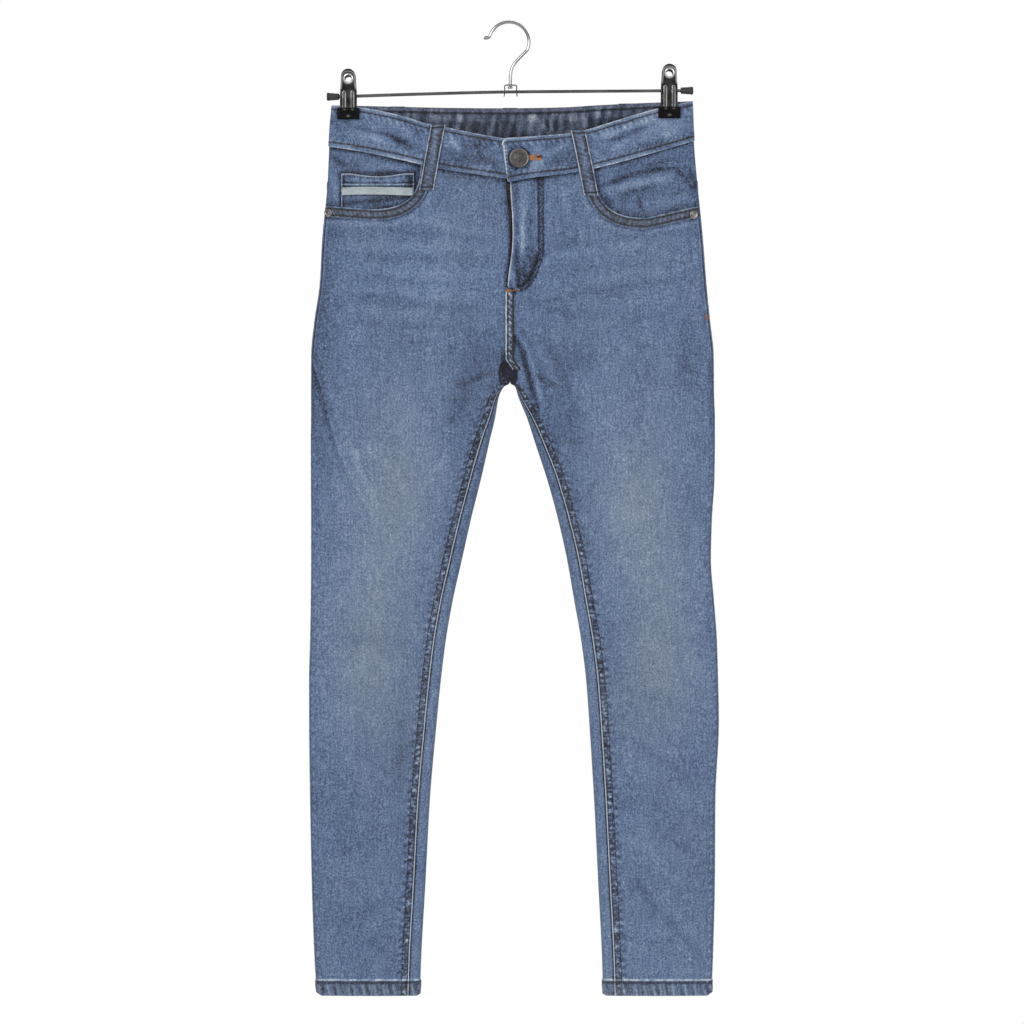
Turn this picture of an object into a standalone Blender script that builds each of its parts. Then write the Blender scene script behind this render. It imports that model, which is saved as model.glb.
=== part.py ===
"""Slim fit jeans that hang by the waistband from a clip hanger.

Sizes are in millimetres here and become metres as each mesh is made. The origin is the underside of
the hook's crown, where a rail carries the hanger. +Z is up, and the front of the jeans faces -Y.
Right and left are the wearer's, so right is at -X.

The cloth is two flattened tubes, one for each leg, which open along the centre line above the crotch.
A place on a tube is a share and a height. The share runs round the tube: 0 at the outer fold, 1 at the
inner fold or the centre seam, and 2 at the outer fold again, with the front from 0 to 1 and the back
from 1 to 2. Each piece of cloth is a wall over some stretch of shares and heights, so that pieces
which are sewn together meet along one curve.
"""

import math
from collections import namedtuple

import bmesh
import bpy
import numpy as np
from mathutils import Matrix, Vector

MM = 0.001
RIGHT, LEFT = -1, 1
FRONT, BACK = -1, 1
SIDE_NAMES = {RIGHT: "right", LEFT: "left"}

# ---------------------------------------------------------------- cloth sizes
SEAM_GAP = 0.3
DENIM = 1.2  # one layer
BAND_OUT, BAND_IN = 0.8, -1.6  # the double waistband's faces, from the panels' outer face
HEM_OUT, HEM_IN = 0.4, -2.1  # the turned-up hem's faces
HEM_DEPTH = 13.0
CROTCH_Z = -359.0
HEM_Z = -971.5
FLAT_Z = -215.0  # the first level row under the curved waist seam
FOLD_SHARE = 0.06  # how much of the share each rounded fold takes
SIDE_SEAM_FORWARD = 3.5  # from the outer fold round to the side seam
CROTCH_RISE = {FRONT: 30.0, BACK: 46.0}  # the height of the crotch curve's turn
CROTCH_SPREAD = (0.5, 0.92)  # the shares between which the legs part at the curve, not gently
LEGS_PART = (-75.0, 80.0)  # the heights from the crotch over which they part gently elsewhere
CENTRE_GAP = 0.05
NOT_QUITE = 1e-6  # keeps a share just on its own side of the centre
WAIST_Z, SEAM_Z, FACING_Z = -125.0, -140.0, -155.0  # heights at which shares across the waist are read

# The tubes at each height: how far the outer and inner edges lie from the centre, the half depth of the
# folded edges, the share of the width that the clips hold flat, the extra depth amid the front and the
# back, the depth of the centre seams, and how far the inseam lies forward of the inner edge.
Section = namedtuple(
    "Section",
    "z right_out right_in left_out left_in fold held front back centre_front centre_back inseam",
)
SECTIONS = (
    Section(-76.0, 177.0, CENTRE_GAP, 182.0, CENTRE_GAP, 2.0, 0.18, 0.0, 0.0, 8.0, 12.0, 0.0),
    Section(-100.0, 179.5, CENTRE_GAP, 183.0, CENTRE_GAP, 2.0, 0.18, 0.0, 0.0, 8.5, 13.5, 0.0),
    Section(-125.0, 181.0, CENTRE_GAP, 184.5, CENTRE_GAP, 4.6, 0.10, 0.0, 0.0, 10.0, 16.0, 0.0),
    Section(-160.0, 182.5, CENTRE_GAP, 187.5, CENTRE_GAP, 7.0, 0.03, 0.5, 1.5, 12.0, 20.0, 0.0),
    Section(-215.0, 187.8, CENTRE_GAP, 193.0, CENTRE_GAP, 8.0, 0.0, 1.5, 5.0, 14.0, 23.0, 0.0),
    Section(-260.0, 190.3, CENTRE_GAP, 196.5, CENTRE_GAP, 8.5, 0.0, 2.2, 8.5, 14.5, 21.5, 0.0),
    Section(-300.0, 196.0, CENTRE_GAP, 200.5, CENTRE_GAP, 8.5, 0.0, 3.0, 9.5, 13.0, 17.0, 0.0),
    Section(-330.0, 198.8, CENTRE_GAP, 203.7, CENTRE_GAP, 8.5, 0.0, 3.6, 8.5, 11.0, 13.0, 0.0),
    Section(CROTCH_Z, 199.0, CENTRE_GAP, 204.0, CENTRE_GAP, 8.5, 0.0, 4.0, 7.0, 9.0, 9.5, 0.0),
    Section(-363.0, 199.0, 6.0, 204.0, 5.0, 8.5, 0.0, 4.0, 6.5, 9.0, 9.5, 0.6),
    Section(-373.0, 199.0, 11.0, 204.2, 8.2, 8.4, 0.0, 4.0, 6.4, 9.0, 9.5, 2.5),
    Section(-395.0, 199.0, 15.0, 205.0, 17.2, 8.2, 0.0, 4.0, 6.0, 9.0, 9.5, 5.5),
    Section(-416.0, 199.3, 20.0, 205.0, 24.0, 8.0, 0.0, 4.0, 5.5, 9.0, 9.5, 8.0),
    Section(-456.0, 199.2, 29.0, 204.5, 37.0, 7.6, 0.0, 3.8, 4.8, 9.0, 9.5, 10.5),
    Section(-496.0, 199.0, 39.0, 202.0, 48.0, 7.3, 0.0, 3.6, 4.4, 9.0, 9.5, 11.0),
    Section(-536.0, 199.0, 48.0, 201.0, 57.0, 7.0, 0.0, 3.5, 4.2, 9.0, 9.5, 11.5),
    Section(-576.0, 199.3, 57.0, 204.0, 64.0, 6.8, 0.0, 3.4, 4.0, 9.0, 9.5, 11.5),
    Section(-616.0, 200.0, 64.0, 207.0, 71.0, 6.6, 0.0, 3.4, 3.8, 9.0, 9.5, 11.5),
    Section(-656.0, 201.0, 69.0, 208.2, 76.0, 6.5, 0.0, 3.3, 3.6, 9.0, 9.5, 11.5),
    Section(-696.0, 201.0, 73.0, 209.0, 79.0, 6.4, 0.0, 3.2, 3.4, 9.0, 9.5, 11.5),
    Section(-776.0, 200.0, 80.0, 205.5, 84.0, 6.2, 0.0, 3.0, 3.2, 9.0, 9.5, 11.5),
    Section(-856.0, 198.4, 84.3, 205.0, 88.0, 6.0, 0.0, 2.6, 2.8, 9.0, 9.5, 11.5),
    Section(-936.0, 195.5, 88.8, 203.0, 92.0, 6.0, 0.0, 2.2, 2.4, 9.0, 9.5, 11.5),
    Section(HEM_Z, 193.0, 90.0, 201.5, 93.0, 6.0, 0.0, 2.0, 2.0, 9.0, 9.5, 11.5),
)

# The waistband's top edge and the seam under it, across the front and across the back.
WaistPoint = namedtuple("WaistPoint", "x top seam")
FRONT_WAIST = {
    RIGHT: (
        WaistPoint(0.0, -116.6, -157.0),
        WaistPoint(35.0, -110.4, -151.8),
        WaistPoint(64.0, -104.1, -147.4),
        WaistPoint(80.0, -101.0, -144.0),
        WaistPoint(112.0, -91.4, -136.5),
        WaistPoint(148.0, -84.2, -128.8),
        WaistPoint(181.0, -81.5, -123.6),
    ),
    LEFT: (
        WaistPoint(0.0, -115.4, -159.6),
        WaistPoint(24.0, -113.8, -155.4),
        WaistPoint(60.0, -109.9, -150.8),
        WaistPoint(77.0, -106.1, -147.6),
        WaistPoint(101.6, -98.4, -141.6),
        WaistPoint(148.0, -84.7, -128.6),
        WaistPoint(184.0, -77.4, -117.8),
    ),
}
BACK_WAIST = {
    RIGHT: (
        WaistPoint(0.0, -84.9, -126.0),
        WaistPoint(60.0, -84.6, -125.8),
        WaistPoint(181.0, -81.5, -123.6),
    ),
    LEFT: (
        WaistPoint(0.0, -84.9, -126.0),
        WaistPoint(85.0, -82.2, -123.4),
        WaistPoint(184.0, -77.4, -117.8),
    ),
}
YOKE_SIDE_Z, YOKE_CENTRE_Z, YOKE_HALF = -158.0, -192.0, 184.0

# Large soft folds: the ends of each one's line, its half width, and how far it stands out (or in, below 0).
Fold = namedtuple("Fold", "face x z to_x to_z width depth")
FOLDS = (
    Fold(FRONT, -196.0, -345.0, -150.0, -470.0, 11.0, -2.6),
    Fold(FRONT, -186.0, -335.0, -128.0, -500.0, 13.0, 1.8),
    Fold(FRONT, -160.0, -470.0, -115.0, -545.0, 15.0, -1.6),
    Fold(FRONT, 6.0, -300.0, 38.0, -420.0, 8.0, 1.8),
    Fold(FRONT, 22.0, -310.0, 56.0, -440.0, 10.0, -1.6),
    Fold(FRONT, -12.0, -318.0, -26.0, -405.0, 9.0, -1.4),
    Fold(FRONT, -186.0, -208.0, -100.0, -222.0, 9.0, -1.2),
    Fold(FRONT, -184.0, -236.0, -70.0, -246.0, 10.0, -1.5),
    Fold(FRONT, -180.0, -268.0, -90.0, -272.0, 11.0, 1.2),
    Fold(FRONT, 190.0, -212.0, 96.0, -232.0, 9.0, -1.3),
    Fold(FRONT, 190.0, -244.0, 70.0, -254.0, 10.0, -1.5),
    Fold(FRONT, 192.0, -276.0, 80.0, -288.0, 12.0, 1.2),
    Fold(FRONT, 200.0, -300.0, 168.0, -352.0, 10.0, -2.0),
    Fold(FRONT, -196.0, -622.0, -110.0, -640.0, 16.0, -1.5),
    Fold(FRONT, -190.0, -668.0, -86.0, -684.0, 18.0, 1.4),
    Fold(FRONT, 200.0, -604.0, 96.0, -628.0, 16.0, -1.5),
    Fold(FRONT, 204.0, -660.0, 110.0, -668.0, 18.0, 1.6),
    Fold(FRONT, -192.0, -812.0, -104.0, -858.0, 16.0, 1.3),
    Fold(FRONT, -188.0, -880.0, -104.0, -918.0, 16.0, -1.3),
    Fold(FRONT, 200.0, -820.0, 108.0, -866.0, 17.0, 1.4),
    Fold(FRONT, 196.0, -892.0, 112.0, -926.0, 16.0, -1.3),
    Fold(BACK, -170.0, -352.0, -40.0, -392.0, 12.0, -2.6),
    Fold(BACK, -176.0, -388.0, -60.0, -424.0, 13.0, 2.0),
    Fold(BACK, 174.0, -348.0, 42.0, -388.0, 12.0, -2.4),
    Fold(BACK, 184.0, -384.0, 66.0, -428.0, 13.0, 2.0),
    Fold(BACK, -190.0, -598.0, -96.0, -622.0, 15.0, -2.0),
    Fold(BACK, -186.0, -642.0, -100.0, -652.0, 15.0, 1.8),
    Fold(BACK, -188.0, -690.0, -100.0, -700.0, 14.0, -1.6),
    Fold(BACK, 196.0, -606.0, 104.0, -618.0, 15.0, -2.0),
    Fold(BACK, 190.0, -648.0, 104.0, -664.0, 15.0, 1.8),
    Fold(BACK, 192.0, -694.0, 110.0, -708.0, 14.0, -1.5),
    Fold(BACK, -190.0, -840.0, -106.0, -872.0, 16.0, 1.3),
    Fold(BACK, 194.0, -850.0, 112.0, -884.0, 16.0, 1.3),
)
FOLDS_START_Z = -150.0  # the waist above this is drawn smooth by the band
FOLDS_FULL_Z = -190.0

# ---------------------------------------------------------------- pockets, fly and trim
# A pocket mouth drops from the waist seam at inner_x, turns at turn_x and runs out to the side seam.
Mouth = namedtuple("Mouth", "inner_x turn_x top_z low_z side_z")
MOUTHS = {
    RIGHT: Mouth(89.0, 139.0, -138.0, -186.3, -182.6),
    LEFT: Mouth(84.0, 136.0, -140.0, -195.0, -183.2),
}
MOUTH_ROUNDNESS = 2.7
MOUTH_SIDE_X = 188.0
MOUTH_CUT = {"past": 230.0, "top": -60.0, "near": -60.0, "far": 0.4}
FACING_UNDER = 1.9  # the facing's outer face under the panels' outer face
FACING_DROP = 0.4  # the facing's top edge, further below the waist seam than the front's
FACING_RISE = (3.0, 14.0)  # over which its edge comes out to the side seam, above the mouth
COIN_CLOTH, TAPE_CLOTH = 1.0, 0.9
FACING_SPREAD = 16.0  # how far the facing runs on under the front
COIN_POCKET = {"x": (-168.6, -96.0), "top": -150.0, "low": -198.0}
COIN_TAPE = {"x": (-168.0, -97.2), "top": -163.7, "low": -171.5}

FLY_LOW_Z = -266.0
FLY_CLOSES = 8.0  # how far below that the slit has shut
FLY_RIGHT_EDGE, FLY_LEFT_EDGE = 3.2, 0.8  # each front's edge beside the slit, from the centre
ZIP_TAPE = {"x": (-14.0, 12.0), "top": -169.0, "low": -262.0, "under": 4.3, "cloth": 0.8}
ZIP_CHAIN = {"x": (-3.8, 1.4), "under": 1.6}
ZIP_SLIDER = {"x": (-5.0, 2.6), "top": -160.0, "low": -168.6, "under": (1.7, 6.3)}

LAP_END_TOP, LAP_END_LOW = -8.2, -2.2  # the slanting end of the lapped band
LAP_LIFT = 2.4  # how far the lap stands over the band under it
LAP_EASE = (26.0, 62.0)  # where the lap comes back down to the panels
UNDERLAP_END, UNDERLAP_SINK = 22.0, -0.3

Loop = namedtuple("Loop", "name face top_x low_x low_z")
LOOPS = (
    Loop("belt_loop_front_right", FRONT, -71.5, -83.3, -167.5),
    Loop("belt_loop_front_left", FRONT, 67.8, 81.0, -173.0),
    Loop("belt_loop_back_right", BACK, -112.0, -116.0, -144.0),
    Loop("belt_loop_back_left", BACK, 116.0, 120.0, -142.0),
    Loop("belt_loop_back_centre", BACK, 0.0, 0.0, -146.0),
)
LOOP_WIDTH, LOOP_CLOTH, LOOP_BULGE = 14.4, 1.6, 1.2
BACK_POCKET = {
    "inner": 40.0, "outer": 158.0, "top": -214.0, "side": -314.0, "point": -332.0, "taper": 5.0,
}

BUTTON = {"x": 9.1, "z": -136.2, "radius": 10.0, "height": 3.4}
RIVETS = {RIGHT: (-181.2, -189.9), LEFT: (183.4, -191.9)}
RIVET_RADIUS, RIVET_HEIGHT = 4.4, 1.5

# ---------------------------------------------------------------- hanger sizes
WIRE = 1.6  # radius of the hook and of the rod
FIT = 0.35  # clearance round a wire in its hole
HOOK_CENTRE_X, HOOK_RADIUS = -1.0, 20.0
HOOK_START, HOOK_END = 163.0, -24.0  # degrees of the round part
HOOK_SHANK = ((12.4, -29.6), (7.2, -35.2), (3.0, -40.6), (1.0, -46.4), (0.4, -52.5), (0.3, -63.4))
ROD_POINTS = ((-178.0, -73.4), (-90.0, -70.5), (0.0, -68.3), (90.0, -67.6), (178.0, -67.0))
SADDLE = {"x": (-6.3, 7.7), "top": -61.0, "low": -72.6, "depth": 6.4, "sheet": 1.2}
KNOB = {"length": 12.6, "small": 3.2, "large": 4.1, "bore": 8.0}

ClipPlace = namedtuple("ClipPlace", "x top jaw")  # jaw is how far the pads' lower edge is below the rod
CLIPS = {RIGHT: ClipPlace(-161.5, 26.8, 23.4), LEFT: ClipPlace(159.2, 26.0, 28.0)}
PLATE = {"sheet": 1.0, "half_top": 7.2, "half_low": 8.3, "lean": 3.4, "stand": 5.6}
PLATE_HOLE = {"up": 17.0, "radius": 3.4}
RIB = {"up": 2.0, "out": 0.8}
EAR = {"sheet": 1.0, "radius": 4.2, "reach": 8.2}
PAD = {"width": 22.3, "height": 11.6, "depth": 3.4, "stand": 3.1, "tongue": 6.0}
COIL_RADIUS, COIL_HALF = 3.7, 4.8

COLOURS = {  # red, green, blue, roughness, metallic
    "denim": (0.14, 0.19, 0.30, 0.9, 0.0),
    "denim_band": (0.13, 0.18, 0.28, 0.9, 0.0),
    "tape": (0.45, 0.46, 0.47, 0.85, 0.0),
    "zip": (0.03, 0.04, 0.07, 0.8, 0.0),
    "antique": (0.10, 0.10, 0.10, 0.4, 1.0),
    "rivet": (0.28, 0.27, 0.28, 0.4, 1.0),
    "chrome": (0.75, 0.75, 0.76, 0.15, 1.0),
    "gunmetal": (0.07, 0.07, 0.075, 0.35, 1.0),
    "rubber": (0.012, 0.012, 0.013, 0.6, 0.0),
}


# ---------------------------------------------------------------- the scene
def clear_scene():
    for obj in list(bpy.data.objects):
        bpy.data.objects.remove(obj, do_unlink=True)


def new_collection(name, hidden=False):
    found = bpy.data.collections.new(name)
    bpy.context.scene.collection.children.link(found)
    found.hide_render = hidden
    return found


def material(name, kind):
    red, green, blue, roughness, metallic = COLOURS[kind]
    made = bpy.data.materials.new(name)
    made.use_nodes = True
    shader = made.node_tree.nodes["Principled BSDF"]
    shader.inputs["Base Color"].default_value = (red, green, blue, 1.0)
    shader.inputs["Roughness"].default_value = roughness
    shader.inputs["Metallic"].default_value = metallic
    return made


def add_object(name, data, kind, matrix=None):
    obj = bpy.data.objects.new(name, data)
    PARTS.objects.link(obj)
    obj.data.materials.append(material(name, kind))
    if matrix is not None:
        obj.matrix_world = matrix
    return obj


def mesh_from(name, build):
    """A mesh that build(bm) fills in millimetres, scaled to metres."""
    bm = bmesh.new()
    build(bm)
    bmesh.ops.scale(bm, vec=(MM, MM, MM), verts=bm.verts)
    bmesh.ops.recalc_face_normals(bm, faces=bm.faces)
    mesh = bpy.data.meshes.new(name)
    bm.to_mesh(mesh)
    bm.free()
    mesh.shade_smooth()
    mesh.set_sharp_from_angle(angle=math.radians(40))
    return mesh


def as_cutter(obj):
    for old in list(obj.users_collection):
        old.objects.unlink(obj)
    CUTTERS.objects.link(obj)
    obj.hide_render = True
    obj.display_type = "WIRE"
    return obj


def boolean(obj, other, operation):
    modifier = obj.modifiers.new(other.name, "BOOLEAN")
    modifier.operation = operation
    modifier.solver = "EXACT"
    modifier.object = as_cutter(other)


# ---------------------------------------------------------------- curves and tables
def smooth_curve(at, stations, values):
    """Reads a curve that runs smoothly through the values and never swings past them."""
    order = np.argsort(stations)
    xs, ys = np.asarray(stations, float)[order], np.asarray(values, float)[order]
    steps, rises = np.diff(xs), np.diff(ys)
    slopes = rises / steps
    before, after = slopes[:-1], slopes[1:]
    same_way = before * after > 0
    safe = np.where(same_way, before + after, 1.0)
    inner = np.where(same_way, 2 * before * after / safe, 0.0)
    tangents = np.concatenate([slopes[:1], inner, slopes[-1:]])
    at = np.clip(np.asarray(at, float), xs[0], xs[-1])
    i = np.clip(np.searchsorted(xs, at) - 1, 0, len(xs) - 2)
    t = (at - xs[i]) / steps[i]
    start = (1 + 2 * t) * (1 - t) ** 2 * ys[i] + t * (1 - t) ** 2 * steps[i] * tangents[i]
    end = t * t * (3 - 2 * t) * ys[i + 1] - t * t * (1 - t) * steps[i] * tangents[i + 1]
    return start + end


def column(name, z):
    stations = [section.z for section in SECTIONS]
    return smooth_curve(z, stations, [getattr(section, name) for section in SECTIONS])


def smooth_step(value, low, high):
    t = np.clip((np.asarray(value, float) - low) / (high - low), 0.0, 1.0)
    return t * t * (3 - 2 * t)


def waist_line(side, face, x, which):
    """The height of the waistband's top edge or of the seam under it, at x from the centre."""
    table = (FRONT_WAIST if face == FRONT else BACK_WAIST)[side]
    return smooth_curve(np.abs(x), [p.x for p in table], [getattr(p, which) for p in table])


# ---------------------------------------------------------------- the tubes of cloth
def folds_at(face, x, z):
    """How far the large folds stand out at a place on the front or the back."""
    total = np.zeros(np.broadcast(face, x, z).shape)
    for fold in FOLDS:
        run = np.array([fold.to_x - fold.x, fold.to_z - fold.z])
        length = np.hypot(*run)
        run /= length
        along = ((x - fold.x) * run[0] + (z - fold.z) * run[1]) / length
        across = (x - fold.x) * run[1] - (z - fold.z) * run[0]
        fade = np.sin(np.pi * np.clip(along, 0.0, 1.0)) ** 1.5
        shape = fold.depth * fade * np.exp(-((across / fold.width) ** 2))
        total = total + np.where(face == fold.face, shape, 0.0)
    return total * smooth_step(-np.asarray(z), -FOLDS_START_Z, -FOLDS_FULL_Z)


def joined(face, t, z):
    """0 where the legs are apart, 1 where the halves are one torso, turning along the crotch curve."""
    rise = np.where(face == FRONT, CROTCH_RISE[FRONT], CROTCH_RISE[BACK])
    up = np.clip((z - CROTCH_Z) / rise, 0.0, 1.0)
    curve = np.sqrt(up * (2.0 - up))
    gentle = smooth_step(z - CROTCH_Z, *LEGS_PART)
    near = smooth_step(t, *CROTCH_SPREAD)
    return near * curve + (1.0 - near) * gentle


def tube(side, share, z):
    """Points on the outer face of one half, from the share round it and the height."""
    share, z = np.broadcast_arrays(np.asarray(share, float), np.asarray(z, float))
    turn = np.mod(share, 2.0)
    face = np.where(turn <= 1.0, FRONT, BACK)
    t = np.where(turn <= 1.0, turn, 2.0 - turn)
    name = SIDE_NAMES[side]
    outer, inner, fold = column(name + "_out", z), column(name + "_in", z), column("fold", z)
    width = outer - inner
    bow = np.where(face == FRONT, column("front", z), column("back", z))
    centre = np.where(face == FRONT, column("centre_front", z), column("centre_back", z))

    outer_turn = np.clip(t / FOLD_SHARE, 0.0, 1.0) * np.pi / 2
    inner_turn = np.clip((1.0 - t) / FOLD_SHARE, 0.0, 1.0) * np.pi / 2
    outer_in, outer_deep = fold * (1 - np.cos(outer_turn)), fold * np.sin(outer_turn)

    m = np.clip((t - FOLD_SHARE) / (1 - 2 * FOLD_SHARE), 0.0, 1.0)
    swell = (1 - (2 * m - 1) ** 2) ** 1.5
    leg_in = outer_in + m * (width - 2 * fold) + fold * (np.cos(inner_turn))
    leg_deep = outer_deep * np.sin(inner_turn) + bow * swell

    m = np.clip((t - FOLD_SHARE) / (1 - FOLD_SHARE), 0.0, 1.0)
    swell_torso = (1 - (2 * m - 1) ** 2) ** 1.5
    held = column("held", z)
    open_part = np.sin(np.pi / 2 * np.clip((m - held) / (1 - held), 0.0, 1.0)) ** 2
    torso_in = outer_in + m * (width - fold)
    torso_deep = outer_deep + (centre - fold) * open_part + bow * swell_torso

    w = joined(face, t, z)
    x = side * (outer - (1 - w) * leg_in - w * torso_in)
    deep = (1 - w) * leg_deep + w * torso_deep
    edge = smooth_step(t, 0.0, 0.16) * smooth_step(1.0 - t, 0.0, 0.10)
    y = face * (deep + edge * folds_at(face, x, z))
    return np.stack([x, y, z], axis=-1)


def slope(side, share, z):
    """How the tube's points move with the share, read without crossing the centre."""
    h = 1e-4
    turn = np.mod(share, 2.0)
    low = np.where(turn > 1.0, np.maximum(turn - h, 1.0 + NOT_QUITE / 10), turn - h)
    high = np.where(turn <= 1.0, np.minimum(turn + h, 1.0 - NOT_QUITE / 10), turn + h)
    rise = tube(side, high, z) - tube(side, low, z)
    return rise / (high - low)[..., None]


def normals(side, share, z):
    """Unit vectors out of the cloth. On the centre seams they stay in the centre plane."""
    share, z = np.broadcast_arrays(np.asarray(share, float), np.asarray(z, float))
    along = slope(side, share, z)
    h = 0.4
    up = (tube(side, share, z + h) - tube(side, share, z - h)) / (2 * h)
    out = -side * np.cross(along, up)
    near = smooth_step(np.abs(1.0 - np.mod(share, 2.0)), 0.0, 0.05)
    turned = np.where(z >= CROTCH_Z, near, 1.0)
    out = out * np.stack([turned, np.ones_like(turned), np.ones_like(turned)], axis=-1)
    return out / np.linalg.norm(out, axis=-1, keepdims=True)


def raised(side, share, z, out):
    """Points that stand out from the tube by so many millimetres, or lie under it below 0."""
    return tube(side, share, z) + normals(side, share, z) * np.asarray(out, float)[..., None]


def share_at(side, face, x, z):
    """The share round the tube at which it passes x, on the front or the back."""
    x, z = np.broadcast_arrays(np.asarray(x, float), np.asarray(z, float))
    low, high = np.zeros(x.shape), np.ones(x.shape)
    for _ in range(40):
        middle = (low + high) / 2
        share = middle if face == FRONT else 2.0 - middle
        inside = np.abs(tube(side, share, z)[..., 0]) > np.abs(x)
        low, high = np.where(inside, middle, low), np.where(inside, high, middle)
    share = np.minimum((low + high) / 2, 1.0 - NOT_QUITE)
    return share if face == FRONT else 2.0 - share


def place(face, x, z, out=0.0):
    """Points on the torso at x and z, on either half, stood out from the cloth."""
    x, z, out = np.broadcast_arrays(*(np.asarray(v, float) for v in (x, z, out)))
    right = raised(RIGHT, share_at(RIGHT, face, np.minimum(x, -CENTRE_GAP), z), z, out)
    left = raised(LEFT, share_at(LEFT, face, np.maximum(x, CENTRE_GAP), z), z, out)
    found = np.where((x < 0)[..., None], right, left)
    found[..., 0] = np.where(np.abs(x) < 1.0, x, found[..., 0])
    return found


# ---------------------------------------------------------------- walls
def wall(name, outer, inner, kind):
    """A closed wall between two grids of points, both row by row."""
    rows, columns = outer.shape[:2]

    def build(bm):
        out = [[bm.verts.new(p) for p in row] for row in outer.tolist()]
        ins = [[bm.verts.new(p) for p in row] for row in inner.tolist()]
        for i in range(rows - 1):
            for j in range(columns - 1):
                bm.faces.new((out[i][j], out[i][j + 1], out[i + 1][j + 1], out[i + 1][j]))
                bm.faces.new((ins[i][j], ins[i + 1][j], ins[i + 1][j + 1], ins[i][j + 1]))
        rim = [(i, 0) for i in range(rows)] + [(rows - 1, j) for j in range(1, columns)]
        rim += [(i, columns - 1) for i in range(rows - 2, -1, -1)]
        rim += [(0, j) for j in range(columns - 2, 0, -1)]
        for (i, j), (k, m) in zip(rim, rim[1:] + rim[:1]):
            bm.faces.new((out[i][j], out[k][m], ins[k][m], ins[i][j]))

    return add_object(name, mesh_from(name, build), kind)


def stations(*runs):
    """Shares from 0 to 1 out of runs of (steps, size of a step)."""
    sizes = np.concatenate([[size] * steps for steps, size in runs])
    return np.concatenate([[0.0], np.cumsum(sizes) / sizes.sum()])


def body_rows():
    """Heights of the level rows, close together at the crotch and at the hem."""
    hip = np.linspace(FLAT_Z, CROTCH_Z + 28.0, 5)
    crotch = CROTCH_Z + np.array([12.0, 4.0, 0.0, -2.0, -6.0, -14.0, -28.0])
    leg = np.linspace(CROTCH_Z - 52.0, HEM_Z + HEM_DEPTH + 16.0, 13)
    hem = HEM_Z + np.array([HEM_DEPTH + 0.5, HEM_DEPTH - 0.5, SEAM_GAP / 2])
    return np.concatenate([hip, crotch, leg, hem])


def rows_down(lines, count):
    """Rows of heights from the curve lines, eased into the level rows below it."""
    ease = np.linspace(0.0, 1.0, count, endpoint=False)[:, None]
    curved = lines[None, :] * (1 - ease) + FLAT_Z * ease
    level = np.repeat(body_rows()[:, None], len(lines), axis=1)
    return np.concatenate([curved, level])


def fly_edge(side, z):
    """How far a front's edge lies from the centre: beside the slit of the fly, and closed below it."""
    edge = FLY_RIGHT_EDGE if side == RIGHT else FLY_LEFT_EDGE
    return edge * smooth_step(z, FLY_LOW_Z - FLY_CLOSES, FLY_LOW_Z + FLY_CLOSES / 2)


def side_seam(z):
    return FOLD_SHARE * SIDE_SEAM_FORWARD / (column("fold", z) * np.pi / 2)


def inseam(side, z):
    """The share of the inseam, which leaves the inner fold below the crotch and turns to the front."""
    name = SIDE_NAMES[side]
    fold = column("fold", z)
    flat = column(name + "_out", z) - column(name + "_in", z) - 2 * fold
    forward = column("inseam", z)
    on_turn = 1 - FOLD_SHARE * np.arccos(np.clip(1 - forward / fold, -1.0, 1.0)) / (np.pi / 2)
    on_flat = 1 - FOLD_SHARE - (1 - 2 * FOLD_SHARE) * (forward - fold) / flat
    return np.where(forward < fold, on_turn, on_flat)


def set_in(side, share, z, way):
    """A seam's share moved by half the seam gap, so that the pieces stay apart."""
    speed = np.linalg.norm(slope(side, share, z), axis=-1)
    return share + way * (SEAM_GAP / 2) / speed


def front_inner(side, z):
    """The inner edge of a front: the fly's edge, the centre seam, then the inseam."""
    torso = share_at(side, FRONT, np.full(z.shape, CENTRE_GAP) + fly_edge(side, z), z)
    beside = np.where(z > FLY_LOW_Z - FLY_CLOSES, torso, 1.0 - NOT_QUITE)
    share = np.where(z > CROTCH_Z, beside, np.minimum(inseam(side, z), 1.0 - NOT_QUITE))
    return set_in(side, share, z, -1)


def back_inner(side, z):
    """The inner edge of a back: the centre seam, then the inseam."""
    share = np.where(z >= CROTCH_Z, 1.0 + NOT_QUITE, np.minimum(inseam(side, z), 1.0))
    return set_in(side, share, z, 1)


def cloth_depths(z):
    """The outer and inner face of a leg's wall, thicker at the turned-up hem."""
    hem = z < HEM_Z + HEM_DEPTH
    return np.where(hem, HEM_OUT, 0.0), np.where(hem, HEM_IN, -DENIM)


def panel(name, side, shares, z, kind="denim"):
    out, into = cloth_depths(z)
    return wall(name, raised(side, shares, z, out), raised(side, shares, z, into), kind)


# ---------------------------------------------------------------- cut pieces
def nominal_x(side, share):
    """Where a share lies across the waist, for reading the waist's curves."""
    return tube(side, share, np.full(np.shape(share), WAIST_Z))[..., 0]


def make_front(side):
    across = stations((2, 0.3), (9, 1.0))
    seam_shares = side_seam(SEAM_Z) + (1.0 - side_seam(SEAM_Z)) * across
    lines = waist_line(side, FRONT, nominal_x(side, seam_shares), "seam") - SEAM_GAP / 2
    z = rows_down(lines, 4)
    start = set_in(side, side_seam(z[:, 0]), z[:, 0], 1)[:, None]
    end = front_inner(side, z[:, -1])[:, None]
    shares = start + (end - start) * across[None, :]
    front = panel("front_" + SIDE_NAMES[side], side, shares, z)
    boolean(front, mouth_cutter(side), "DIFFERENCE")
    return front


def back_stations():
    return stations((1, 0.045), (5, 0.024), (7, 0.126), (3, 0.02), (1, 0.02))


def yoke_line(x):
    return YOKE_CENTRE_Z + (YOKE_SIDE_Z - YOKE_CENTRE_Z) * np.clip(np.abs(x) / YOKE_HALF, 0.0, 1.0)


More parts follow.
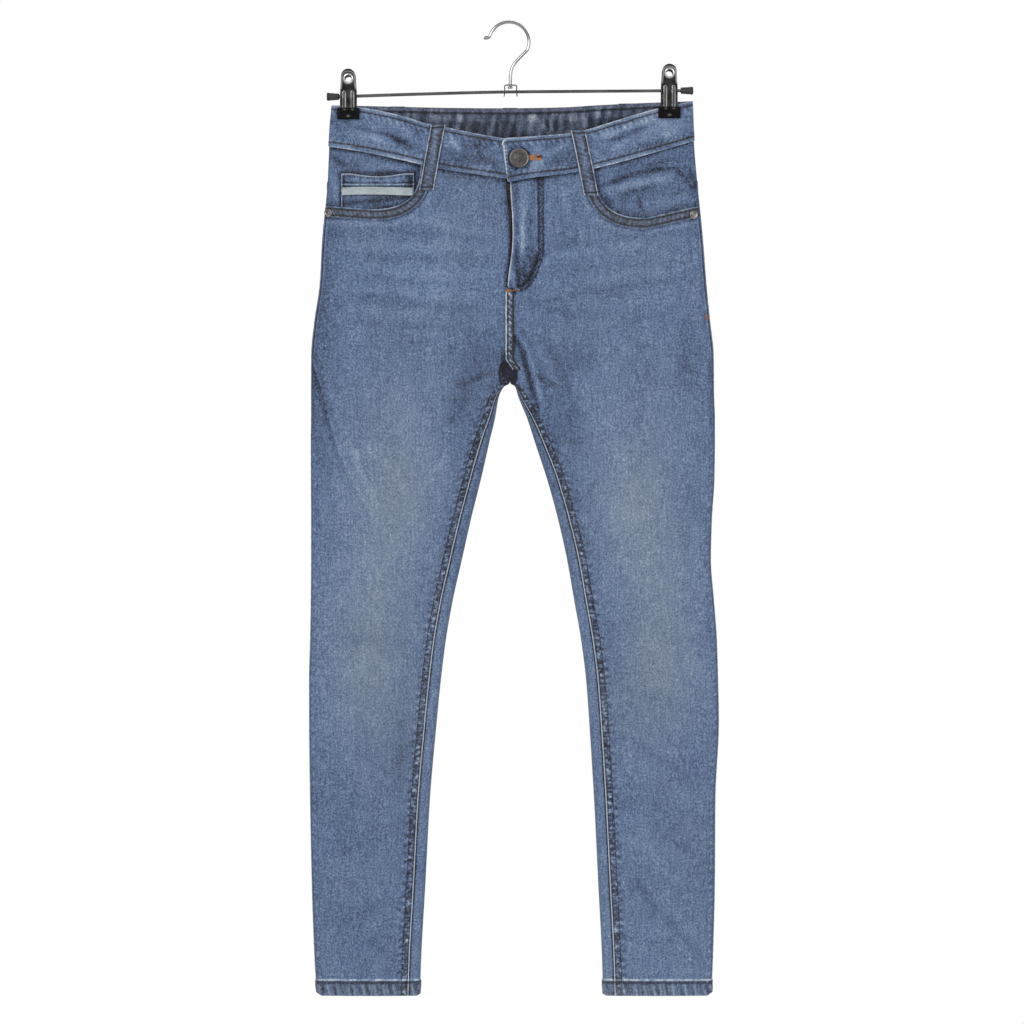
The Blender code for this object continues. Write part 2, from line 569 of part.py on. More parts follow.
def make_back(side):
    across = back_stations()
    nominal = 1.0 + (1.0 + side_seam(SEAM_Z)) * across
    lines = yoke_line(nominal_x(side, nominal)) - SEAM_GAP / 2
    z = rows_down(lines, 2)
    start = back_inner(side, z[:, 0])[:, None]
    end = set_in(side, 2.0 + side_seam(z[:, -1]), z[:, -1], -1)[:, None]
    shares = start + (end - start) * across[None, :]
    return panel("back_" + SIDE_NAMES[side], side, shares, z)


def make_yoke(side):
    across = stations((8, 0.12), (3, 0.02), (1, 0.02))
    shares = 1.0 + NOT_QUITE + (1.0 + side_seam(SEAM_Z)) * across
    x = nominal_x(side, shares)
    top = waist_line(side, BACK, x, "seam") - SEAM_GAP / 2
    low = yoke_line(x) + SEAM_GAP / 2
    z = top[None, :] + (low - top)[None, :] * np.linspace(0.0, 1.0, 4)[:, None]
    start = set_in(side, np.full(len(z), 1.0 + NOT_QUITE), z[:, 0], 1)[:, None]
    end = set_in(side, 2.0 + side_seam(z[:, -1]), z[:, -1], -1)[:, None]
    return panel("yoke_" + SIDE_NAMES[side], side, start + (end - start) * across[None, :], z)


# ---------------------------------------------------------------- waistband
def band_path():
    """The band's stations as (side, share, stretch), from the underlap round the back to the lap."""
    side_turn = [0.24, 0.18, 0.12, 0.08, 0.06, 0.04, 0.02, 0.0, -0.02, -0.04, -0.06, -0.08, -0.12, -0.18]
    front = [0.99, 0.93, 0.86, 0.76, 0.66, 0.56, 0.45, 0.34]
    back = [-0.28, -0.4, -0.52, -0.64, -0.76, -0.88, -0.97]
    half = front + side_turn + back
    under_end = float(share_at(LEFT, FRONT, UNDERLAP_END, WAIST_Z))
    path = [(LEFT, under_end, "under"), (LEFT, 0.94, "under"), (LEFT, 0.99, "under")]
    path += [(RIGHT, share, "under" if share > 0.9 else "band") for share in half]
    path += [(LEFT, share, "band") for share in reversed(half[1:])]
    path += [(LEFT, 0.97, "lap"), (LEFT, 0.995, "lap"), (RIGHT, None, "lap")]
    return path


def band_lift(x, stretch):
    if stretch == "under":
        return UNDERLAP_SINK
    return LAP_LIFT * (1.0 - float(smooth_step(x, *LAP_EASE))) if 0 < x < 80.0 else 0.0


def lap_edge(down):
    return LAP_END_TOP + (LAP_END_LOW - LAP_END_TOP) * down


def band_column(side, share, stretch, down, out):
    """Points down the band at one station, out of its own face."""
    if stretch == "lap" and share is None:
        top = waist_line(LEFT, FRONT, 0.0, "top")
        low = waist_line(LEFT, FRONT, 0.0, "seam") + SEAM_GAP / 2
        z = top + (low - top) * down
        return place(FRONT, lap_edge(down), z, np.full(down.shape, out + LAP_LIFT))
    face = FRONT if share >= 0 else BACK
    x = float(nominal_x(side, share))
    top = waist_line(side, face, x, "top")
    low = waist_line(side, face, x, "seam") + SEAM_GAP / 2
    front_side = stretch == "lap" or (side == LEFT and face == FRONT)
    lift = LAP_LIFT if stretch == "lap" else band_lift(x if front_side else 0.0, stretch)
    z = top + (low - top) * down
    return raised(side, np.full(down.shape, share), z, np.full(down.shape, out + lift))


def make_waistband():
    down = np.linspace(0.0, 1.0, 3)
    path = band_path()
    outer = np.stack([band_column(*step, down, BAND_OUT) for step in path])
    inner = np.stack([band_column(*step, down, BAND_IN) for step in path])
    return wall("waistband", outer, inner, "denim_band")


# ---------------------------------------------------------------- pockets
def mouth_curve(side, steps=9):
    """The pocket mouth's edge from the waist seam to the side, as a quarter round and a straight run."""
    mouth = MOUTHS[side]
    across, drop = mouth.turn_x - mouth.inner_x, mouth.top_z - mouth.low_z
    turn = np.linspace(0.0, np.pi / 2, steps)
    power = 2 / MOUTH_ROUNDNESS
    x = mouth.turn_x - across * np.cos(turn) ** power
    z = mouth.top_z - drop * np.sin(turn) ** power
    run = (mouth.low_z - mouth.side_z) / (MOUTH_SIDE_X - mouth.turn_x)
    x = np.append(x, MOUTH_CUT["past"])
    z = np.append(z, mouth.low_z - run * (MOUTH_CUT["past"] - mouth.turn_x))
    return side * x, z


def mouth_cutter(side):
    x, z = mouth_curve(side)
    outline = [(x[0], MOUTH_CUT["top"]), *zip(x, z), (x[-1], MOUTH_CUT["top"])]

    def build(bm):
        near = [bm.verts.new((px, MOUTH_CUT["near"], pz)) for px, pz in outline]
        far = [bm.verts.new((px, MOUTH_CUT["far"], pz)) for px, pz in outline]
        bm.faces.new(near)
        bm.faces.new(far)
        for i in range(len(outline)):
            k = (i + 1) % len(outline)
            bm.faces.new((near[i], near[k], far[k], far[i]))

    name = "cutter_mouth_" + SIDE_NAMES[side]
    return add_object(name, mesh_from(name, build), "denim")


def make_facing(side):
    mouth = MOUTHS[side]
    under = FACING_UNDER + (COIN_CLOTH + SEAM_GAP if side == RIGHT else 0.0)
    across = stations((2, 0.3), (8, 1.0))
    inner_x = side * (mouth.inner_x - FACING_SPREAD)
    z_low = mouth.low_z - FACING_SPREAD
    start = float(side_seam(FACING_Z))
    end = float(share_at(side, FRONT, inner_x, FACING_Z))
    nominal = start + (end - start) * across
    top = waist_line(side, FRONT, nominal_x(side, nominal), "seam") - SEAM_GAP / 2 - FACING_DROP
    z = top[None, :] + (z_low - top)[None, :] * np.linspace(0.0, 1.0, 7)[:, None]
    first = set_in(side, side_seam(z[:, 0]), z[:, 0], 1)[:, None]
    shares = first + (end - first) * across[None, :]
    beside = smooth_step(-shares, -FOLD_SHARE, -FOLD_SHARE / 2)
    above = smooth_step(z - mouth.side_z, *FACING_RISE)
    out = -under + under * beside * above
    name = "pocket_facing_" + SIDE_NAMES[side]
    return wall(name, raised(side, shares, z, out), raised(side, shares, z, out - DENIM), "denim")


def patch(name, face, corners, low_points, rows, columns, out, cloth, kind):
    """A patch between two x at the top and two at the foot, with a top line and a foot line of heights."""
    (top_a, top_b), (low_a, low_b) = corners
    top_z, low_z = low_points
    across = np.linspace(0.0, 1.0, columns + 1)
    down = np.linspace(0.0, 1.0, rows + 1)[:, None]
    upper_x, lower_x = top_a + (top_b - top_a) * across, low_a + (low_b - low_a) * across
    x = upper_x[None, :] * (1 - down) + lower_x[None, :] * down
    z = top_z(across)[None, :] * (1 - down) + low_z(across)[None, :] * down
    return wall(name, place(face, x, z, out + cloth), place(face, x, z, out), kind)


def level(z):
    return lambda across: np.full(np.shape(across), z)


def make_coin_pocket():
    x = COIN_POCKET["x"]
    out = -FACING_UNDER - COIN_CLOTH
    heights = (level(COIN_POCKET["top"]), level(COIN_POCKET["low"]))
    patch("coin_pocket", FRONT, (x, x), heights, 4, 6, out, COIN_CLOTH, "denim")
    x = COIN_TAPE["x"]
    heights = (level(COIN_TAPE["top"]), level(COIN_TAPE["low"]))
    patch("coin_tape", FRONT, (x, x), heights, 1, 6, -FACING_UNDER + SEAM_GAP, TAPE_CLOTH, "tape")


def make_back_pocket(side):
    pocket = BACK_POCKET
    top = (side * pocket["inner"], side * pocket["outer"])
    low = (side * (pocket["inner"] + pocket["taper"]), side * (pocket["outer"] - pocket["taper"]))

    def foot(across):
        return pocket["side"] + (pocket["point"] - pocket["side"]) * (1 - np.abs(2 * across - 1))

    name = "back_pocket_" + SIDE_NAMES[side]
    heights = (level(pocket["top"]), foot)
    patch(name, BACK, (top, low), heights, 6, 8, SEAM_GAP, DENIM, "denim")


# ---------------------------------------------------------------- belt loops
def make_belt_loop(loop):
    """A strip that leaves the band's top edge, stands a little off the band and ends on the cloth below."""
    side = RIGHT if loop.top_x < 0 else LEFT
    top_z = float(waist_line(side, loop.face, loop.top_x, "top")) + 0.6
    seam_z = float(waist_line(side, loop.face, loop.low_x, "seam"))
    down = np.array([0.0, 0.12, 0.35, 0.6, 0.85, 1.0])
    z = top_z + (loop.low_z - top_z) * down
    x = loop.top_x + (loop.low_x - loop.top_x) * down
    on_band = smooth_step(z, seam_z - 4.0, seam_z + 1.5)
    under = SEAM_GAP + 0.2 + BAND_OUT * on_band + LOOP_BULGE * np.sin(np.pi * down) ** 0.8
    lift = LAP_LIFT * (1 - smooth_step(x, *LAP_EASE)) if loop.face == FRONT and loop.top_x > 0 else 0.0
    across = np.linspace(-0.5, 0.5, 4) * LOOP_WIDTH
    xs = x[:, None] + across[None, :]
    zs = np.repeat(z[:, None], 4, axis=1)
    under = np.repeat((under + lift)[:, None], 4, axis=1)
    outer = place(loop.face, xs, zs, under + LOOP_CLOTH)
    wall(loop.name, outer, place(loop.face, xs, zs, under), "denim")


# ---------------------------------------------------------------- fly
def make_zip():
    left, right = ZIP_TAPE["x"]
    chain_left, chain_right = ZIP_CHAIN["x"]
    xs = np.array([left, chain_left - SEAM_GAP, chain_left, chain_right, chain_right + SEAM_GAP, right])
    outs = -np.array([ZIP_TAPE["under"]] * 2 + [ZIP_CHAIN["under"]] * 2 + [ZIP_TAPE["under"]] * 2)
    zs = np.linspace(ZIP_TAPE["top"], ZIP_TAPE["low"], 6)
    x, z = np.meshgrid(xs, zs)
    out = np.repeat(outs[None, :], len(zs), axis=0)
    under = np.full(x.shape, -ZIP_TAPE["under"] - ZIP_TAPE["cloth"])
    wall("zip", flat_place(x, z, out), flat_place(x, z, under), "zip")


def flat_place(x, z, out):
    """Points behind the fly, at the centre's own depth, so that the zip stays flat across."""
    points = place(FRONT, np.zeros(x.shape), z, out)
    points[..., 0] = x
    return points


def make_zip_slider():
    x, z = ZIP_SLIDER["x"], (ZIP_SLIDER["low"], ZIP_SLIDER["top"])
    near, far = (-u for u in ZIP_SLIDER["under"])
    y = [float(flat_place(np.zeros(1), np.array([sum(z) / 2]), np.array([u]))[0, 1]) for u in (near, far)]
    box("zip_slider", x, y, z, "antique", bevel=0.8)


# ---------------------------------------------------------------- simple solids
def box(name, x, y, z, kind, bevel=0.0):
    def build(bm):
        bmesh.ops.create_cube(bm, size=1.0)
        sizes = [abs(b - a) for a, b in (x, y, z)]
        middle = [(a + b) / 2 for a, b in (x, y, z)]
        bmesh.ops.scale(bm, vec=sizes, verts=bm.verts)
        bmesh.ops.translate(bm, vec=middle, verts=bm.verts)

    obj = add_object(name, mesh_from(name, build), kind)
    if bevel:
        add_bevel(obj, bevel)
    return obj


def add_bevel(obj, width, segments=2):
    modifier = obj.modifiers.new("edges", "BEVEL")
    modifier.width = width * MM
    modifier.segments = segments
    modifier.limit_method = "ANGLE"
    modifier.angle_limit = math.radians(40)


def cylinder(name, centre, axis, radius, length, sides=16):
    turn = Vector((0, 0, 1)).rotation_difference(Vector(axis)).to_matrix().to_4x4()

    def build(bm):
        bmesh.ops.create_cone(
            bm, cap_ends=True, segments=sides, radius1=radius, radius2=radius, depth=length,
            matrix=Matrix.Translation(centre) @ turn,
        )

    return add_object(name, mesh_from(name, build), "gunmetal")


def turned(name, profile, matrix, kind, steps=16, ring=False):
    """A profile of (radius, height) from the top down the outer side, turned about Z."""
    mesh = bpy.data.meshes.new(name)
    points = [(radius * MM, 0.0, height * MM) for radius, height in profile]
    edges = [(i, i + 1) for i in range(len(points) - 1)]
    if ring:
        edges.append((len(points) - 1, 0))
    mesh.from_pydata(points, edges, [])
    obj = add_object(name, mesh, kind, matrix)
    screw = obj.modifiers.new("turn", "SCREW")
    screw.steps = screw.render_steps = steps
    screw.use_merge_vertices = True
    screw.merge_threshold = 1e-5
    screw.use_smooth_shade = True
    return obj


def facing_out(face, x, z, out):
    """A matrix at a place on the cloth, with its Z axis out of the cloth."""
    centre = place(face, np.array([x]), np.array([z]), np.array([out]))[0]
    above = place(face, np.array([x]), np.array([z]), np.array([out + 1.0]))[0]
    way = Vector(above - centre).normalized()
    turn = Vector((0, 0, 1)).rotation_difference(way).to_matrix().to_4x4()
    return Matrix.Translation(Vector(centre) * MM) @ turn


def make_button():
    r, h = BUTTON["radius"], BUTTON["height"]
    profile = ((0.0, h), (0.45 * r, h), (0.55 * r, h - 0.5), (0.8 * r, h - 0.3), (0.95 * r, h - 0.7),
               (r, h - 1.5), (0.96 * r, 0.4), (0.9 * r, 0.0), (0.0, 0.0))
    seat = BAND_OUT + LAP_LIFT + SEAM_GAP
    matrix = facing_out(FRONT, BUTTON["x"], BUTTON["z"], seat)
    turned("button", profile, matrix, "antique", steps=20)


def make_rivet(side):
    x, z = RIVETS[side]
    r, h = RIVET_RADIUS, RIVET_HEIGHT
    profile = (
        (0.0, h), (0.35 * r, h), (0.5 * r, h - 0.4), (0.75 * r, h - 0.2), (r, h - 1.0), (r, 0.0), (0.0, 0.0),
    )
    matrix = facing_out(FRONT, x, z, SEAM_GAP)
    turned("rivet_" + SIDE_NAMES[side], profile, matrix, "rivet", steps=14)


# ---------------------------------------------------------------- hanger
def wire(name, points, radii, kind):
    """A round wire through points of (x, z) in the plane y = 0, as thick as radii says at each."""
    curve = bpy.data.curves.new(name, "CURVE")
    curve.dimensions = "3D"
    curve.bevel_depth = WIRE * MM
    curve.bevel_resolution = 2
    curve.use_fill_caps = True
    spline = curve.splines.new("POLY")
    spline.points.add(len(points) - 1)
    for point, (x, z), radius in zip(spline.points, points, radii):
        point.co = (x * MM, 0.0, z * MM, 1.0)
        point.radius = radius
    return add_object(name, curve, kind)


def rod_z(x):
    return float(smooth_curve(x, [p[0] for p in ROD_POINTS], [p[1] for p in ROD_POINTS]))


def make_hook():
    """The tip, the round crown over the rail, the shank, and the head that the saddle hangs on."""
    centre_z = WIRE - HOOK_RADIUS
    angles = np.radians(np.linspace(HOOK_START, HOOK_END, 15))
    crown = [
        (HOOK_CENTRE_X + HOOK_RADIUS * math.cos(a), centre_z + HOOK_RADIUS * math.sin(a)) for a in angles
    ]
    tip_x, tip_z = crown[0]
    tip = [(tip_x - 5.2, tip_z - 1.2, 1.35), (tip_x - 3.6, tip_z - 1.6, 1.2), (tip_x - 1.4, tip_z - 1.4, 1.0)]
    foot_x, foot_z = HOOK_SHANK[-1]
    head = [(foot_x, foot_z - 0.3, 1.7), (foot_x, foot_z - 1.6, 1.7)]
    points = [(x, z) for x, z, _ in tip] + crown + list(HOOK_SHANK) + [(x, z) for x, z, _ in head]
    radii = [r for *_, r in tip] + [1.0] * (len(crown) + len(HOOK_SHANK)) + [r for *_, r in head]
    wire("hanger_hook", points, radii, "chrome")


def make_rod():
    xs = np.linspace(ROD_POINTS[0][0], ROD_POINTS[-1][0], 13)
    wire("hanger_rod", [(x, rod_z(x)) for x in xs], [1.0] * len(xs), "chrome")


def make_saddle():
    (x0, x1), top, low = SADDLE["x"], SADDLE["top"], SADDLE["low"]
    half, sheet = SADDLE["depth"] / 2, SADDLE["sheet"]
    saddle = box("hanger_saddle", (x0, x1), (-half, half), (low, top), "chrome", bevel=0.9)
    hollow = box("cutter_saddle", (x0 + sheet, x1 - sheet), (-9, 9), (low - 5, top - sheet), "chrome")
    boolean(saddle, hollow, "DIFFERENCE")
    middle = (x0 + x1) / 2
    hole = WIRE + FIT
    stem_x = HOOK_SHANK[-1][0]
    rod_hole = cylinder("cutter_saddle_rod", (middle, 0, rod_z(middle)), (1, 0, 0), hole, 2 * (x1 - x0))
    stem_hole = cylinder("cutter_saddle_stem", (stem_x, 0, top), (0, 0, 1), hole, 8)
    boolean(saddle, rod_hole, "DIFFERENCE")
    boolean(saddle, stem_hole, "DIFFERENCE")


def make_knob(side):
    """A black end cap, bored to slip over the rod's end."""
    start = abs(ROD_POINTS[0][0]) - KNOB["bore"] + 0.6
    bore = WIRE + FIT
    length, small, large = KNOB["length"], KNOB["small"], KNOB["large"]
    profile = ((0.0, length), (large - 1.0, length), (large, length - 1.2), (large - 0.1, length - 2.4),
               (small, 0.6), (small - 0.5, 0.0), (bore, 0.0), (bore, KNOB["bore"]), (0.0, KNOB["bore"]))
    turn = Matrix.Rotation(side * math.pi / 2, 4, "Y")
    matrix = Matrix.Translation(Vector((side * start, 0.0, rod_z(side * start))) * MM) @ turn
    turned("knob_" + SIDE_NAMES[side], profile, matrix, "rubber", steps=14)


# ---------------------------------------------------------------- clips
def plate_rows(clip):
    """Rows down a clip's plate as (height over the rod, half width, distance from the mid-plane)."""
    top, half_top, half_low = clip.top, PLATE["half_top"], PLATE["half_low"]
    stand, lean = PLATE["stand"], PLATE["lean"]
    tongue_end = -clip.jaw + PAD["height"] - PAD["tongue"]
    middle = PAD["stand"] + PAD["depth"] / 2
    rows = [
        (top - half_top * (1 - math.cos(math.radians(a))), half_top * math.sin(math.radians(a)))
        for a in (14.0, 38.0, 62.0, 90.0)
    ]
    rows += [(7.0, half_top - 0.2), (RIB["up"], half_low - 0.4), (0.0, half_low - 0.3)]
    rows += [(-clip.jaw + PAD["height"] + 1.6, half_low), (-clip.jaw + PAD["height"] + 0.5, half_low)]
    rows += [(tongue_end, half_low)]
    depths = []
    for up, _ in rows:
        leaning = lean * float(smooth_step(up, 5.0, top))
        closing = float(smooth_step(-up, 2.0, clip.jaw - PAD["height"] - 1.0))
        depths.append(stand + leaning + (middle - stand) * closing)
    return [(up, half, depth) for (up, half), depth in zip(rows, depths)]


def make_plate(side, face):
    clip = CLIPS[side]
    name = f"clip_{SIDE_NAMES[side]}_{'front' if face == FRONT else 'back'}_plate"
    across = np.array([-1.0, -0.7, -0.5, -0.3, 0.3, 0.5, 0.7, 1.0])
    on_rib = np.isclose(np.abs(across), 0.5)
    rows = plate_rows(clip)
    low_rib = -clip.jaw + PAD["height"] + 1.6
    outer = np.zeros((len(rows), len(across), 3))
    inner = np.zeros_like(outer)
    z0 = rod_z(clip.x)
    for i, (up, half, depth) in enumerate(rows):
        ribbed = on_rib & (low_rib - 0.1 <= up < RIB["up"] - 0.1)
        outer[i, :, 0] = inner[i, :, 0] = clip.x + across * half
        outer[i, :, 1] = face * (depth + PLATE["sheet"] / 2 + RIB["out"] * ribbed)
        inner[i, :, 1] = face * (depth - PLATE["sheet"] / 2)
        outer[i, :, 2] = inner[i, :, 2] = z0 + up
    plate = wall(name, outer, inner, "gunmetal")
    for way in (-1, 1):
        boolean(plate, make_ear(name, clip, face, way, z0), "UNION")
    bore = cylinder(f"cutter_{name}_rod", (clip.x, 0, z0), (1, 0, 0), WIRE + FIT, 40, sides=12)
    boolean(plate, bore, "DIFFERENCE")
    middle = (clip.x, face * 8, z0 + PLATE_HOLE["up"])
    hole = cylinder(f"cutter_{name}_hole", middle, (0, 1, 0), PLATE_HOLE["radius"], 12, sides=14)
    boolean(plate, hole, "DIFFERENCE")
    return plate


def make_ear(name, clip, face, way, z0):
    """A side flange that reaches round the rod. The back plate's pair lies inside the front plate's."""
    outside = PLATE["half_low"] - 0.9 - (0.0 if face == FRONT else EAR["sheet"] + SEAM_GAP)
    x = sorted((clip.x + way * outside, clip.x + way * (outside - EAR["sheet"])))
    near = face * (PLATE["stand"] + 0.1)
    far = face * (PLATE["stand"] - EAR["reach"])
    z = (z0 - EAR["radius"], z0 + EAR["radius"])
    return box(f"cutter_{name}_ear_{way}", x, sorted((near, far)), z, "gunmetal")


def make_spring(side):
    """The coil round the rod between the ears, as one plain sleeve."""
    clip = CLIPS[side]
    bore = WIRE + FIT
    profile = ((bore, COIL_HALF), (COIL_RADIUS, COIL_HALF), (COIL_RADIUS, -COIL_HALF), (bore, -COIL_HALF))
    turn = Matrix.Rotation(math.pi / 2, 4, "Y")
    matrix = Matrix.Translation(Vector((clip.x, 0.0, rod_z(clip.x))) * MM) @ turn
    turned(f"clip_{SIDE_NAMES[side]}_spring", profile, matrix, "chrome", steps=12, ring=True)


def make_pad(side, face):
    """A rubber pad on the plate's tongue, pressed on the waistband."""
    clip = CLIPS[side]
    name = f"clip_{SIDE_NAMES[side]}_{'front' if face == FRONT else 'back'}_pad"
    low = rod_z(clip.x) - clip.jaw
    x = (clip.x - PAD["width"] / 2, clip.x + PAD["width"] / 2)
    y = sorted((face * PAD["stand"], face * (PAD["stand"] + PAD["depth"])))
    pad = box(name, x, y, (low, low + PAD["height"]), "rubber", bevel=0.7)
    middle = face * (PAD["stand"] + PAD["depth"] / 2)
    half_slot = PLATE["sheet"] / 2 + 0.3
    half_width = PLATE["half_low"] + 0.3
    slot_low = low + PAD["height"] - PAD["tongue"] - 0.3
    slot = box(
        f"cutter_{name}", (clip.x - half_width, clip.x + half_width),
        (middle - half_slot, middle + half_slot), (slot_low, low + PAD["height"] + 3.0), "rubber",
    )
    boolean(pad, slot, "DIFFERENCE")
    return pad


# ---------------------------------------------------------------- all of it
def make_jeans():
    for side in (RIGHT, LEFT):
        make_front(side)
        make_back(side)
        make_yoke(side)
        make_facing(side)
        make_back_pocket(side)
        make_rivet(side)
    make_waistband()
    make_coin_pocket()
    for loop in LOOPS:
        make_belt_loop(loop)
    make_zip()
    make_zip_slider()
    make_button()


def make_hanger():
    make_hook()
    make_rod()
    make_saddle()
    for side in (RIGHT, LEFT):
        make_knob(side)
        make_spring(side)
        for face in (FRONT, BACK):
            make_plate(side, face)
            make_pad(side, face)


clear_scene()
PARTS = new_collection("jeans_on_clip_hanger")
CUTTERS = new_collection("cutters", hidden=True)
make_jeans()
make_hanger()
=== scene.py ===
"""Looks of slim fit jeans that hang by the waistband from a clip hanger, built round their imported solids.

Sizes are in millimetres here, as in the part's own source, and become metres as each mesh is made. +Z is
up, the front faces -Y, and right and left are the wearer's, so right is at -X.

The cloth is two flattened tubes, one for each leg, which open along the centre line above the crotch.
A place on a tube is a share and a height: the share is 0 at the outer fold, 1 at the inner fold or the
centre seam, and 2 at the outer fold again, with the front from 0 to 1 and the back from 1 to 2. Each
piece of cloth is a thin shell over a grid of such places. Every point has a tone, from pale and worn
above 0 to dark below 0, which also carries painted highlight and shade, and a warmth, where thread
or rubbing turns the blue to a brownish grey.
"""

import math
from collections import namedtuple

import bpy
import numpy as np
from mathutils import Matrix, Vector


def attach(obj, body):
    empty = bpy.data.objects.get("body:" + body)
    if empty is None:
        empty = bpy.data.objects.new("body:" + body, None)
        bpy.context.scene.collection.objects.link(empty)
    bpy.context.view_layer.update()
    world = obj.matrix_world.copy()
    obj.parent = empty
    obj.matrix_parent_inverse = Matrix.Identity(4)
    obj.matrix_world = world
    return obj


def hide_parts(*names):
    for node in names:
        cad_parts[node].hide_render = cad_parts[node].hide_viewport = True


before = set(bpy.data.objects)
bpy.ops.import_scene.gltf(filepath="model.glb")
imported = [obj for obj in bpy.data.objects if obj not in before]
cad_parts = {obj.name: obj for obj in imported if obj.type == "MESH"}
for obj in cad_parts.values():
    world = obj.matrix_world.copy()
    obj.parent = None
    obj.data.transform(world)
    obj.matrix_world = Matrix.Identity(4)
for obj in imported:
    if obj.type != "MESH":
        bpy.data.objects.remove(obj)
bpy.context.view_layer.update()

MM = 0.001
RIGHT, LEFT = -1, 1
FRONT, BACK = -1, 1
SIDE_NAMES = {RIGHT: "right", LEFT: "left"}
FACE_NAMES = {FRONT: "front", BACK: "back"}

# ---------------------------------------------------------------- the solids' own sizes
DENIM = 1.2
BAND_OUT, BAND_IN = 0.8, -1.6
HEM_OUT, HEM_IN, HEM_DEPTH, HEM_ROW = 0.9, -2.1, 16.0, 2.6
SEAM_GAP = 0.3
CROTCH_Z, HEM_Z, FLAT_Z = -359.0, -971.5, -215.0
FOLD_SHARE = 0.06
SIDE_SEAM_FORWARD = 3.5
CROTCH_RISE = {FRONT: 30.0, BACK: 46.0}
CROTCH_SPREAD = (0.5, 0.92)
LEGS_PART = (-75.0, 80.0)
CENTRE_GAP = 0.05
NOT_QUITE = 1e-6
WAIST_Z, SEAM_Z, FACING_Z = -125.0, -140.0, -155.0


def rows_of(kind, *rows):
    """A table: each row's numbers get the names of its kind."""
    return tuple(kind(*row) for row in rows)


Section = namedtuple(
    "Section",
    "z right_out right_in left_out left_in fold held front back centre_front centre_back inseam",
)
SECTIONS = rows_of(
    Section,
    (-76, 177, CENTRE_GAP, 182, CENTRE_GAP, 2, 0.18, 0, 0, 8, 12, 0),
    (-100, 179.5, CENTRE_GAP, 183, CENTRE_GAP, 2, 0.18, 0, 0, 8.5, 13.5, 0),
    (-125, 181, CENTRE_GAP, 184.5, CENTRE_GAP, 4.6, 0.10, 0, 0, 10, 16, 0),
    (-160, 182.5, CENTRE_GAP, 187.5, CENTRE_GAP, 7, 0.03, 0.5, 1.5, 12, 20, 0),
    (-215, 187.8, CENTRE_GAP, 193, CENTRE_GAP, 8, 0, 1.5, 5, 14, 23, 0),
    (-260, 190.3, CENTRE_GAP, 196.5, CENTRE_GAP, 8.5, 0, 2.2, 8.5, 14.5, 21.5, 0),
    (-300, 196, CENTRE_GAP, 200.5, CENTRE_GAP, 8.5, 0, 3, 9.5, 13, 17, 0),
    (-330, 198.8, CENTRE_GAP, 203.7, CENTRE_GAP, 8.5, 0, 3.6, 8.5, 11, 13, 0),
    (CROTCH_Z, 199, CENTRE_GAP, 204, CENTRE_GAP, 8.5, 0, 4, 7, 9, 9.5, 0),
    (-363, 199, 6, 204, 5, 8.5, 0, 4, 6.5, 9, 9.5, 0.6),
    (-373, 199, 11, 204.2, 8.2, 8.4, 0, 4, 6.4, 9, 9.5, 2.5),
    (-395, 199, 15, 205, 17.2, 8.2, 0, 4, 6, 9, 9.5, 5.5),
    (-416, 199.3, 20, 205, 24, 8, 0, 4, 5.5, 9, 9.5, 8),
    (-456, 199.2, 29, 204.5, 37, 7.6, 0, 3.8, 4.8, 9, 9.5, 10.5),
    (-496, 199, 39, 202, 48, 7.3, 0, 3.6, 4.4, 9, 9.5, 11),
    (-536, 199, 48, 201, 57, 7, 0, 3.5, 4.2, 9, 9.5, 11.5),
    (-576, 199.3, 57, 204, 64, 6.8, 0, 3.4, 4, 9, 9.5, 11.5),
    (-616, 200, 64, 207, 71, 6.6, 0, 3.4, 3.8, 9, 9.5, 11.5),
    (-656, 201, 69, 208.2, 76, 6.5, 0, 3.3, 3.6, 9, 9.5, 11.5),
    (-696, 201, 73, 209, 79, 6.4, 0, 3.2, 3.4, 9, 9.5, 11.5),
    (-776, 200, 80, 205.5, 84, 6.2, 0, 3, 3.2, 9, 9.5, 11.5),
    (-856, 198.4, 84.3, 205, 88, 6, 0, 2.6, 2.8, 9, 9.5, 11.5),
    (-936, 195.5, 88.8, 203, 92, 6, 0, 2.2, 2.4, 9, 9.5, 11.5),
    (HEM_Z, 193, 90, 201.5, 93, 6, 0, 2, 2, 9, 9.5, 11.5),
)
WaistPoint = namedtuple("WaistPoint", "x top seam")
FRONT_WAIST = {
    RIGHT: rows_of(
        WaistPoint,
        (0, -116.6, -157), (35, -110.4, -151.8), (64, -104.1, -147.4), (80, -101, -144),
        (112, -91.4, -136.5), (148, -84.2, -128.8), (181, -81.5, -123.6),
    ),
    LEFT: rows_of(
        WaistPoint,
        (0, -115.4, -159.6), (24, -113.8, -155.4), (60, -109.9, -150.8), (77, -106.1, -147.6),
        (101.6, -98.4, -141.6), (148, -84.7, -128.6), (184, -77.4, -117.8),
    ),
}
BACK_WAIST = {
    RIGHT: rows_of(
        WaistPoint,
        (0, -83.4, -126), (60, -83.4, -125.8), (110, -82.9, -125), (181, -81.5, -123.6),
    ),
    LEFT: rows_of(
        WaistPoint,
        (0, -83.4, -126), (55, -82.7, -124.6), (85, -81.2, -123.4), (184, -77.4, -117.8),
    ),
}
YOKE_SIDE_Z, YOKE_CENTRE_Z, YOKE_HALF = -158.0, -192.0, 184.0

# Soft folds and finer creases: each one's ends, half width, and how far it stands out (in, below 0).
Fold = namedtuple("Fold", "face x z to_x to_z width depth")


def folds_on(face, *rows):
    """Folds of one face, from rows of x, z, to_x, to_z, width and depth."""
    return tuple(Fold(face, *map(float, row)) for row in rows)


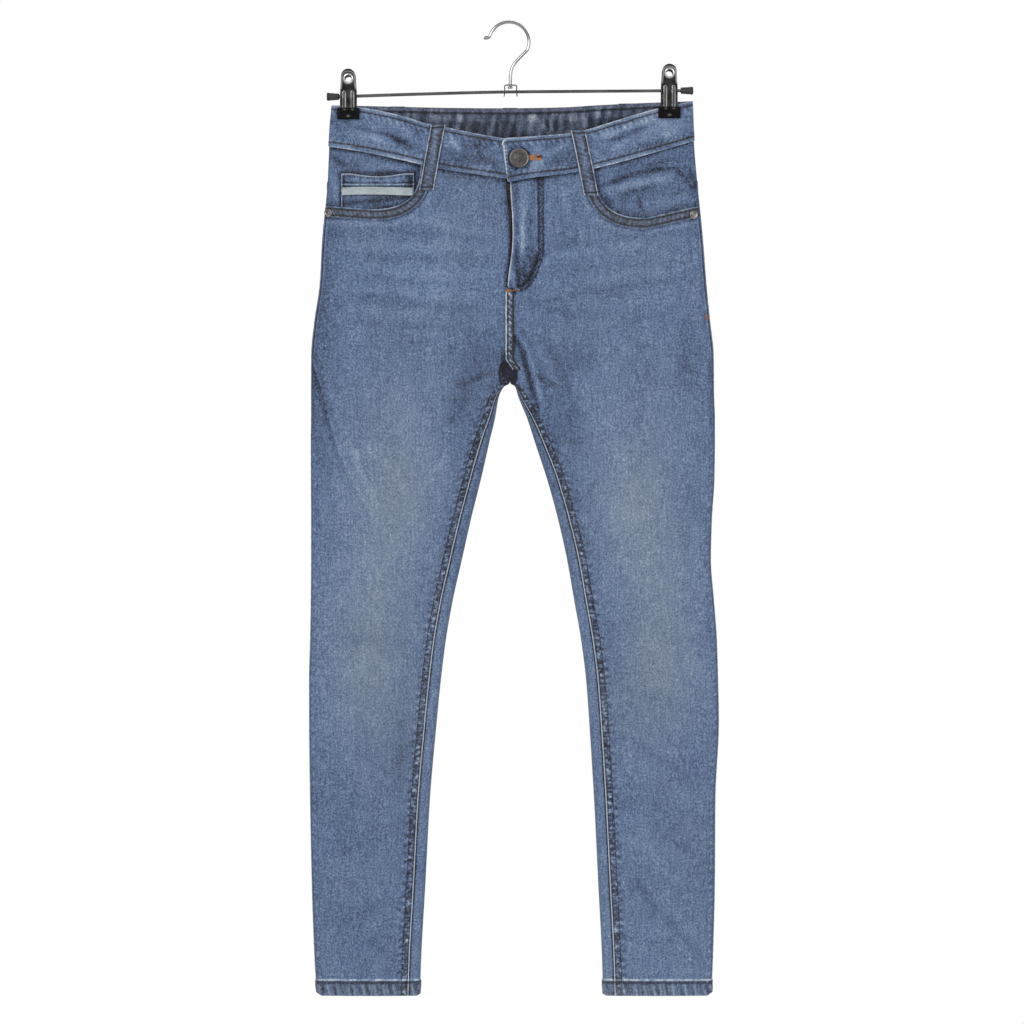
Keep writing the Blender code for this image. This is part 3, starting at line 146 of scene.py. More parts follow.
FOLDS = folds_on(
    FRONT,
    (-196, -345, -150, -470, 11, -2.6),
    (-186, -335, -128, -500, 13, 1.8),
    (-160, -470, -115, -545, 15, -1.6),
    (6, -300, 38, -420, 8, 1.8),
    (22, -310, 56, -440, 10, -1.6),
    (-12, -318, -26, -405, 9, -1.4),
    (-186, -208, -100, -222, 9, -1.2),
    (-184, -236, -70, -246, 10, -1.5),
    (-180, -268, -90, -272, 11, 1.2),
    (190, -212, 96, -232, 9, -1.3),
    (190, -244, 70, -254, 10, -1.5),
    (192, -276, 80, -288, 12, 1.2),
    (200, -300, 168, -352, 10, -2),
    (-196, -622, -110, -640, 16, -1.5),
    (-190, -668, -86, -684, 18, 1.4),
    (200, -604, 96, -628, 16, -1.5),
    (204, -660, 110, -668, 18, 1.6),
    (-192, -812, -104, -858, 16, 1.3),
    (-188, -880, -104, -918, 16, -1.3),
    (200, -820, 108, -866, 17, 1.4),
    (196, -892, 112, -926, 16, -1.3),
) + folds_on(
    BACK,
    (-170, -352, -40, -392, 12, -2.6),
    (-176, -388, -60, -424, 13, 2),
    (174, -348, 42, -388, 12, -2.4),
    (184, -384, 66, -428, 13, 2),
    (-190, -598, -96, -622, 15, -2),
    (-186, -642, -100, -652, 15, 1.8),
    (-188, -690, -100, -700, 14, -1.6),
    (196, -606, 104, -618, 15, -2),
    (190, -648, 104, -664, 15, 1.8),
    (192, -694, 110, -708, 14, -1.5),
    (-190, -840, -106, -872, 16, 1.3),
    (194, -850, 112, -884, 16, 1.3),
)
FOLDS_START_Z, FOLDS_FULL_Z = -150.0, -190.0
CREASES = folds_on(
    FRONT,
    (4, -306, 31, -396, 3, -1),
    (12, -312, 36, -392, 3.4, 0.8),
    (-198, -330, -170, -430, 4, -1.2),
    (-186, -352, -122, -520, 5, 0.5),
    (12, -160, 10, -262, 3.2, 0.7),
    (20.5, -160, 17, -250, 3.4, -0.7),
    (-22, -160, -30, -200, 5, -0.5),
    (44, -158, 52, -205, 5, -0.5),
    (10, -345, 64, -372, 4, -0.6),
    (-10, -346, -60, -366, 4, -0.6),
) + folds_on(
    BACK,
    (-150, -338, -70, -362, 4, -0.9),
    (152, -336, 72, -360, 4, -0.9),
    (-130, -372, -30, -404, 5, 0.8),
    (132, -374, 34, -402, 5, 0.8),
    (-182, -616, -120, -628, 4, -0.8),
    (-170, -664, -112, -674, 4, -0.7),
    (184, -622, 122, -636, 4, -0.8),
    (176, -672, 116, -682, 4, -0.7),
    (-180, -770, -118, -800, 6, -0.6),
    (186, -778, 122, -806, 6, -0.6),
)
# Bands of the fronts worn pale or left dark, in tone: across the hips, down the thighs, over the shins.
# The dark bands down the right inner thigh and beside the left side seam are painted shadow.
WORN_AND_SHADED_BANDS = folds_on(
    FRONT,
    (-122, -192, -8, -213, 5, 0.13),
    (-160, -204, -22, -217, 2.8, -0.12),
    (-188, -208, -150, -216, 4.2, -0.12),
    (-164, -221, -6, -229, 4.6, 0.13),
    (-184, -233, -26, -238, 3.6, -0.14),
    (-156, -246, -2, -255, 4.8, 0.11),
    (-176, -252, -42, -263, 2.6, -0.09),
    (-156, -263, -6, -280, 4.6, 0.09),
    (-180, -269, -10, -291, 3.6, -0.14),
    (-176, -283, -8, -301, 4.6, 0.09),
    (-164, -295, -20, -312, 3, -0.07),
    (-116, -308, -12, -323, 4, 0.08),
    (-30, -306, -66, -434, 11, -0.15),
    (30, -226, 190, -206, 3.2, -0.11),
    (34, -234, 176, -216, 4.8, 0.13),
    (46, -247, 188, -238, 2.8, -0.09),
    (34, -264, 180, -246, 4.8, 0.09),
    (4, -281, 198, -252, 3.4, -0.15),
    (14, -286, 108, -293, 7, -0.09),
    (66, -286, 190, -271, 3.8, 0.08),
    (76, -313, 190, -279, 3.4, -0.08),
    (28, -313, 98, -301, 4.8, 0.13),
    (8, -290, 72, -396, 5, 0.12),
    (34, -306, 74, -408, 4.6, -0.15),
    (170, -292, 178, -372, 8, -0.13),
    (-193, -320, -187, -486, 8, -0.14),
    (-184, -356, -116, -524, 4, 0.05),
    (-114, -356, -90, -430, 15, 0.07),
    (-180, -613, -80, -622, 3.6, -0.07),
    (-176, -632, -104, -652, 9, 0.09),
    (-186, -686, -124, -696, 10, 0.06),
    (-103, -640, -113, -780, 9, -0.09),
    (-168, -720, -100, -736, 10, -0.06),
    (-192, -838, -106, -803, 4.8, -0.10),
    (-186, -850, -150, -864, 5, -0.08),
    (-172, -874, -112, -856, 7, 0.06),
    (-190, -904, -106, -874, 4.8, -0.10),
    (-148, -910, -118, -932, 5, -0.10),
    (50, -368, 80, -452, 6, -0.09),
    (64, -336, 124, -452, 12, 0.07),
    (74, -460, 106, -478, 9, -0.07),
    (108, -470, 124, -512, 9, 0.08),
    (130, -568, 148, -664, 12, 0.06),
    (166, -450, 180, -552, 9, -0.08),
    (198, -584, 202, -646, 6, -0.11),
    (92, -658, 220, -696, 5, -0.11),
    (104, -704, 188, -760, 3.8, -0.14),
    (106, -726, 178, -774, 5.2, 0.09),
    (100, -771, 212, -851, 4.8, -0.09),
    (106, -802, 166, -846, 7, 0.06),
    (114, -849, 204, -947, 4.2, -0.14),
    (106, -934, 156, -954, 7, 0.07),
)
BAND_CREASES = folds_on(
    FRONT,
    (-176, -108, -100, -118, 3.4, 0.5),
    (-168, -100, -84, -124, 2.6, -0.6),
    (-128, -108, -84, -132, 2.4, -0.6),
    (-62, -112, -44, -136, 2.4, 0.5),
    (-40, -116, -22, -142, 2.2, -0.5),
    (28, -136, 62, -118, 2.6, 0.5),
    (30, -144, 70, -134, 2.6, -0.4),
    (82, -124, 150, -98, 2.4, -0.7),
    (84, -116, 160, -90, 3, 0.5),
    (96, -134, 176, -110, 3, -0.4),
) + folds_on(
    BACK,
    (-160, -96, -80, -112, 3, -0.5),
    (160, -94, 84, -114, 3, -0.5),
)
# How much paler or darker the front of the waistband is at each x.
BAND_LEVELS = (
    (-76, 0), (-66, -0.13), (-42, -0.13), (-34, -0.05), (22, -0.03), (34, -0.12), (72, -0.10), (86, 0.14),
)
FACING_CREASES = folds_on(
    FRONT,
    (84, -166, 134, -146, 2.8, -1.2),
    (108, -151, 184, -142, 2.6, -1.2),
    (160, -141, 190, -167, 2.8, -1),
    (82, -172, 172, -150, 4.2, 1),
    (118, -184, 184, -174, 7, 0.4),
    (100, -158, 150, -134, 3.2, 0.6),
    (112, -147, 184, -131, 2.4, -0.6),
    (104, -174, 152, -160, 3, -0.7),
    (128, -168, 132, -194, 2.6, -0.8),
    (178, -136, 186, -176, 4, -0.8),
    (-182, -130, -160, -146, 3, -0.8),
    (-150, -140, -92, -146, 3.4, 0.6),
    (-176, -150, -172, -186, 3.4, 0.7),
    (-160, -180, -104, -184, 4, -1),
)

# ---------------------------------------------------------------- pockets, fly and trim
Mouth = namedtuple("Mouth", "inner_x turn_x top_z low_z side_z")
MOUTHS = {
    RIGHT: Mouth(89.0, 139.0, -138.0, -186.3, -182.6),
    LEFT: Mouth(84.0, 136.0, -140.0, -195.0, -183.2),
}
MOUTH_ROUNDNESS, MOUTH_SIDE_X = 2.7, 188.0
MOUTH_BAND, MOUTH_CUT, MOUTHS_ABOVE_Z = 11.0, 3.4, -240.0
FACING_UNDER, FACING_SPREAD = 1.9, 16.0
FACING_RISE = (-4.0, 1.0)
COIN_CLOTH, TAPE_CLOTH = 1.0, 0.9
COIN_POCKET = {"x": (-168.6, -96.0), "top": -150.0, "low": -198.0}
COIN_TAPE = {"x": (-168.0, -97.0), "top": -163.7, "low": -171.5}
FLY_LOW_Z, FLY_CLOSES = -266.0, 8.0
FLY_RIGHT_EDGE, FLY_LEFT_EDGE = 3.2, 0.8
ZIP_CHAIN = {"x": (-3.8, 1.4), "under": 1.6, "top": -169.0, "low": -262.0, "pitch": 1.5}
LAP_END_TOP, LAP_END_LOW, LAP_CORNER = -8.2, -2.2, 6.5
LAP_LIFT, LAP_EASE = 2.4, (26.0, 62.0)
UNDERLAP_END, UNDERLAP_SINK = 22.0, -0.3
Loop = namedtuple("Loop", "name face top_x low_x low_z")
LOOPS = (
    Loop("belt_loop_front_right", FRONT, -71.5, -83.3, -167.5),
    Loop("belt_loop_front_left", FRONT, 67.8, 81.0, -173.0),
    Loop("belt_loop_back_right", BACK, -112.0, -116.0, -144.0),
    Loop("belt_loop_back_left", BACK, 116.0, 120.0, -142.0),
    Loop("belt_loop_back_centre", BACK, 0.0, 0.0, -146.0),
)
LOOP_WIDTH, LOOP_CLOTH, LOOP_BULGE = 14.4, 1.6, 1.2
BACK_POCKET = {"inner": 40.0, "outer": 158.0, "top": -214.0, "side": -314.0, "point": -332.0, "taper": 5.0}
BUTTON = {"x": 9.1, "z": -136.2, "radius": 10.0, "height": 3.4}
BUTTONHOLE = {"x": (17.5, 31.5), "z": -135.4, "half": 2.6}
RIVETS = {RIGHT: (-181.2, -189.9), LEFT: (183.4, -191.9)}
RIVET_RADIUS, RIVET_HEIGHT = 4.4, 1.5
CENTRE_STRIP = {"x": -4.6, "top": -268.5, "low": -346.5, "out": 0.7}
LEG_MIDDLES = {RIGHT: 112.0, LEFT: 124.0}
CHAIN_WIDTH = 6.8
# The fly's edge seen from the front: height, the left edge's x, and the gap to the right front.
FLY_EDGES = (
    (-155, -0.2, 3.4), (-175, 0.8, 3.6), (-195, 2.2, 3.0), (-212, 2.6, 2.6),
    (-228, 1.8, 2.0), (-242, 0.0, 1.4), (-256, -1.9, 1.0), (-268, -2.6, 0.9),
)
# The fly's curved double row of stitches, and the middle between its lines.
J_LINES = (
    ((28, -157), (28.4, -190), (28.2, -228), (23.2, -245.5), (16.6, -258.4), (9.4, -266.4), (0.6, -268.2)),
    ((33.2, -156.4), (33.4, -190), (33, -231), (27.8, -247.4), (20.6, -261), (11, -269)),
)
J_MIDDLE = (
    (30.4, -150), (30.8, -172), (30.9, -192), (30.6, -228), (26.6, -244), (19, -258.6), (10.6, -266),
    (0.6, -268.2),
)
# Sharp folds: the line of each, its ridge's painted highlight, how dark the painted shade in the hollow
# beside it is and how wide that hollow is, and its height.
Drag = namedtuple("Drag", "side ridge dark width height points")
DRAGS = (
    Drag(
        RIGHT, 0.55, 0.34, 9.0, 0.8,
        ((-198.5, -336), (-190, -361.4), (-183.2, -387), (-174, -417.8), (-160.4, -451.4), (-130, -506)),
    ),
    Drag(
        LEFT, 0.14, 0.42, 11.0, 0.7,
        ((3.5, -308.4), (17, -328.4), (24, -351.4), (28.5, -373.4), (32, -395.4), (39, -424)),
    ),
)

# ---------------------------------------------------------------- grids and threads
# Distances from an edge at which a grid has a line: close together where seams and folds need it.
NEAR_SEAM = (0, 0.3, 0.7, 1.2, 1.9, 2.7, 3.6, 4.6, 5.6, 6.6, 7.6, 8.6, 9.4, 10.2, 11.4, 13.4)
NEAR_EDGE = (0, 0.4, 0.9, 1.6, 2.4, 3.3, 4.3, 5.4, 6.8, 8.6, 11)
OVER_HEM = np.array([
    18.2, 17.3, 16.6, 16.1, 15.6, 14.9, 13.9, 12.6, 11, 9.4, 7.8, 6.2, 4.6, 3.2, 2, 1.2, 0.6, 0.25, 0,
])
DOWN_BAND = np.array([
    0, 0.3, 0.8, 1.6, 2.6, 3.4, 4.1, 4.8, 5.6, 7, 9, 11.5, 14, 17, 20, 23, 26, 29, 32, 33.8, 34.8, 35.6, 36.4,
    37.4, 38.3, 39, 39.6, 40.2,
])
BAND_LONG = DOWN_BAND[-1]
ACROSS_MOUTH = np.array([0, 0, 0.25, 0.7, 1.3, 2.1, 3, 4, 5, 6, 7, 8, 9, 9.8, 10.4, 10.8, MOUTH_BAND])
ACROSS_STRIP = np.array([0, 0.25, 0.6, 1.1, 1.8, 2.5, 3.2, 3.9, 4.6, 5.3, 6, 6.7, 7.3, 7.8, 8.2, 8.5])
LAP_REACHES = np.array([0, 0.3, 0.55, 0.75, 0.88, 0.95, 0.985, 1])
ROW_STEP, LINE_STEP = 2.3, 1.6
FAR_OFF, MIDDLE_ROW = 99.0, 12
FRONT_COLUMNS, BACK_COLUMNS = 82, 54
# How far from its edge each row of stitches runs.
INSEAM_ROWS, MOUTH_ROWS, POCKET_ROWS = (1.7, 7.4), (2.3, 8.7), (1.9, 7.9)
YOKE_ROWS, SEAT_ROWS = (1.7, 6.5), (1.9, 6.6)
BAND_TOP_ROW, BAND_LOW_ROW, BAND_INSIDE_ROW = 4.1, 35.6, 4.9
STITCH = {"length": 2.9, "gap": 0.85, "radius": 0.44}
HEM_STITCH = {"length": 4.4, "gap": 1.3, "radius": 0.62}
# A thread's rings: where each is along it, its width, and its height over the cloth, in radii.
THREAD_SHIFTS = np.array([0.0, 0.2, 0.5, 0.8, 1.0])
THREAD_WIDTHS = np.array([0.35, 0.85, 1.0, 0.85, 0.35])
THREAD_HEIGHTS = np.array([-0.55, 0.15, 0.35, 0.15, -0.55])
THREAD_SIDES = 6

# ---------------------------------------------------------------- hanger sizes
WIRE = 1.6
HOOK_CENTRE_X, HOOK_RADIUS, HOOK_START, HOOK_END = -1.0, 20.0, 163.0, -24.0
# The bead on the hook's tip and the head at its foot: x and z from there, and the wire's radius in wires.
HOOK_TIP = ((-5.6, -1.0, 0.9), (-5.2, -1.2, 1.32), (-4.4, -1.5, 1.36), (-3.2, -1.7, 1.12), (-1.2, -1.3, 1.0))
HOOK_HEAD = ((0.0, -0.3, 1.65), (0.0, -1.2, 1.7), (0.0, -1.7, 1.4))
HOOK_SHANK = ((13.3, -30.5), (8.8, -35.2), (4.2, -40.4), (1.4, -46.4), (0.5, -52.5), (0.3, -63.4))
ROD_POINTS = ((-178.0, -73.4), (-90.0, -70.5), (0.0, -68.3), (90.0, -67.6), (178.0, -67.0))
SADDLE = {"x": (-6.3, 7.7), "top": -61.0, "low": -72.6, "depth": 6.4, "sheet": 1.2}
KNOB = {"length": 12.6, "small": 3.2, "large": 4.1, "bore": 8.0, "ridges": 6, "pitch": 1.3}
ClipPlace = namedtuple("ClipPlace", "x top jaw")
CLIPS = {RIGHT: ClipPlace(-161.5, 26.8, 23.4), LEFT: ClipPlace(159.2, 26.0, 28.0)}
PLATE = {"sheet": 1.0, "half_top": 7.2, "half_low": 8.3, "lean": 3.4, "stand": 5.6}
PLATE_HOLE = {"up": 17.0, "radius": 3.4}
RIB = {"up": 2.0, "out": 0.9, "half": 1.35, "across": 0.5}
EAR = {"sheet": 1.0, "radius": 4.2, "reach": 8.2}
PAD = {"width": 22.3, "height": 11.6, "depth": 3.4, "stand": 3.1, "tongue": 6.0}
COIL = {"radius": 2.9, "half": 4.6, "wire": 0.55, "turns": 7.5}

# ---------------------------------------------------------------- view and light
GARMENT_SPAN = 1.024  # metres across the picture at the cloth
CAMERA_AWAY, CAMERA_LENS_SENSOR = 3.7, 36.0
PICTURE_CENTRE = (0.002, -0.4884)
FLOOR_Z, FLOOR_HALF, FLOOR_COLOUR = -1.25, 1.5, (0.86, 0.86, 0.87, 1.0)
Light = namedtuple("Light", "name place aim size power")
LIGHTS = (
    Light("key", (-1.5, -2.6, 0.9), (0.0, 0.0, -0.4), 1.6, 36.0),
    Light("fill", (1.9, -2.4, -0.2), (0.0, 0.0, -0.5), 1.8, 17.0),
    Light("behind", (0.6, 2.6, 0.8), (0.0, 0.0, -0.5), 1.8, 30.0),
)
WORLD_LIGHT, WORLD_SIDES, WORLD_SEEN = 0.62, 0.10, 1.0


# ---------------------------------------------------------------- curves and tables
def smooth_curve(at, stations, values):
    """Reads a curve that runs smoothly through the values and never swings past them."""
    order = np.argsort(stations)
    xs, ys = np.asarray(stations, float)[order], np.asarray(values, float)[order]
    steps, rises = np.diff(xs), np.diff(ys)
    slopes = rises / steps
    before, after = slopes[:-1], slopes[1:]
    same_way = before * after > 0
    safe = np.where(same_way, before + after, 1.0)
    inner = np.where(same_way, 2 * before * after / safe, 0.0)
    tangents = np.concatenate([slopes[:1], inner, slopes[-1:]])
    at = np.clip(np.asarray(at, float), xs[0], xs[-1])
    i = np.clip(np.searchsorted(xs, at) - 1, 0, len(xs) - 2)
    t = (at - xs[i]) / steps[i]
    start = (1 + 2 * t) * (1 - t) ** 2 * ys[i] + t * (1 - t) ** 2 * steps[i] * tangents[i]
    end = t * t * (3 - 2 * t) * ys[i + 1] - t * t * (1 - t) * steps[i] * tangents[i + 1]
    return start + end


DENSE_Z = np.arange(HEM_Z - 1.0, -74.0, 0.25)
DENSE_COLUMNS = {}


def column(name, z):
    """One of the sections' sizes at any height, read from a dense copy of its smooth curve."""
    if name not in DENSE_COLUMNS:
        stations = [section.z for section in SECTIONS]
        values = [getattr(section, name) for section in SECTIONS]
        DENSE_COLUMNS[name] = smooth_curve(DENSE_Z, stations, values)
    return np.interp(z, DENSE_Z, DENSE_COLUMNS[name])


def smooth_step(value, low, high):
    t = np.clip((np.asarray(value, float) - low) / (high - low), 0.0, 1.0)
    return t * t * (3 - 2 * t)


def window(value, low, high, ease):
    """1 between low and high, easing to 0 on both sides of them."""
    return smooth_step(value, low - ease, low) * (1.0 - smooth_step(value, high, high + ease))


def bump_at(value, middle, half):
    """A soft bump of height 1."""
    return np.exp(-(((value - middle) / half) ** 2))


def ripple(at, pitch, seed):
    """An uneven wave between -1 and 1."""
    swing = 1.2 * np.sin(at / (pitch * 0.83) + seed) + 0.9 * np.sin(at / (pitch * 2.1) + 2.3 * seed)
    return np.sin(2 * np.pi * at / pitch + swing)


def patchy(u, v, seed):
    """Smooth noise between 0 and 1, one patch for each unit of u and v."""
    lattice = np.random.RandomState(seed).rand(64, 64)
    iu, iv = np.floor(u).astype(int), np.floor(v).astype(int)
    fu, fv = smooth_step(u - iu, 0.0, 1.0), smooth_step(v - iv, 0.0, 1.0)
    a, b = lattice[iu % 64, iv % 64], lattice[(iu + 1) % 64, iv % 64]
    c, d = lattice[iu % 64, (iv + 1) % 64], lattice[(iu + 1) % 64, (iv + 1) % 64]
    return (a * (1 - fu) + b * fu) * (1 - fv) + (c * (1 - fu) + d * fu) * fv


def mottled(u, v, seed):
    """The same noise, centred on 0."""
    return patchy(u, v, seed) - 0.5


def waist_line(side, face, x, which):
    """The height of the waistband's top edge or of the seam under it, at x from the centre."""
    table = (FRONT_WAIST if face == FRONT else BACK_WAIST)[side]
    return smooth_curve(np.abs(x), [p.x for p in table], [getattr(p, which) for p in table])


# ---------------------------------------------------------------- the tubes of cloth
def folds_at(table, face, x, z, taper=1.5):
    """How far the folds of a table stand out at a place on the front or the back."""
    total = np.zeros(np.broadcast(face, x, z).shape)
    for fold in table:
        run = np.array([fold.to_x - fold.x, fold.to_z - fold.z])
        length = np.hypot(*run)
        run /= length
        along = ((x - fold.x) * run[0] + (z - fold.z) * run[1]) / length
        across = (x - fold.x) * run[1] - (z - fold.z) * run[0]
        fade = np.sin(np.pi * np.clip(along, 0.0, 1.0)) ** taper
        shape = fold.depth * fade * np.exp(-((across / fold.width) ** 2))
        total = total + np.where(face == fold.face, shape, 0.0)
    return total


def joined(face, t, z):
    """0 where the legs are apart, 1 where the halves are one torso, turning along the crotch curve."""
    rise = np.where(face == FRONT, CROTCH_RISE[FRONT], CROTCH_RISE[BACK])
    up = np.clip((z - CROTCH_Z) / rise, 0.0, 1.0)
    curve = np.sqrt(up * (2.0 - up))
    gentle = smooth_step(z - CROTCH_Z, *LEGS_PART)
    near = smooth_step(t, *CROTCH_SPREAD)
    return near * curve + (1.0 - near) * gentle


def tube(side, share, z, folded=True):
    """Points on the outer face of one half, from the share round it and the height."""
    share, z = np.broadcast_arrays(np.asarray(share, float), np.asarray(z, float))
    turn = np.mod(share, 2.0)
    face = np.where(turn <= 1.0, FRONT, BACK)
    t = np.where(turn <= 1.0, turn, 2.0 - turn)
    name = SIDE_NAMES[side]
    outer, inner, fold = column(name + "_out", z), column(name + "_in", z), column("fold", z)
    width = outer - inner
    bow = np.where(face == FRONT, column("front", z), column("back", z))
    centre = np.where(face == FRONT, column("centre_front", z), column("centre_back", z))

    outer_turn = np.clip(t / FOLD_SHARE, 0.0, 1.0) * np.pi / 2
    inner_turn = np.clip((1.0 - t) / FOLD_SHARE, 0.0, 1.0) * np.pi / 2
    outer_in, outer_deep = fold * (1 - np.cos(outer_turn)), fold * np.sin(outer_turn)

    m = np.clip((t - FOLD_SHARE) / (1 - 2 * FOLD_SHARE), 0.0, 1.0)
    swell = (1 - (2 * m - 1) ** 2) ** 1.5
    leg_in = outer_in + m * (width - 2 * fold) + fold * np.cos(inner_turn)
    leg_deep = outer_deep * np.sin(inner_turn) + bow * swell

    m = np.clip((t - FOLD_SHARE) / (1 - FOLD_SHARE), 0.0, 1.0)
    swell_torso = (1 - (2 * m - 1) ** 2) ** 1.5
    held = column("held", z)
    open_part = np.sin(np.pi / 2 * np.clip((m - held) / (1 - held), 0.0, 1.0)) ** 2
    torso_in = outer_in + m * (width - fold)
    torso_deep = outer_deep + (centre - fold) * open_part + bow * swell_torso

    w = joined(face, t, z)
    x = side * (outer - (1 - w) * leg_in - w * torso_in)
    y = face * ((1 - w) * leg_deep + w * torso_deep)
    if folded:
        edge = smooth_step(t, 0, 0.16) * smooth_step(1 - t, 0, 0.10)
        large = folds_at(FOLDS, face, x, z) * smooth_step(-z, -FOLDS_START_Z, -FOLDS_FULL_Z)
        y = y + face * edge * large
    return np.stack([x, y, z], axis=-1)


def slope(side, share, z):
    """How the tube's points move with the share, read without crossing the centre."""
    h = 1e-4
    turn = np.mod(share, 2.0)
    low = np.where(turn > 1.0, np.maximum(turn - h, 1.0 + NOT_QUITE / 10), turn - h)
    high = np.where(turn <= 1.0, np.minimum(turn + h, 1.0 - NOT_QUITE / 10), turn + h)
    rise = tube(side, high, z) - tube(side, low, z)
    return rise / (high - low)[..., None]


def normals(side, share, z):
    """Unit vectors out of the cloth. On the centre seams they stay in the centre plane."""
    share, z = np.broadcast_arrays(np.asarray(share, float), np.asarray(z, float))
    along = slope(side, share, z)
    h = 0.4
    up = (tube(side, share, z + h) - tube(side, share, z - h)) / (2 * h)
    out = -side * np.cross(along, up)
    near = smooth_step(np.abs(1 - np.mod(share, 2)), 0, 0.05)
    turned = np.where(z >= CROTCH_Z, near, 1.0)
    out = out * np.stack([turned, np.ones_like(turned), np.ones_like(turned)], axis=-1)
    return out / np.linalg.norm(out, axis=-1, keepdims=True)


def surface(side, share, z):
    """Points on the tube and the unit vectors out of it."""
    return tube(side, share, z), normals(side, share, z)


def stood(points, out, height):
    """Points moved out of the cloth by so many millimetres, or under it below 0."""
    return points + out * np.asarray(height, float)[..., None]


def share_at(side, face, x, z):
    """The share round the tube at which it passes x, on the front or the back."""
    x, z = np.broadcast_arrays(np.asarray(x, float), np.asarray(z, float))
    low, high = np.zeros(x.shape), np.ones(x.shape)
    for _ in range(17):
        middle = (low + high) / 2
        share = middle if face == FRONT else 2.0 - middle
        inside = np.abs(tube(side, share, z, folded=False)[..., 0]) > np.abs(x)
        low, high = np.where(inside, middle, low), np.where(inside, high, middle)
    share = np.minimum((low + high) / 2, 1.0 - NOT_QUITE)
    return share if face == FRONT else 2.0 - share


def lay(face, x, z):
    """Points on the cloth at x and z, on either half, and the unit vectors out of it."""
    x, z = np.broadcast_arrays(np.asarray(x, float), np.asarray(z, float))
    points, out = np.zeros((*x.shape, 3)), np.zeros((*x.shape, 3))
    for side, here in ((RIGHT, x < 0), (LEFT, x >= 0)):
        if here.any():
            near = side * np.maximum(side * x[here], CENTRE_GAP)
            points[here], out[here] = surface(side, share_at(side, face, near, z[here]), z[here])
    middle = np.abs(x) < 1.0
    points[..., 0] = np.where(middle, x, points[..., 0])
    out[..., 0] = np.where(middle, 0.0, out[..., 0])
    return points, out


def crease_at(face, x, z):
    """The finer creases and a slight overall unevenness."""
    seed = 11 if np.all(face == FRONT) else 12
    coarse, fine = mottled(x / 26, z / 34, seed), mottled(x / 8, z / 11, seed + 5)
    return folds_at(CREASES, face, x, z) + (0.5 * coarse + 0.22 * fine)


def side_seam(z):
    return FOLD_SHARE * SIDE_SEAM_FORWARD / (column("fold", z) * np.pi / 2)


def inseam(side, z):
    """The share of the inseam, which leaves the inner fold below the crotch and turns to the front."""
    name = SIDE_NAMES[side]
    fold = column("fold", z)
    flat = column(name + "_out", z) - column(name + "_in", z) - 2 * fold
    forward = column("inseam", z)
    on_turn = 1 - FOLD_SHARE * np.arccos(np.clip(1 - forward / fold, -1.0, 1.0)) / (np.pi / 2)
    on_flat = 1 - FOLD_SHARE - (1 - 2 * FOLD_SHARE) * (forward - fold) / flat
    return np.where(forward < fold, on_turn, on_flat)


def fly_edge(side, z):
    edge = FLY_RIGHT_EDGE if side == RIGHT else FLY_LEFT_EDGE
    return edge * smooth_step(z, FLY_LOW_Z - FLY_CLOSES, FLY_LOW_Z + FLY_CLOSES / 2)


def front_inner(side, z):
    """The inner edge of a front: the fly's edge, the centre seam, then the inseam."""
    torso = share_at(side, FRONT, CENTRE_GAP + fly_edge(side, z), z)
    beside = np.where(z > FLY_LOW_Z - FLY_CLOSES, torso, 1.0 - NOT_QUITE)
    return np.where(z > CROTCH_Z, beside, np.minimum(inseam(side, z), 1.0 - NOT_QUITE))


def back_inner(side, z):
    """The inner edge of a back: the centre seam, then the inseam."""
    return np.where(z >= CROTCH_Z, 1.0 + NOT_QUITE, np.minimum(inseam(side, z), 1.0))


def nominal_x(side, share):
    return tube(side, share, WAIST_Z, folded=False)[..., 0]


def yoke_line(x):
    return YOKE_CENTRE_Z + (YOKE_SIDE_Z - YOKE_CENTRE_Z) * np.clip(np.abs(x) / YOKE_HALF, 0.0, 1.0)


# ---------------------------------------------------------------- materials
def material(name):
    made = bpy.data.materials.new(name)
    made.use_nodes = True
    return made, made.node_tree, made.node_tree.nodes["Principled BSDF"]


def add(tree, kind, settings=None, **sockets):
    """A shader node with its settings, and its inputs by name or as i0, i1 and so on."""
    node = tree.nodes.new("ShaderNode" + kind)
    for key, value in (settings or {}).items():
        setattr(node, key, value)
    return fill(tree, node, **sockets)


def fill(tree, node, **sockets):
    """Sets a node's inputs to values or links them to other nodes' outputs."""
    for key, value in sockets.items():
        socket = node.inputs[int(key[1:]) if key[1:].isdigit() else key.replace("_", " ")]
        if isinstance(value, bpy.types.NodeSocket):
            tree.links.new(value, socket)
        else:
            socket.default_value = value
    return node


def bumped(tree, height, strength, distance=0.0002):
    return add(tree, "Bump", None, Strength=strength, Distance=distance, Height=height).outputs[0]


def calc(tree, operation, a, b=0.0, c=0.0):
    return add(tree, "Math", {"operation": operation}, i0=a, i1=b, i2=c).outputs[0]


def mixed(tree, factor, a, b):
    return add(tree, "Mix", {"data_type": "RGBA"}, i0=factor, i6=a, i7=b).outputs[2]


def stretched(tree, scale):
    """Object coordinates stretched by a number for each axis."""
    where = add(tree, "TexCoord").outputs["Object"]
    return add(tree, "Mapping", None, Vector=where, Scale=scale).outputs[0]


def noise(tree, scale, detail=2.0, roughness=0.5):
    return add(
        tree, "TexNoise", None, Vector=stretched(tree, scale), Scale=1.0, Detail=detail, Roughness=roughness
    ).outputs[0]


def ramp(tree, value, stops):
    node = add(tree, "ValToRGB", None, Fac=value)
    elements = node.color_ramp.elements
    while len(elements) < len(stops):
        elements.new(0.5)
    for element, (position, colour) in zip(elements, stops):
        element.position = position
        element.color = (*colour, 1.0)
    return node.outputs[0]


def attribute(tree, name):
    return add(tree, "Attribute", {"attribute_name": name}).outputs["Fac"]


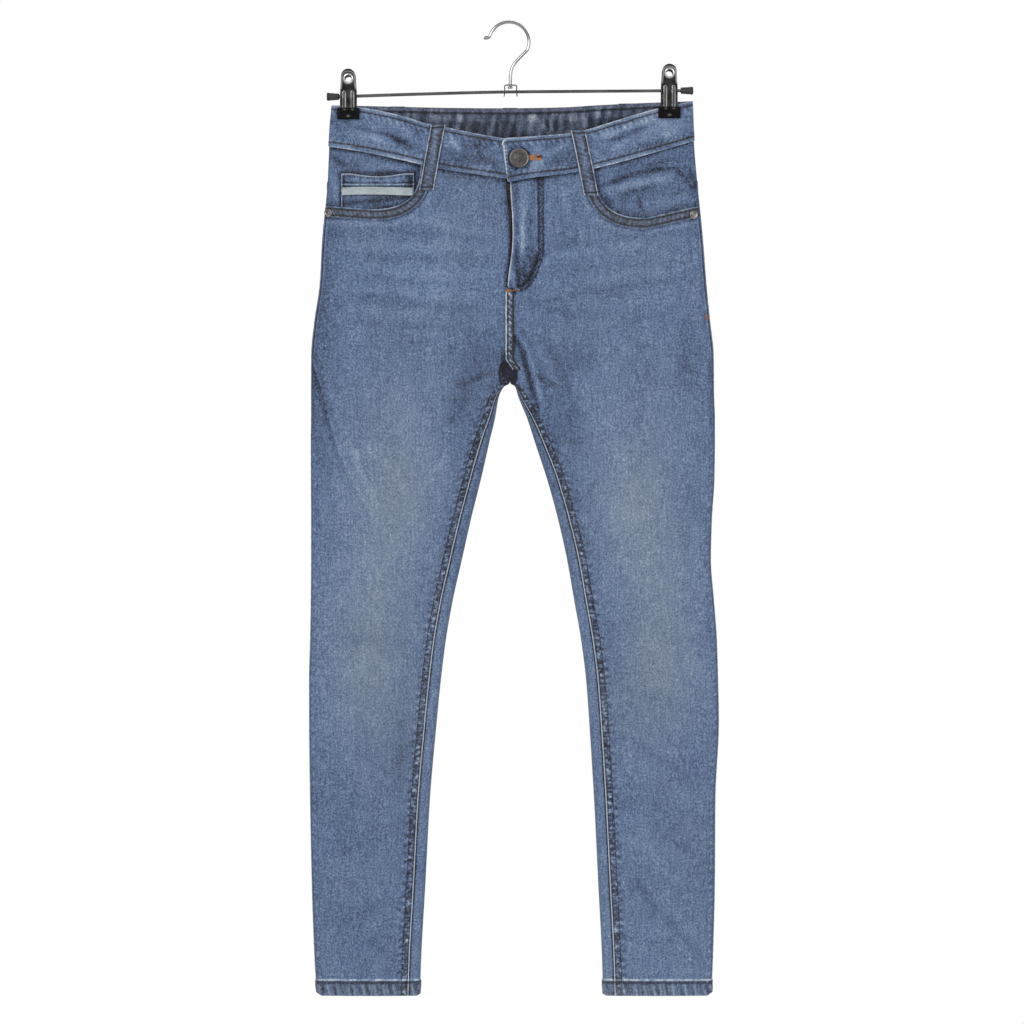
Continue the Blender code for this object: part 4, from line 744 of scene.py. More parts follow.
DENIM_STOPS = (
    (0.00, (0.009, 0.011, 0.018)),
    (0.14, (0.022, 0.029, 0.050)),
    (0.28, (0.056, 0.080, 0.142)),
    (0.42, (0.096, 0.147, 0.260)),
    (0.60, (0.168, 0.242, 0.388)),
    (0.78, (0.295, 0.370, 0.490)),
    (1.00, (0.600, 0.650, 0.700)),
)
INSIDE_STOPS = (
    (0.00, (0.010, 0.012, 0.020)),
    (0.25, (0.029, 0.037, 0.062)),
    (0.50, (0.080, 0.101, 0.158)),
    (0.75, (0.172, 0.200, 0.278)),
    (1.00, (0.420, 0.430, 0.470)),
)
WARM_GREY = (0.180, 0.168, 0.135, 1.0)
# Each layer of the weave: its noise's scale along the weft, the depth and the warp, its detail, the two
# noise values that count as darkest and palest, and how far it moves the tone.
Layer = namedtuple("Layer", "scale detail low high strength")
WEAVE = (
    Layer((560.0, 560.0, 66.0), 2.0, 0.34, 0.66, 0.050),
    Layer((105.0, 105.0, 440.0), 2.0, 0.34, 0.66, 0.030),
    Layer((640.0, 640.0, 600.0), 2.0, 0.37, 0.63, 0.125),
    Layer((92.0, 92.0, 76.0), 2.0, 0.30, 0.70, 0.022),
    Layer((21.0, 21.0, 15.0), 3.0, 0.30, 0.70, 0.026),
)
FLECKS = Layer((620.0, 620.0, 560.0), 1.0, 0.64, 0.74, 0.22)
LADDER = (
    Layer((230.0, 230.0, 300.0), 1.0, 0.50, 0.66, 0.20),
    Layer((70.0, 70.0, 620.0), 1.0, 0.40, 0.62, 0.10),
)


def crisp(tree, layer, turned, low_end):
    """A layer's noise between its two values, pulled to full contrast."""
    x, y, z = layer.scale
    found = noise(tree, (z, y, x) if turned else (x, y, z), layer.detail, 0.55)
    settings = {"i1": layer.low, "i2": layer.high, "i3": low_end, "i4": layer.strength}
    return add(tree, "MapRange", None, Value=found, **settings).outputs[0]


def denim(name, stops, along_x=False, extra=()):
    """Twill with slubs along the warp, paler or darker by each point's tone."""
    made, tree, shader = material(name)
    total = calc(tree, "MULTIPLY_ADD", attribute(tree, "tone"), 0.5, 0.49)
    layers = [crisp(tree, layer, along_x, -layer.strength) for layer in (*WEAVE, *extra)]
    for part in [*layers, crisp(tree, FLECKS, along_x, 0.0)]:
        total = calc(tree, "ADD", part, total)
    blue = ramp(tree, total, stops)
    hue = add(tree, "MapRange", None, Value=noise(tree, (13.0, 13.0, 9.0)), i1=0.4, i2=0.7, i3=0.0, i4=0.14)
    warm = calc(tree, "ADD", attribute(tree, "warm"), hue.outputs[0])
    colour = mixed(tree, warm, blue, mixed(tree, 0.5, blue, WARM_GREY))
    twill = add(
        tree, "TexWave", {"bands_direction": "X"}, Vector=diagonal(tree), Scale=330.0, Distortion=1.6,
        Detail=2.0, Detail_Scale=2.5,
    ).outputs[1]
    height = calc(tree, "MULTIPLY_ADD", layers[0], 9.0, calc(tree, "MULTIPLY_ADD", layers[2], 7.0, twill))
    fill(tree, shader, Base_Color=colour, Roughness=0.92, Specular_IOR_Level=0.18)
    fill(tree, shader, Sheen_Weight=0.12, Sheen_Roughness=0.6, Normal=bumped(tree, height, 0.40, 0.0004))
    return made


def diagonal(tree):
    where = add(tree, "TexCoord").outputs["Object"]
    return add(tree, "Mapping", None, Vector=where, Rotation=(0.0, math.radians(58.0), 0.0)).outputs[0]


def thread(name, colour):
    made, tree, shader = material(name)
    fleck = noise(tree, (900.0, 900.0, 900.0), 2.0)
    pale = tuple(min(1.0, c * 1.7 + 0.02) for c in colour)
    stops = ((0.30, tuple(c * 0.6 for c in colour)), (0.52, colour), (0.75, pale))
    fill(tree, shader, Base_Color=ramp(tree, fleck, stops), Roughness=0.75, Sheen_Weight=0.15)
    return made


def woven_tape(name, dark, pale):
    made, tree, shader = material(name)
    ribs = add(
        tree, "TexWave", {"bands_direction": "Z"}, Vector=stretched(tree, (1.0, 1.0, 1.0)), Scale=300.0,
        Distortion=0.6, Detail=1.0,
    ).outputs[1]
    fleck = noise(tree, (300.0, 300.0, 700.0), 2.0)
    patches = noise(tree, (70.0, 70.0, 160.0), 3.0)
    value = calc(tree, "MULTIPLY_ADD", ribs, 0.20, calc(tree, "MULTIPLY", fleck, 0.50))
    value = calc(tree, "MULTIPLY_ADD", patches, 0.80, calc(tree, "SUBTRACT", value, 0.12))
    colour = ramp(tree, value, ((0.2, dark), (0.75, pale)))
    fill(tree, shader, Base_Color=colour, Roughness=0.85, Normal=bumped(tree, ribs, 0.4, 0.0003))
    return made


def metal(name, dark, pale, roughness, scale=120.0, spread=0.12, uneven=0.08, bright=None):
    """Plated metal, with faint patches that dull it. Where the tone is above 0 a painted highlight in the
    bright colour shows.
    """
    made, tree, shader = material(name)
    patches = noise(tree, (scale, scale, scale), 3.0, 0.5)
    colour = ramp(tree, patches, ((0.35, dark), (0.68, pale)))
    if bright:
        colour = mixed(tree, attribute(tree, "tone"), colour, (*bright, 1.0))
    low, high = max(0.02, roughness - spread), roughness + spread
    rough = add(tree, "MapRange", None, Value=patches, i1=0.3, i2=0.7, i3=low, i4=high).outputs[0]
    fill(tree, shader, Base_Color=colour, Roughness=rough, Metallic=1.0, Normal=bumped(tree, patches, uneven))
    return made


def rubber(name, dark, pale):
    """Black rubber, with a painted grey highlight where the tone is above 0."""
    made, tree, shader = material(name)
    grain = noise(tree, (700.0, 700.0, 700.0), 3.0)
    colour = ramp(tree, grain, ((0.35, dark), (0.7, pale)))
    colour = mixed(tree, attribute(tree, "tone"), colour, (0.60, 0.60, 0.58, 1.0))
    fill(tree, shader, Base_Color=colour, Roughness=0.30, Specular_IOR_Level=0.09)
    fill(tree, shader, Normal=bumped(tree, grain, 0.25))
    return made


MATERIALS = {
    "denim": denim("denim_twill", DENIM_STOPS),
    "denim_band": denim("denim_twill_crosswise", DENIM_STOPS, along_x=True),
    "denim_chain": denim("denim_twill_puckered", DENIM_STOPS, extra=LADDER),
    "inside": denim("denim_reverse", INSIDE_STOPS),
    "thread": thread("thread_dark", (0.020, 0.019, 0.024)),
    "brown_thread": thread("thread_brown", (0.062, 0.038, 0.034)),
    "pale_thread": thread("thread_pale", (0.36, 0.40, 0.47)),
    "orange_thread": thread("thread_orange", (0.42, 0.17, 0.06)),
    "tape": woven_tape("tape_offwhite", (0.15, 0.19, 0.21), (0.46, 0.52, 0.54)),
    "zip_tape": woven_tape("tape_zip", (0.008, 0.009, 0.015), (0.024, 0.028, 0.042)),
    "zip_teeth": metal("zip_teeth_copper", (0.030, 0.016, 0.013), (0.110, 0.060, 0.048), 0.4),
    "antique": metal("antique_plate", (0.068, 0.065, 0.063), (0.135, 0.130, 0.126), 0.44, 420.0),
    "antique_worn": metal("antique_plate_worn", (0.12, 0.11, 0.10), (0.24, 0.225, 0.21), 0.40, 300.0),
    "slider": metal("slider_plate", (0.025, 0.022, 0.020), (0.075, 0.062, 0.052), 0.45, 300.0),
    "rivet": metal("rivet_plate", (0.13, 0.12, 0.12), (0.42, 0.40, 0.40), 0.38, 300.0),
    "chrome": metal("chrome_wire", (0.38, 0.38, 0.39), (0.50, 0.50, 0.51), 0.13, 40.0, 0.03, 0.0),
    "steel": metal("steel_rod", (0.13, 0.13, 0.13), (0.20, 0.20, 0.20), 0.16, 40.0, 0.03, 0.0),
    "gunmetal": metal(
        "gunmetal_plate", (0.028, 0.027, 0.027), (0.075, 0.073, 0.072), 0.22, 160.0, bright=(0.80, 0.80, 0.81)
    ),
    "rubber": rubber("rubber_black", (0.0020, 0.0020, 0.0022), (0.007, 0.007, 0.007)),
    "knob_rubber": rubber("rubber_worn", (0.040, 0.037, 0.038), (0.085, 0.079, 0.080)),
}


# ---------------------------------------------------------------- meshes
Shell = namedtuple("Shell", "points faces slots tone warm")


def shell(outer, inner, tone, warm=0.0, keep=None, inside_tone=0.0, inside_slot=1):
    """A closed thin shell between two grids of points. keep says which of the grid's squares it has."""
    rows, columns = outer.shape[:2]
    keep = np.ones((rows - 1, columns - 1), bool) if keep is None else keep
    index = np.arange(rows * columns).reshape(rows, columns)
    a, b, c, d = index[:-1, :-1], index[:-1, 1:], index[1:, 1:], index[1:, :-1]
    over = np.stack([a, b, c, d], -1)[keep]
    far = rows * columns
    around = np.pad(keep, 1)
    rim = []
    for (down, along), (p, q) in (((-1, 0), (a, b)), ((0, 1), (b, c)), ((1, 0), (c, d)), ((0, -1), (d, a))):
        beyond = around[1 + down : rows + down, 1 + along : columns + along]
        edge = keep & ~beyond
        rim.append(np.stack([q[edge], p[edge], p[edge] + far, q[edge] + far], -1))
    rim = np.concatenate(rim)
    faces = np.concatenate([over, over[:, ::-1] + far, rim])
    slots = np.concatenate([np.zeros(len(over)), np.full(len(over), inside_slot), np.zeros(len(rim))])
    points = np.concatenate([outer.reshape(-1, 3), inner.reshape(-1, 3)])
    corner = points[over]
    turn = np.cross(corner[:, 1] - corner[:, 0], corner[:, 3] - corner[:, 0])
    if (turn * (corner[:, 0] - points[over[:, 0] + far])).sum() < 0:
        faces = faces[:, ::-1]
    flat = [np.broadcast_to(v, (rows, columns)).reshape(-1) for v in (tone, warm, inside_tone)]
    tones = np.concatenate([flat[0], flat[2]])
    warms = np.concatenate([flat[1], np.zeros(far)])
    used, faces = np.unique(faces, return_inverse=True)
    return Shell(points[used], faces.reshape(-1, 4), slots.astype(int), tones[used], warms[used])


def solid(points, faces):
    """A shell made of ready points and faces."""
    zeros = np.zeros(len(points))
    return Shell(np.asarray(points, float), np.asarray(faces, int), np.zeros(len(faces), int), zeros, zeros)


def link(name, data):
    obj = bpy.data.objects.new(name, data)
    bpy.context.scene.collection.objects.link(obj)
    return obj


def dress(name, data, slot, *nodes):
    """An object that rides on the one body and stands for these solids."""
    obj = link(name, data)
    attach(obj, "root")
    if nodes:
        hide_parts(*nodes)
    return obj


def build(name, shells, materials, slot, *nodes, smooth=True):
    """One dressed object out of several shells, in metres. A face with its last point twice is a triangle."""
    firsts = np.cumsum([0] + [len(part.points) for part in shells])
    faces = np.concatenate([part.faces + first for part, first in zip(shells, firsts)])
    corners = [face[:3] if face[2] == face[3] else face for face in faces.tolist()]
    joint = Shell(*(np.concatenate(values) for values in zip(*shells)))
    mesh = bpy.data.meshes.new(name)
    mesh.from_pydata((joint.points * MM).tolist(), [], corners)
    mesh.polygons.foreach_set("material_index", joint.slots.astype(np.int32))
    for label in ("tone", "warm"):
        layer = mesh.attributes.new(label, "FLOAT", "POINT")
        layer.data.foreach_set("value", getattr(joint, label).astype(np.float32))
    for key in materials:
        mesh.materials.append(MATERIALS[key])
    if smooth:
        mesh.shade_smooth()
    mesh.update()
    return dress(name, mesh, slot, *nodes)


def cloth(name, *shells, materials=("denim", "inside")):
    return build("cloth_" + name, shells, materials, "denim", name)


def layer_over(places, high, low, tone, warm=0.0):
    """A shell between two heights over places with their directions out, and the area of its outside."""
    outer, inner = stood(*places, high), stood(*places, low)
    return shell(outer, inner, tone, warm), grid_area(outer)


def grid_area(grid):
    """The area of a grid of points, in square metres."""
    a, b, c, d = grid[:-1, :-1], grid[:-1, 1:], grid[1:, 1:], grid[1:, :-1]
    return float(np.linalg.norm(np.cross(c - a, d - b), axis=-1).sum() / 2) * MM * MM


def rounded(distance, radius):
    """How much of its thickness a folded edge has, so far in from its end."""
    t = 1.0 - np.clip(distance / radius, 0.0, 1.0)
    return np.sqrt(np.clip(1.0 - t * t, 0.0, 1.0))


def thick(out, into, fullness):
    """The outer and inner depth of a wall that narrows to its middle where the fullness is low."""
    middle, half = (out + into) / 2, (out - into) / 2
    return middle + half * fullness, middle - half * fullness


# ---------------------------------------------------------------- grids on the panels
def walked_along(points):
    """How far along a line each of its points is."""
    return np.concatenate([[0.0], np.cumsum(np.linalg.norm(np.diff(points, axis=0), axis=-1))])


def spread(length, near_start, near_end, count):
    """Distances along a row: close at both ends, even between."""
    middle = np.linspace(near_start[-1], length - near_end[-1], count)[1:-1]
    return np.concatenate([near_start, middle, length - np.asarray(near_end)[::-1]])


def panel_grid(side, start, end, z, near_start, near_end, count):
    """Shares for a grid over a panel, and each point's distance from its start and its end."""
    shares = start[:, None] + (end - start)[:, None] * np.linspace(0.0, 1.0, 141)
    points = tube(side, shares, z[:, None], folded=False)
    length = np.array([walked_along(row) for row in points])
    along = np.array([spread(row[-1], near_start, near_end, count) for row in length])
    found = np.array([np.interp(*row) for row in zip(along, length, shares)])
    return found, along, length[:, -1:] - along


def level_rows(top, low, step=ROW_STEP):
    return np.linspace(top, low, int(abs(top - low) / step) + 1)


def panel_rows(lines):
    """Heights that start along a curved seam and ease into level rows down to the hem."""
    ease = np.linspace(0.0, 1.0, int(abs(lines.mean() - FLAT_Z) / ROW_STEP), endpoint=False)[:, None]
    curved = lines * (1 - ease) + FLAT_Z * ease
    leg = level_rows(FLAT_Z, HEM_Z + HEM_DEPTH + 3.0)
    level = np.repeat(np.concatenate([leg, HEM_Z + OVER_HEM])[:, None], len(lines), axis=1)
    return np.concatenate([curved, level])


def leg_middle(x, z):
    """How far a place lies outside its leg's worn middle line, which leans out towards the hem."""
    start = np.where(np.asarray(x) > 0, LEG_MIDDLES[LEFT], LEG_MIDDLES[RIGHT])
    return np.abs(x) - start - 26.0 * smooth_step(-np.asarray(z), 430, 640)


def fade_and_shade(face, x, z):
    """How pale the cloth is worn: down the middle of the thighs, over the knees and across the hips. The
    right hip's outer edge is painted darker as shade.
    """
    apart = leg_middle(x, z)
    thigh = bump_at(apart, 2, 52) * bump_at(z, -480, 112)
    knee = bump_at(apart, 4, 56) * bump_at(z, -650, 95)
    hip = bump_at(apart, -22, 70) * bump_at(z, -262, 48)
    seat = bump_at(apart, -16, 60) * bump_at(z, -280, 90)
    inner = smooth_step(-apart, 34, 74) * window(z, -520, -340, 60)
    foot = 0.04 * smooth_step(-z, 890, 940) + 0.07 * smooth_step(-z, 760, 820) * (np.asarray(x) > 0)
    front = 0.34 * thigh + 0.24 * knee + 0.06 * hip - 0.12 * inner + foot
    # Painted shade along the right hip's outer edge.
    hip_edge_shade = -0.14 * smooth_step(-np.asarray(x), 164, 186) * smooth_step(z, -420, -330)
    return np.where(face == FRONT, front, 0.22 * seat + 0.12 * knee) + hip_edge_shade - 0.04


def thigh_warmth(x, z):
    apart = leg_middle(x, z)
    thigh = bump_at(apart, 0, 50) * bump_at(z, -480, 95)
    knee = bump_at(apart, 0, 42) * bump_at(z, -655, 80)
    return 0.38 * thigh + 0.40 * knee


def softened(grid, times):
    """The grid with each point drawn towards its neighbours."""
    for _ in range(times):
        wide = np.pad(grid, 1, mode="edge")
        beside = wide[:-2, 1:-1] + wide[2:, 1:-1] + wide[1:-1, :-2] + wide[1:-1, 2:]
        grid = (4 * grid + beside) / 8
    return grid


def wear_and_shade(relief):
    """Ridges are rubbed pale and hollows painted dark as shade."""
    return 0.75 * np.clip(relief - softened(relief, 10), -0.45, 0.45)


def pucker(distance, z, low, high, pitch, seed):
    """The rumpled strip along a seam: a wave across it, from low to high in distance."""
    lean = z + 0.55 * distance
    return ripple(lean, pitch, seed) * window(distance, low, high, 1.6)


def chained(distance, along, width, seed):
    """A tightly puckered felled strip: its relief, and a dark tone with small pale knots."""
    strip = window(distance, 0, width, 0.7)
    middle = bump_at(distance, 0.4 * width, 0.3 * width)
    knots = middle * np.clip(ripple(along + 0.5 * distance, 6.9, seed), 0.0, 1.0)
    ticks = ripple(along + 0.3 * distance, 6.9, seed + 0.9) * bump_at(distance, width + 1.2, 1.8)
    relief = 0.40 * strip + 0.34 * knots + 0.15 * ticks
    line = 0.40 * bump_at(distance, 0.06 * width, 0.5)
    return relief, strip * (0.45 * knots - 0.12) - line + 0.30 * ticks


def hem_form(x, z):
    """The roping of a turned-up hem: its relief and its tone."""
    below = window(z, HEM_Z + 1.2, HEM_Z + 11.2, 1.2)
    wave = ripple(x + 0.35 * (z - HEM_Z), 9.6, 0.7)
    ticks = np.clip(ripple(x + 0.2 * z, 5, 2.2), 0.0, 1.0) ** 2
    uneven = patchy(x / 3.6, 0, 59)
    line = bump_at(z, HEM_Z + HEM_DEPTH + 0.1, 0.8)
    sunk = bump_at(z, HEM_Z + HEM_DEPTH - HEM_ROW, 1.4)
    relief = 0.30 * wave * below + 0.12 * ticks * below - 0.2 * sunk
    tone = below * (0.26 * wave + 0.50 * ticks - 0.24) + (0.40 + 1.1 * uneven) * line - 0.65 * sunk
    return relief, tone + 0.35 * bump_at(z, HEM_Z + 0.5, 0.8)


def hem_corner(x, z):
    """How far the hem's lower edge rises where it rounds up to the leg's folds."""
    across = np.abs(x)
    out = np.where(np.asarray(x) < 0, SECTIONS[-1].right_out, SECTIONS[-1].left_out)
    inner = np.where(np.asarray(x) < 0, SECTIONS[-1].right_in, SECTIONS[-1].left_in)
    at_outer, at_inner = smooth_step(across, out - 7, out), smooth_step(-across, -inner - 5, -inner)
    return (2.6 * at_outer**2 + 1.2 * at_inner**2) * smooth_step(-z, -(HEM_Z + 9), -HEM_Z)


def hem_depths(z):
    """The wall's outer and inner depth, thicker at the hem, with a rounded lower edge."""
    hem = smooth_step(-z, -(HEM_Z + HEM_DEPTH + 0.8), -(HEM_Z + HEM_DEPTH - 0.6))
    return thick(HEM_OUT * hem, -DENIM + (HEM_IN + DENIM) * hem, rounded(z - HEM_Z, 1.2))


# ---------------------------------------------------------------- pocket mouths
def mouth_curve(side):
    """The pocket mouth's edge, from the waist seam to the side, as (x, z) at even steps."""
    mouth = MOUTHS[side]
    across, drop = mouth.turn_x - mouth.inner_x, mouth.top_z - mouth.low_z
    turn = np.linspace(0.0, np.pi / 2, 120)
    power = 2 / MOUTH_ROUNDNESS
    x = mouth.turn_x - across * np.cos(turn) ** power
    z = mouth.top_z - drop * np.sin(turn) ** power
    run = (mouth.low_z - mouth.side_z) / (MOUTH_SIDE_X - mouth.turn_x)
    x = np.append(x, MOUTH_SIDE_X)
    z = np.append(z, mouth.low_z - run * (MOUTH_SIDE_X - mouth.turn_x))
    return even_steps(np.stack([side * x, z], -1), LINE_STEP)


def even_steps(points, step):
    """The same line with its points about a step apart."""
    lengths = walked_along(points)
    at = np.linspace(0.0, lengths[-1], max(2, int(lengths[-1] / step) + 1))
    return np.stack([np.interp(at, lengths, points[:, i]) for i in range(points.shape[1])], -1)


def across_line(line, way):
    """Unit vectors in the plane across a line of (x, z), towards the way's side."""
    along = np.gradient(line, axis=0)
    along /= np.linalg.norm(along, axis=-1, keepdims=True)
    return way * np.stack([along[:, 1], -along[:, 0]], -1)


def nearest_on(line, x, z):
    """For each place, the index of the line's nearest point and the way from there."""
    flat = np.stack([x.ravel(), z.ravel()], -1)
    nearest = ((line[None, :, :] - flat[:, None, :]) ** 2).sum(-1).argmin(axis=1)
    return nearest, flat - line[nearest]


def mouth_distance(side, x, z):
    """How far a place lies outside the mouth's edge. It is below 0 inside the mouth."""
    line = mouth_curve(side)
    nearest, apart = nearest_on(line, x, z)
    sign = np.sign((apart * across_line(line, side)[nearest]).sum(-1))
    return (np.linalg.norm(apart, axis=-1) * sign).reshape(x.shape)


def seam_x(side, z):
    """How far the side seam is from the centre."""
    return np.abs(tube(side, side_seam(z), z, folded=False)[..., 0])


def mouth_band(side):
    """The turned and twice stitched edge of the pocket mouth, as a raised strip of the front."""
    line = mouth_curve(side)
    out = across_line(line, side)
    v = ACROSS_MOUTH
    x = line[:, None, 0] + out[:, None, 0] * v
    z = line[:, None, 1] + out[:, None, 1] * v
    x = side * np.minimum(np.abs(x), seam_x(side, z) - 0.15)
    along = np.arange(len(line))[:, None] * LINE_STEP
    wave = ripple(along + 0.4 * v, 4.6, 1.3 + side)
    inside = window(v, 3.2, 7.6, 1.4)
    first_row, second_row = MOUTH_ROWS
    relief = 0.26 * wave * inside - 0.22 * bump_at(v, first_row, 0.6) - 0.22 * bump_at(v, second_row, 0.6)
    high, low = thick(0.75, -1.3, rounded(np.minimum(v, MOUTH_BAND - v + 0.4), 0.9))
    uneven = mottled(along / 5.2, v / 3, 73)
    tone = -0.36 + (0.95 + 0.9 * uneven) * bump_at(v, 0.35, 0.65) + 0.34 * np.clip(wave, -0.4, 1) * inside
    tone = tone - 0.62 * bump_at(v, 2.4, 0.8) - 0.62 * bump_at(v, 8.6, 0.9) + 0.40 * uneven
    tone = tone + 0.55 * bump_at(v, 10.7, 0.4) + fade_and_shade(FRONT, x, z)
    return layer_over(lay(FRONT, x, z), high + relief, low, tone, 0.38 * window(v, 1.6, 10, 0.8))[0]


# ---------------------------------------------------------------- fronts
def line_distance(points, x, z):
    """How far each place is from a line, above 0 on its left as it runs, and how far along it that is."""
    line = round_line(points)
    nearest, apart = nearest_on(line, x, z)
    way = np.gradient(line, axis=0)[nearest]
    sign = np.sign(way[:, 0] * apart[:, 1] - way[:, 1] * apart[:, 0])
    distance = np.linalg.norm(apart, axis=-1) * sign
    return distance.reshape(x.shape), (nearest / (len(line) - 1)).reshape(x.shape)


def drag_form(side, x, z):
    """The sharp folds that run from the hip and the crotch: relief, and tone with a painted highlight on each
    ridge and painted shade in the hollow beside it.
    """
    relief, tone = np.zeros(x.shape), np.zeros(x.shape)
    for drag in DRAGS:
        near = (drag.side == side) & (z > -560.0) & (z < -290.0)
        if not np.any(near):
            continue
        d, along = line_distance(drag.points, x[near], z[near])
        strength = (1.0 - along) ** 0.8 * smooth_step(along, 0, 0.05)
        dark = smooth_step(-d, -1.6, 2.2) * (1.0 - smooth_step(-d, 2.2, drag.width))
        rest = smooth_step(d, -1.6, 2.2) * (1.0 - smooth_step(d, 2.2, 1.6 * drag.width))
        relief[near] += strength * (drag.height * rest - drag.height * dark)
        tone[near] += strength * (drag.ridge * bump_at(d, 1.2, 1.7) - drag.dark * dark)
    return relief, tone


def fly_form(x, z):
    """The stitched fly: grooves and a ridge between its edge and its curved double row, with a painted
    highlight on the ridge and painted shade in the grooves and inside the foot of the curve.
    """
    on = window(z, FLY_LOW_Z + 6, -150, 8)
    d, _ = line_distance(J_MIDDLE, x, z)
    inside = smooth_step(-d, -1.5, 1.5)
    row = window(d, -2.7, 2.7, 0.8)
    wave = ripple(z + 0.6 * d + 0.5 * x, 4.8, 0.8)
    across = x + 0.10 * (z + 210.0) * smooth_step(-z, 215, 262)
    ridge = 0.55 * bump_at(across, 14.6, 5.2) * smooth_step(z, -236, -216)
    grooves = ridge - 0.60 * bump_at(across, 5.8, 2.6) - 0.30 * bump_at(across, 23, 2.8)
    uneven = mottled(z / 9, x / 3, 63)
    # Painted shade inside the foot of the curved rows.
    foot = on * inside * smooth_step(-z, 220, 240) * smooth_step(across, 1.5, 4.5)
    rows = bump_at(d, -2.4, 1) + bump_at(d, 2.4, 1)
    relief = on * inside * grooves - 0.35 * row + 0.16 * wave * bump_at(d, 0, 2.4)
    tone = on * inside * (0.34 * grooves + 0.4 * uneven) - row * (0.40 - 0.36 * np.clip(wave, 0.0, 1.0))
    return relief, tone - 0.36 * foot - 0.40 * rows


def crotch_lump_and_shadow(x, z):
    """A slight lump where the four seams cross, painted dark as shadow, with painted shade in a wedge above
    it on the right front.
    """
    from_middle = (np.abs(x + 1.8) / 9.6) ** 3 + (np.abs(z + 351.0) / 12.5) ** 3
    patch = smooth_step(-from_middle, -1.15, -0.85)
    uneven = mottled(x / 2.5, z / 2.5, 67)
    lines = 0.38 * bump_at(x, -4.2, 0.6) + 0.30 * bump_at(x, 3.2, 0.6) + 0.35 * uneven
    shade = bump_at(x, -7.5, 2.6) * smooth_step(-z, 316, 338) * smooth_step(z, -350, -342)
    return 0.4 * patch, patch * (lines - 0.74) - 0.55 * shade


def centre_form(side, distance, z):
    """Relief and tone along a front's inner edge: the fly's edge, the centre seam, then the inseam."""
    leg = smooth_step(-z, -CROTCH_Z - 2, -CROTCH_Z + 5)
    fly = smooth_step(z, FLY_LOW_Z - 4, FLY_LOW_Z + 2)
    seam = (1.0 - leg) * (1.0 - fly)
    chain_relief, chain_tone = chained(distance - 1.0, z, CHAIN_WIDTH, 0.4 + side)
    coarse = ripple(z, 9.3, 2 + side) * window(distance, 9, 12, 2)
    relief = leg * (chain_relief + 0.20 * coarse - 0.30 * bump_at(distance, 10.2, 0.9))
    relief = relief + seam * 0.35 * pucker(distance, z, 3.8, 7, 6.3, 3)
    tone = leg * (chain_tone - 0.10 * bump_at(distance, 10.4, 1.6) + 0.16 * coarse)
    tone = tone + leg * 1.30 * bump_at(distance, 0.35, 0.85)
    # On the right front the edge beside the fly's gap is painted dark as shade.
    edge = 1.05 * bump_at(distance, 0.4, 0.7) if side == LEFT else -0.55 * bump_at(distance, 0, 2.2)
    tone = tone + fly * edge - 0.25 * seam * bump_at(distance, 4.6, 1.5)
    return relief, tone, 0.10 * leg * window(distance, 1.2, 8.6, 0.8)


def side_form(face, distance, z, seed):
    """Relief and tone along the side seam: a pale fold, a dark line between pale ones, then worn dots."""
    wave = pucker(distance, z, 2.8, 5.4, 8.6, seed)
    hip = smooth_step(z, -430, -390)
    if face == BACK:
        return 0.06 * wave, 0.55 * bump_at(distance, 2, 2.2) - 0.25 * bump_at(distance, 0, 0.6)
    sewn = window(z, -326, -184, 10)
    dark_line = bump_at(distance, 2.4, 0.7)
    lines = 0.42 * (bump_at(distance, 0.7, 0.9) + bump_at(distance, 4.3, 0.9)) - 0.90 * dark_line
    tone = 0.42 * np.clip(wave, 0.0, 1.0) ** 2 * (1.0 - hip) - 0.10 * window(distance, 0.6, 7, 1.5)
    relief = 0.10 * wave - 0.25 * sewn * dark_line
    return relief, tone + sewn * lines - (1.0 - sewn) * (0.26 + 0.24 * hip) * bump_at(distance, 0, 1.1)


def row_heights(across, rough, shares, start, end):
    """Each point's height, and how far it lies below the panel's top edge."""
    where = (shares - start[:, None]) / (end - start)[:, None]
    z = np.array([np.interp(w, across, row) for w, row in zip(where, rough)])
    return z, np.array([np.interp(w, across, rough[0]) for w in where]) - z


def mouth_gap(side, x, z):
    """How far a place of a front lies outside its pocket mouth, and far off below the pockets."""
    distance = np.full(x.shape, FAR_OFF)
    near = z > MOUTHS_ABOVE_Z
    distance[near] = mouth_distance(side, x[near], z[near])
    return distance


def front_form(side, x, z, creases, from_side, from_centre):
    """Relief, tone and warmth of a front, from its folds, seams, hem and worn places, with painted highlight
    and shade on its folds and creases.
    """
    middle_relief, middle_tone, warm = centre_form(side, from_centre, z)
    side_relief, side_tone = side_form(FRONT, from_side, z, 1.0 + side)
    hem_relief, hem_tone = hem_form(x, z)
    drag_relief, drag_tone = drag_form(side, x, z)
    patch_relief, crotch_shadow_tone = crotch_lump_and_shadow(x, z)
    bands = folds_at(WORN_AND_SHADED_BANDS, FRONT, x, z, 0.7) * window(z, HEM_Z + 22, 0, 6)
    relief = creases + 3.0 * bands + middle_relief + side_relief + hem_relief + drag_relief + patch_relief
    # The creases are painted paler where they stand out and darker where they sink, as highlight and shade.
    tone = fade_and_shade(FRONT, x, z) + bands + wear_and_shade(creases) + 0.10 * np.clip(creases, -1.2, 1.2) + crotch_shadow_tone
    tone = tone + middle_tone + side_tone + hem_tone + drag_tone
    if side == LEFT:
        beside_fly = (z > FLY_LOW_Z - 14.0) & (x < 60.0)
        fly_relief, fly_tone = fly_form(x[beside_fly], z[beside_fly])
        relief[beside_fly] += fly_relief
        tone[beside_fly] += fly_tone
    return relief, tone, warm + thigh_warmth(x, z) + 0.30 * window(z, HEM_Z, HEM_Z + 12, 1)


def seam_shade(x, distance, waist_gap):
    """The shade of a front beside its pocket mouth and under the waistband."""
    mouth = -0.50 * bump_at(distance, MOUTH_BAND + 0.6, 1.2) + 0.16 * bump_at(distance, MOUTH_BAND + 4, 2.5)
    middle = window(x, -70, 68, 6)
    return mouth - (0.50 + 0.22 * middle) * bump_at(waist_gap, 2.6, 1.6) - 0.14 * bump_at(waist_gap, 6, 4)


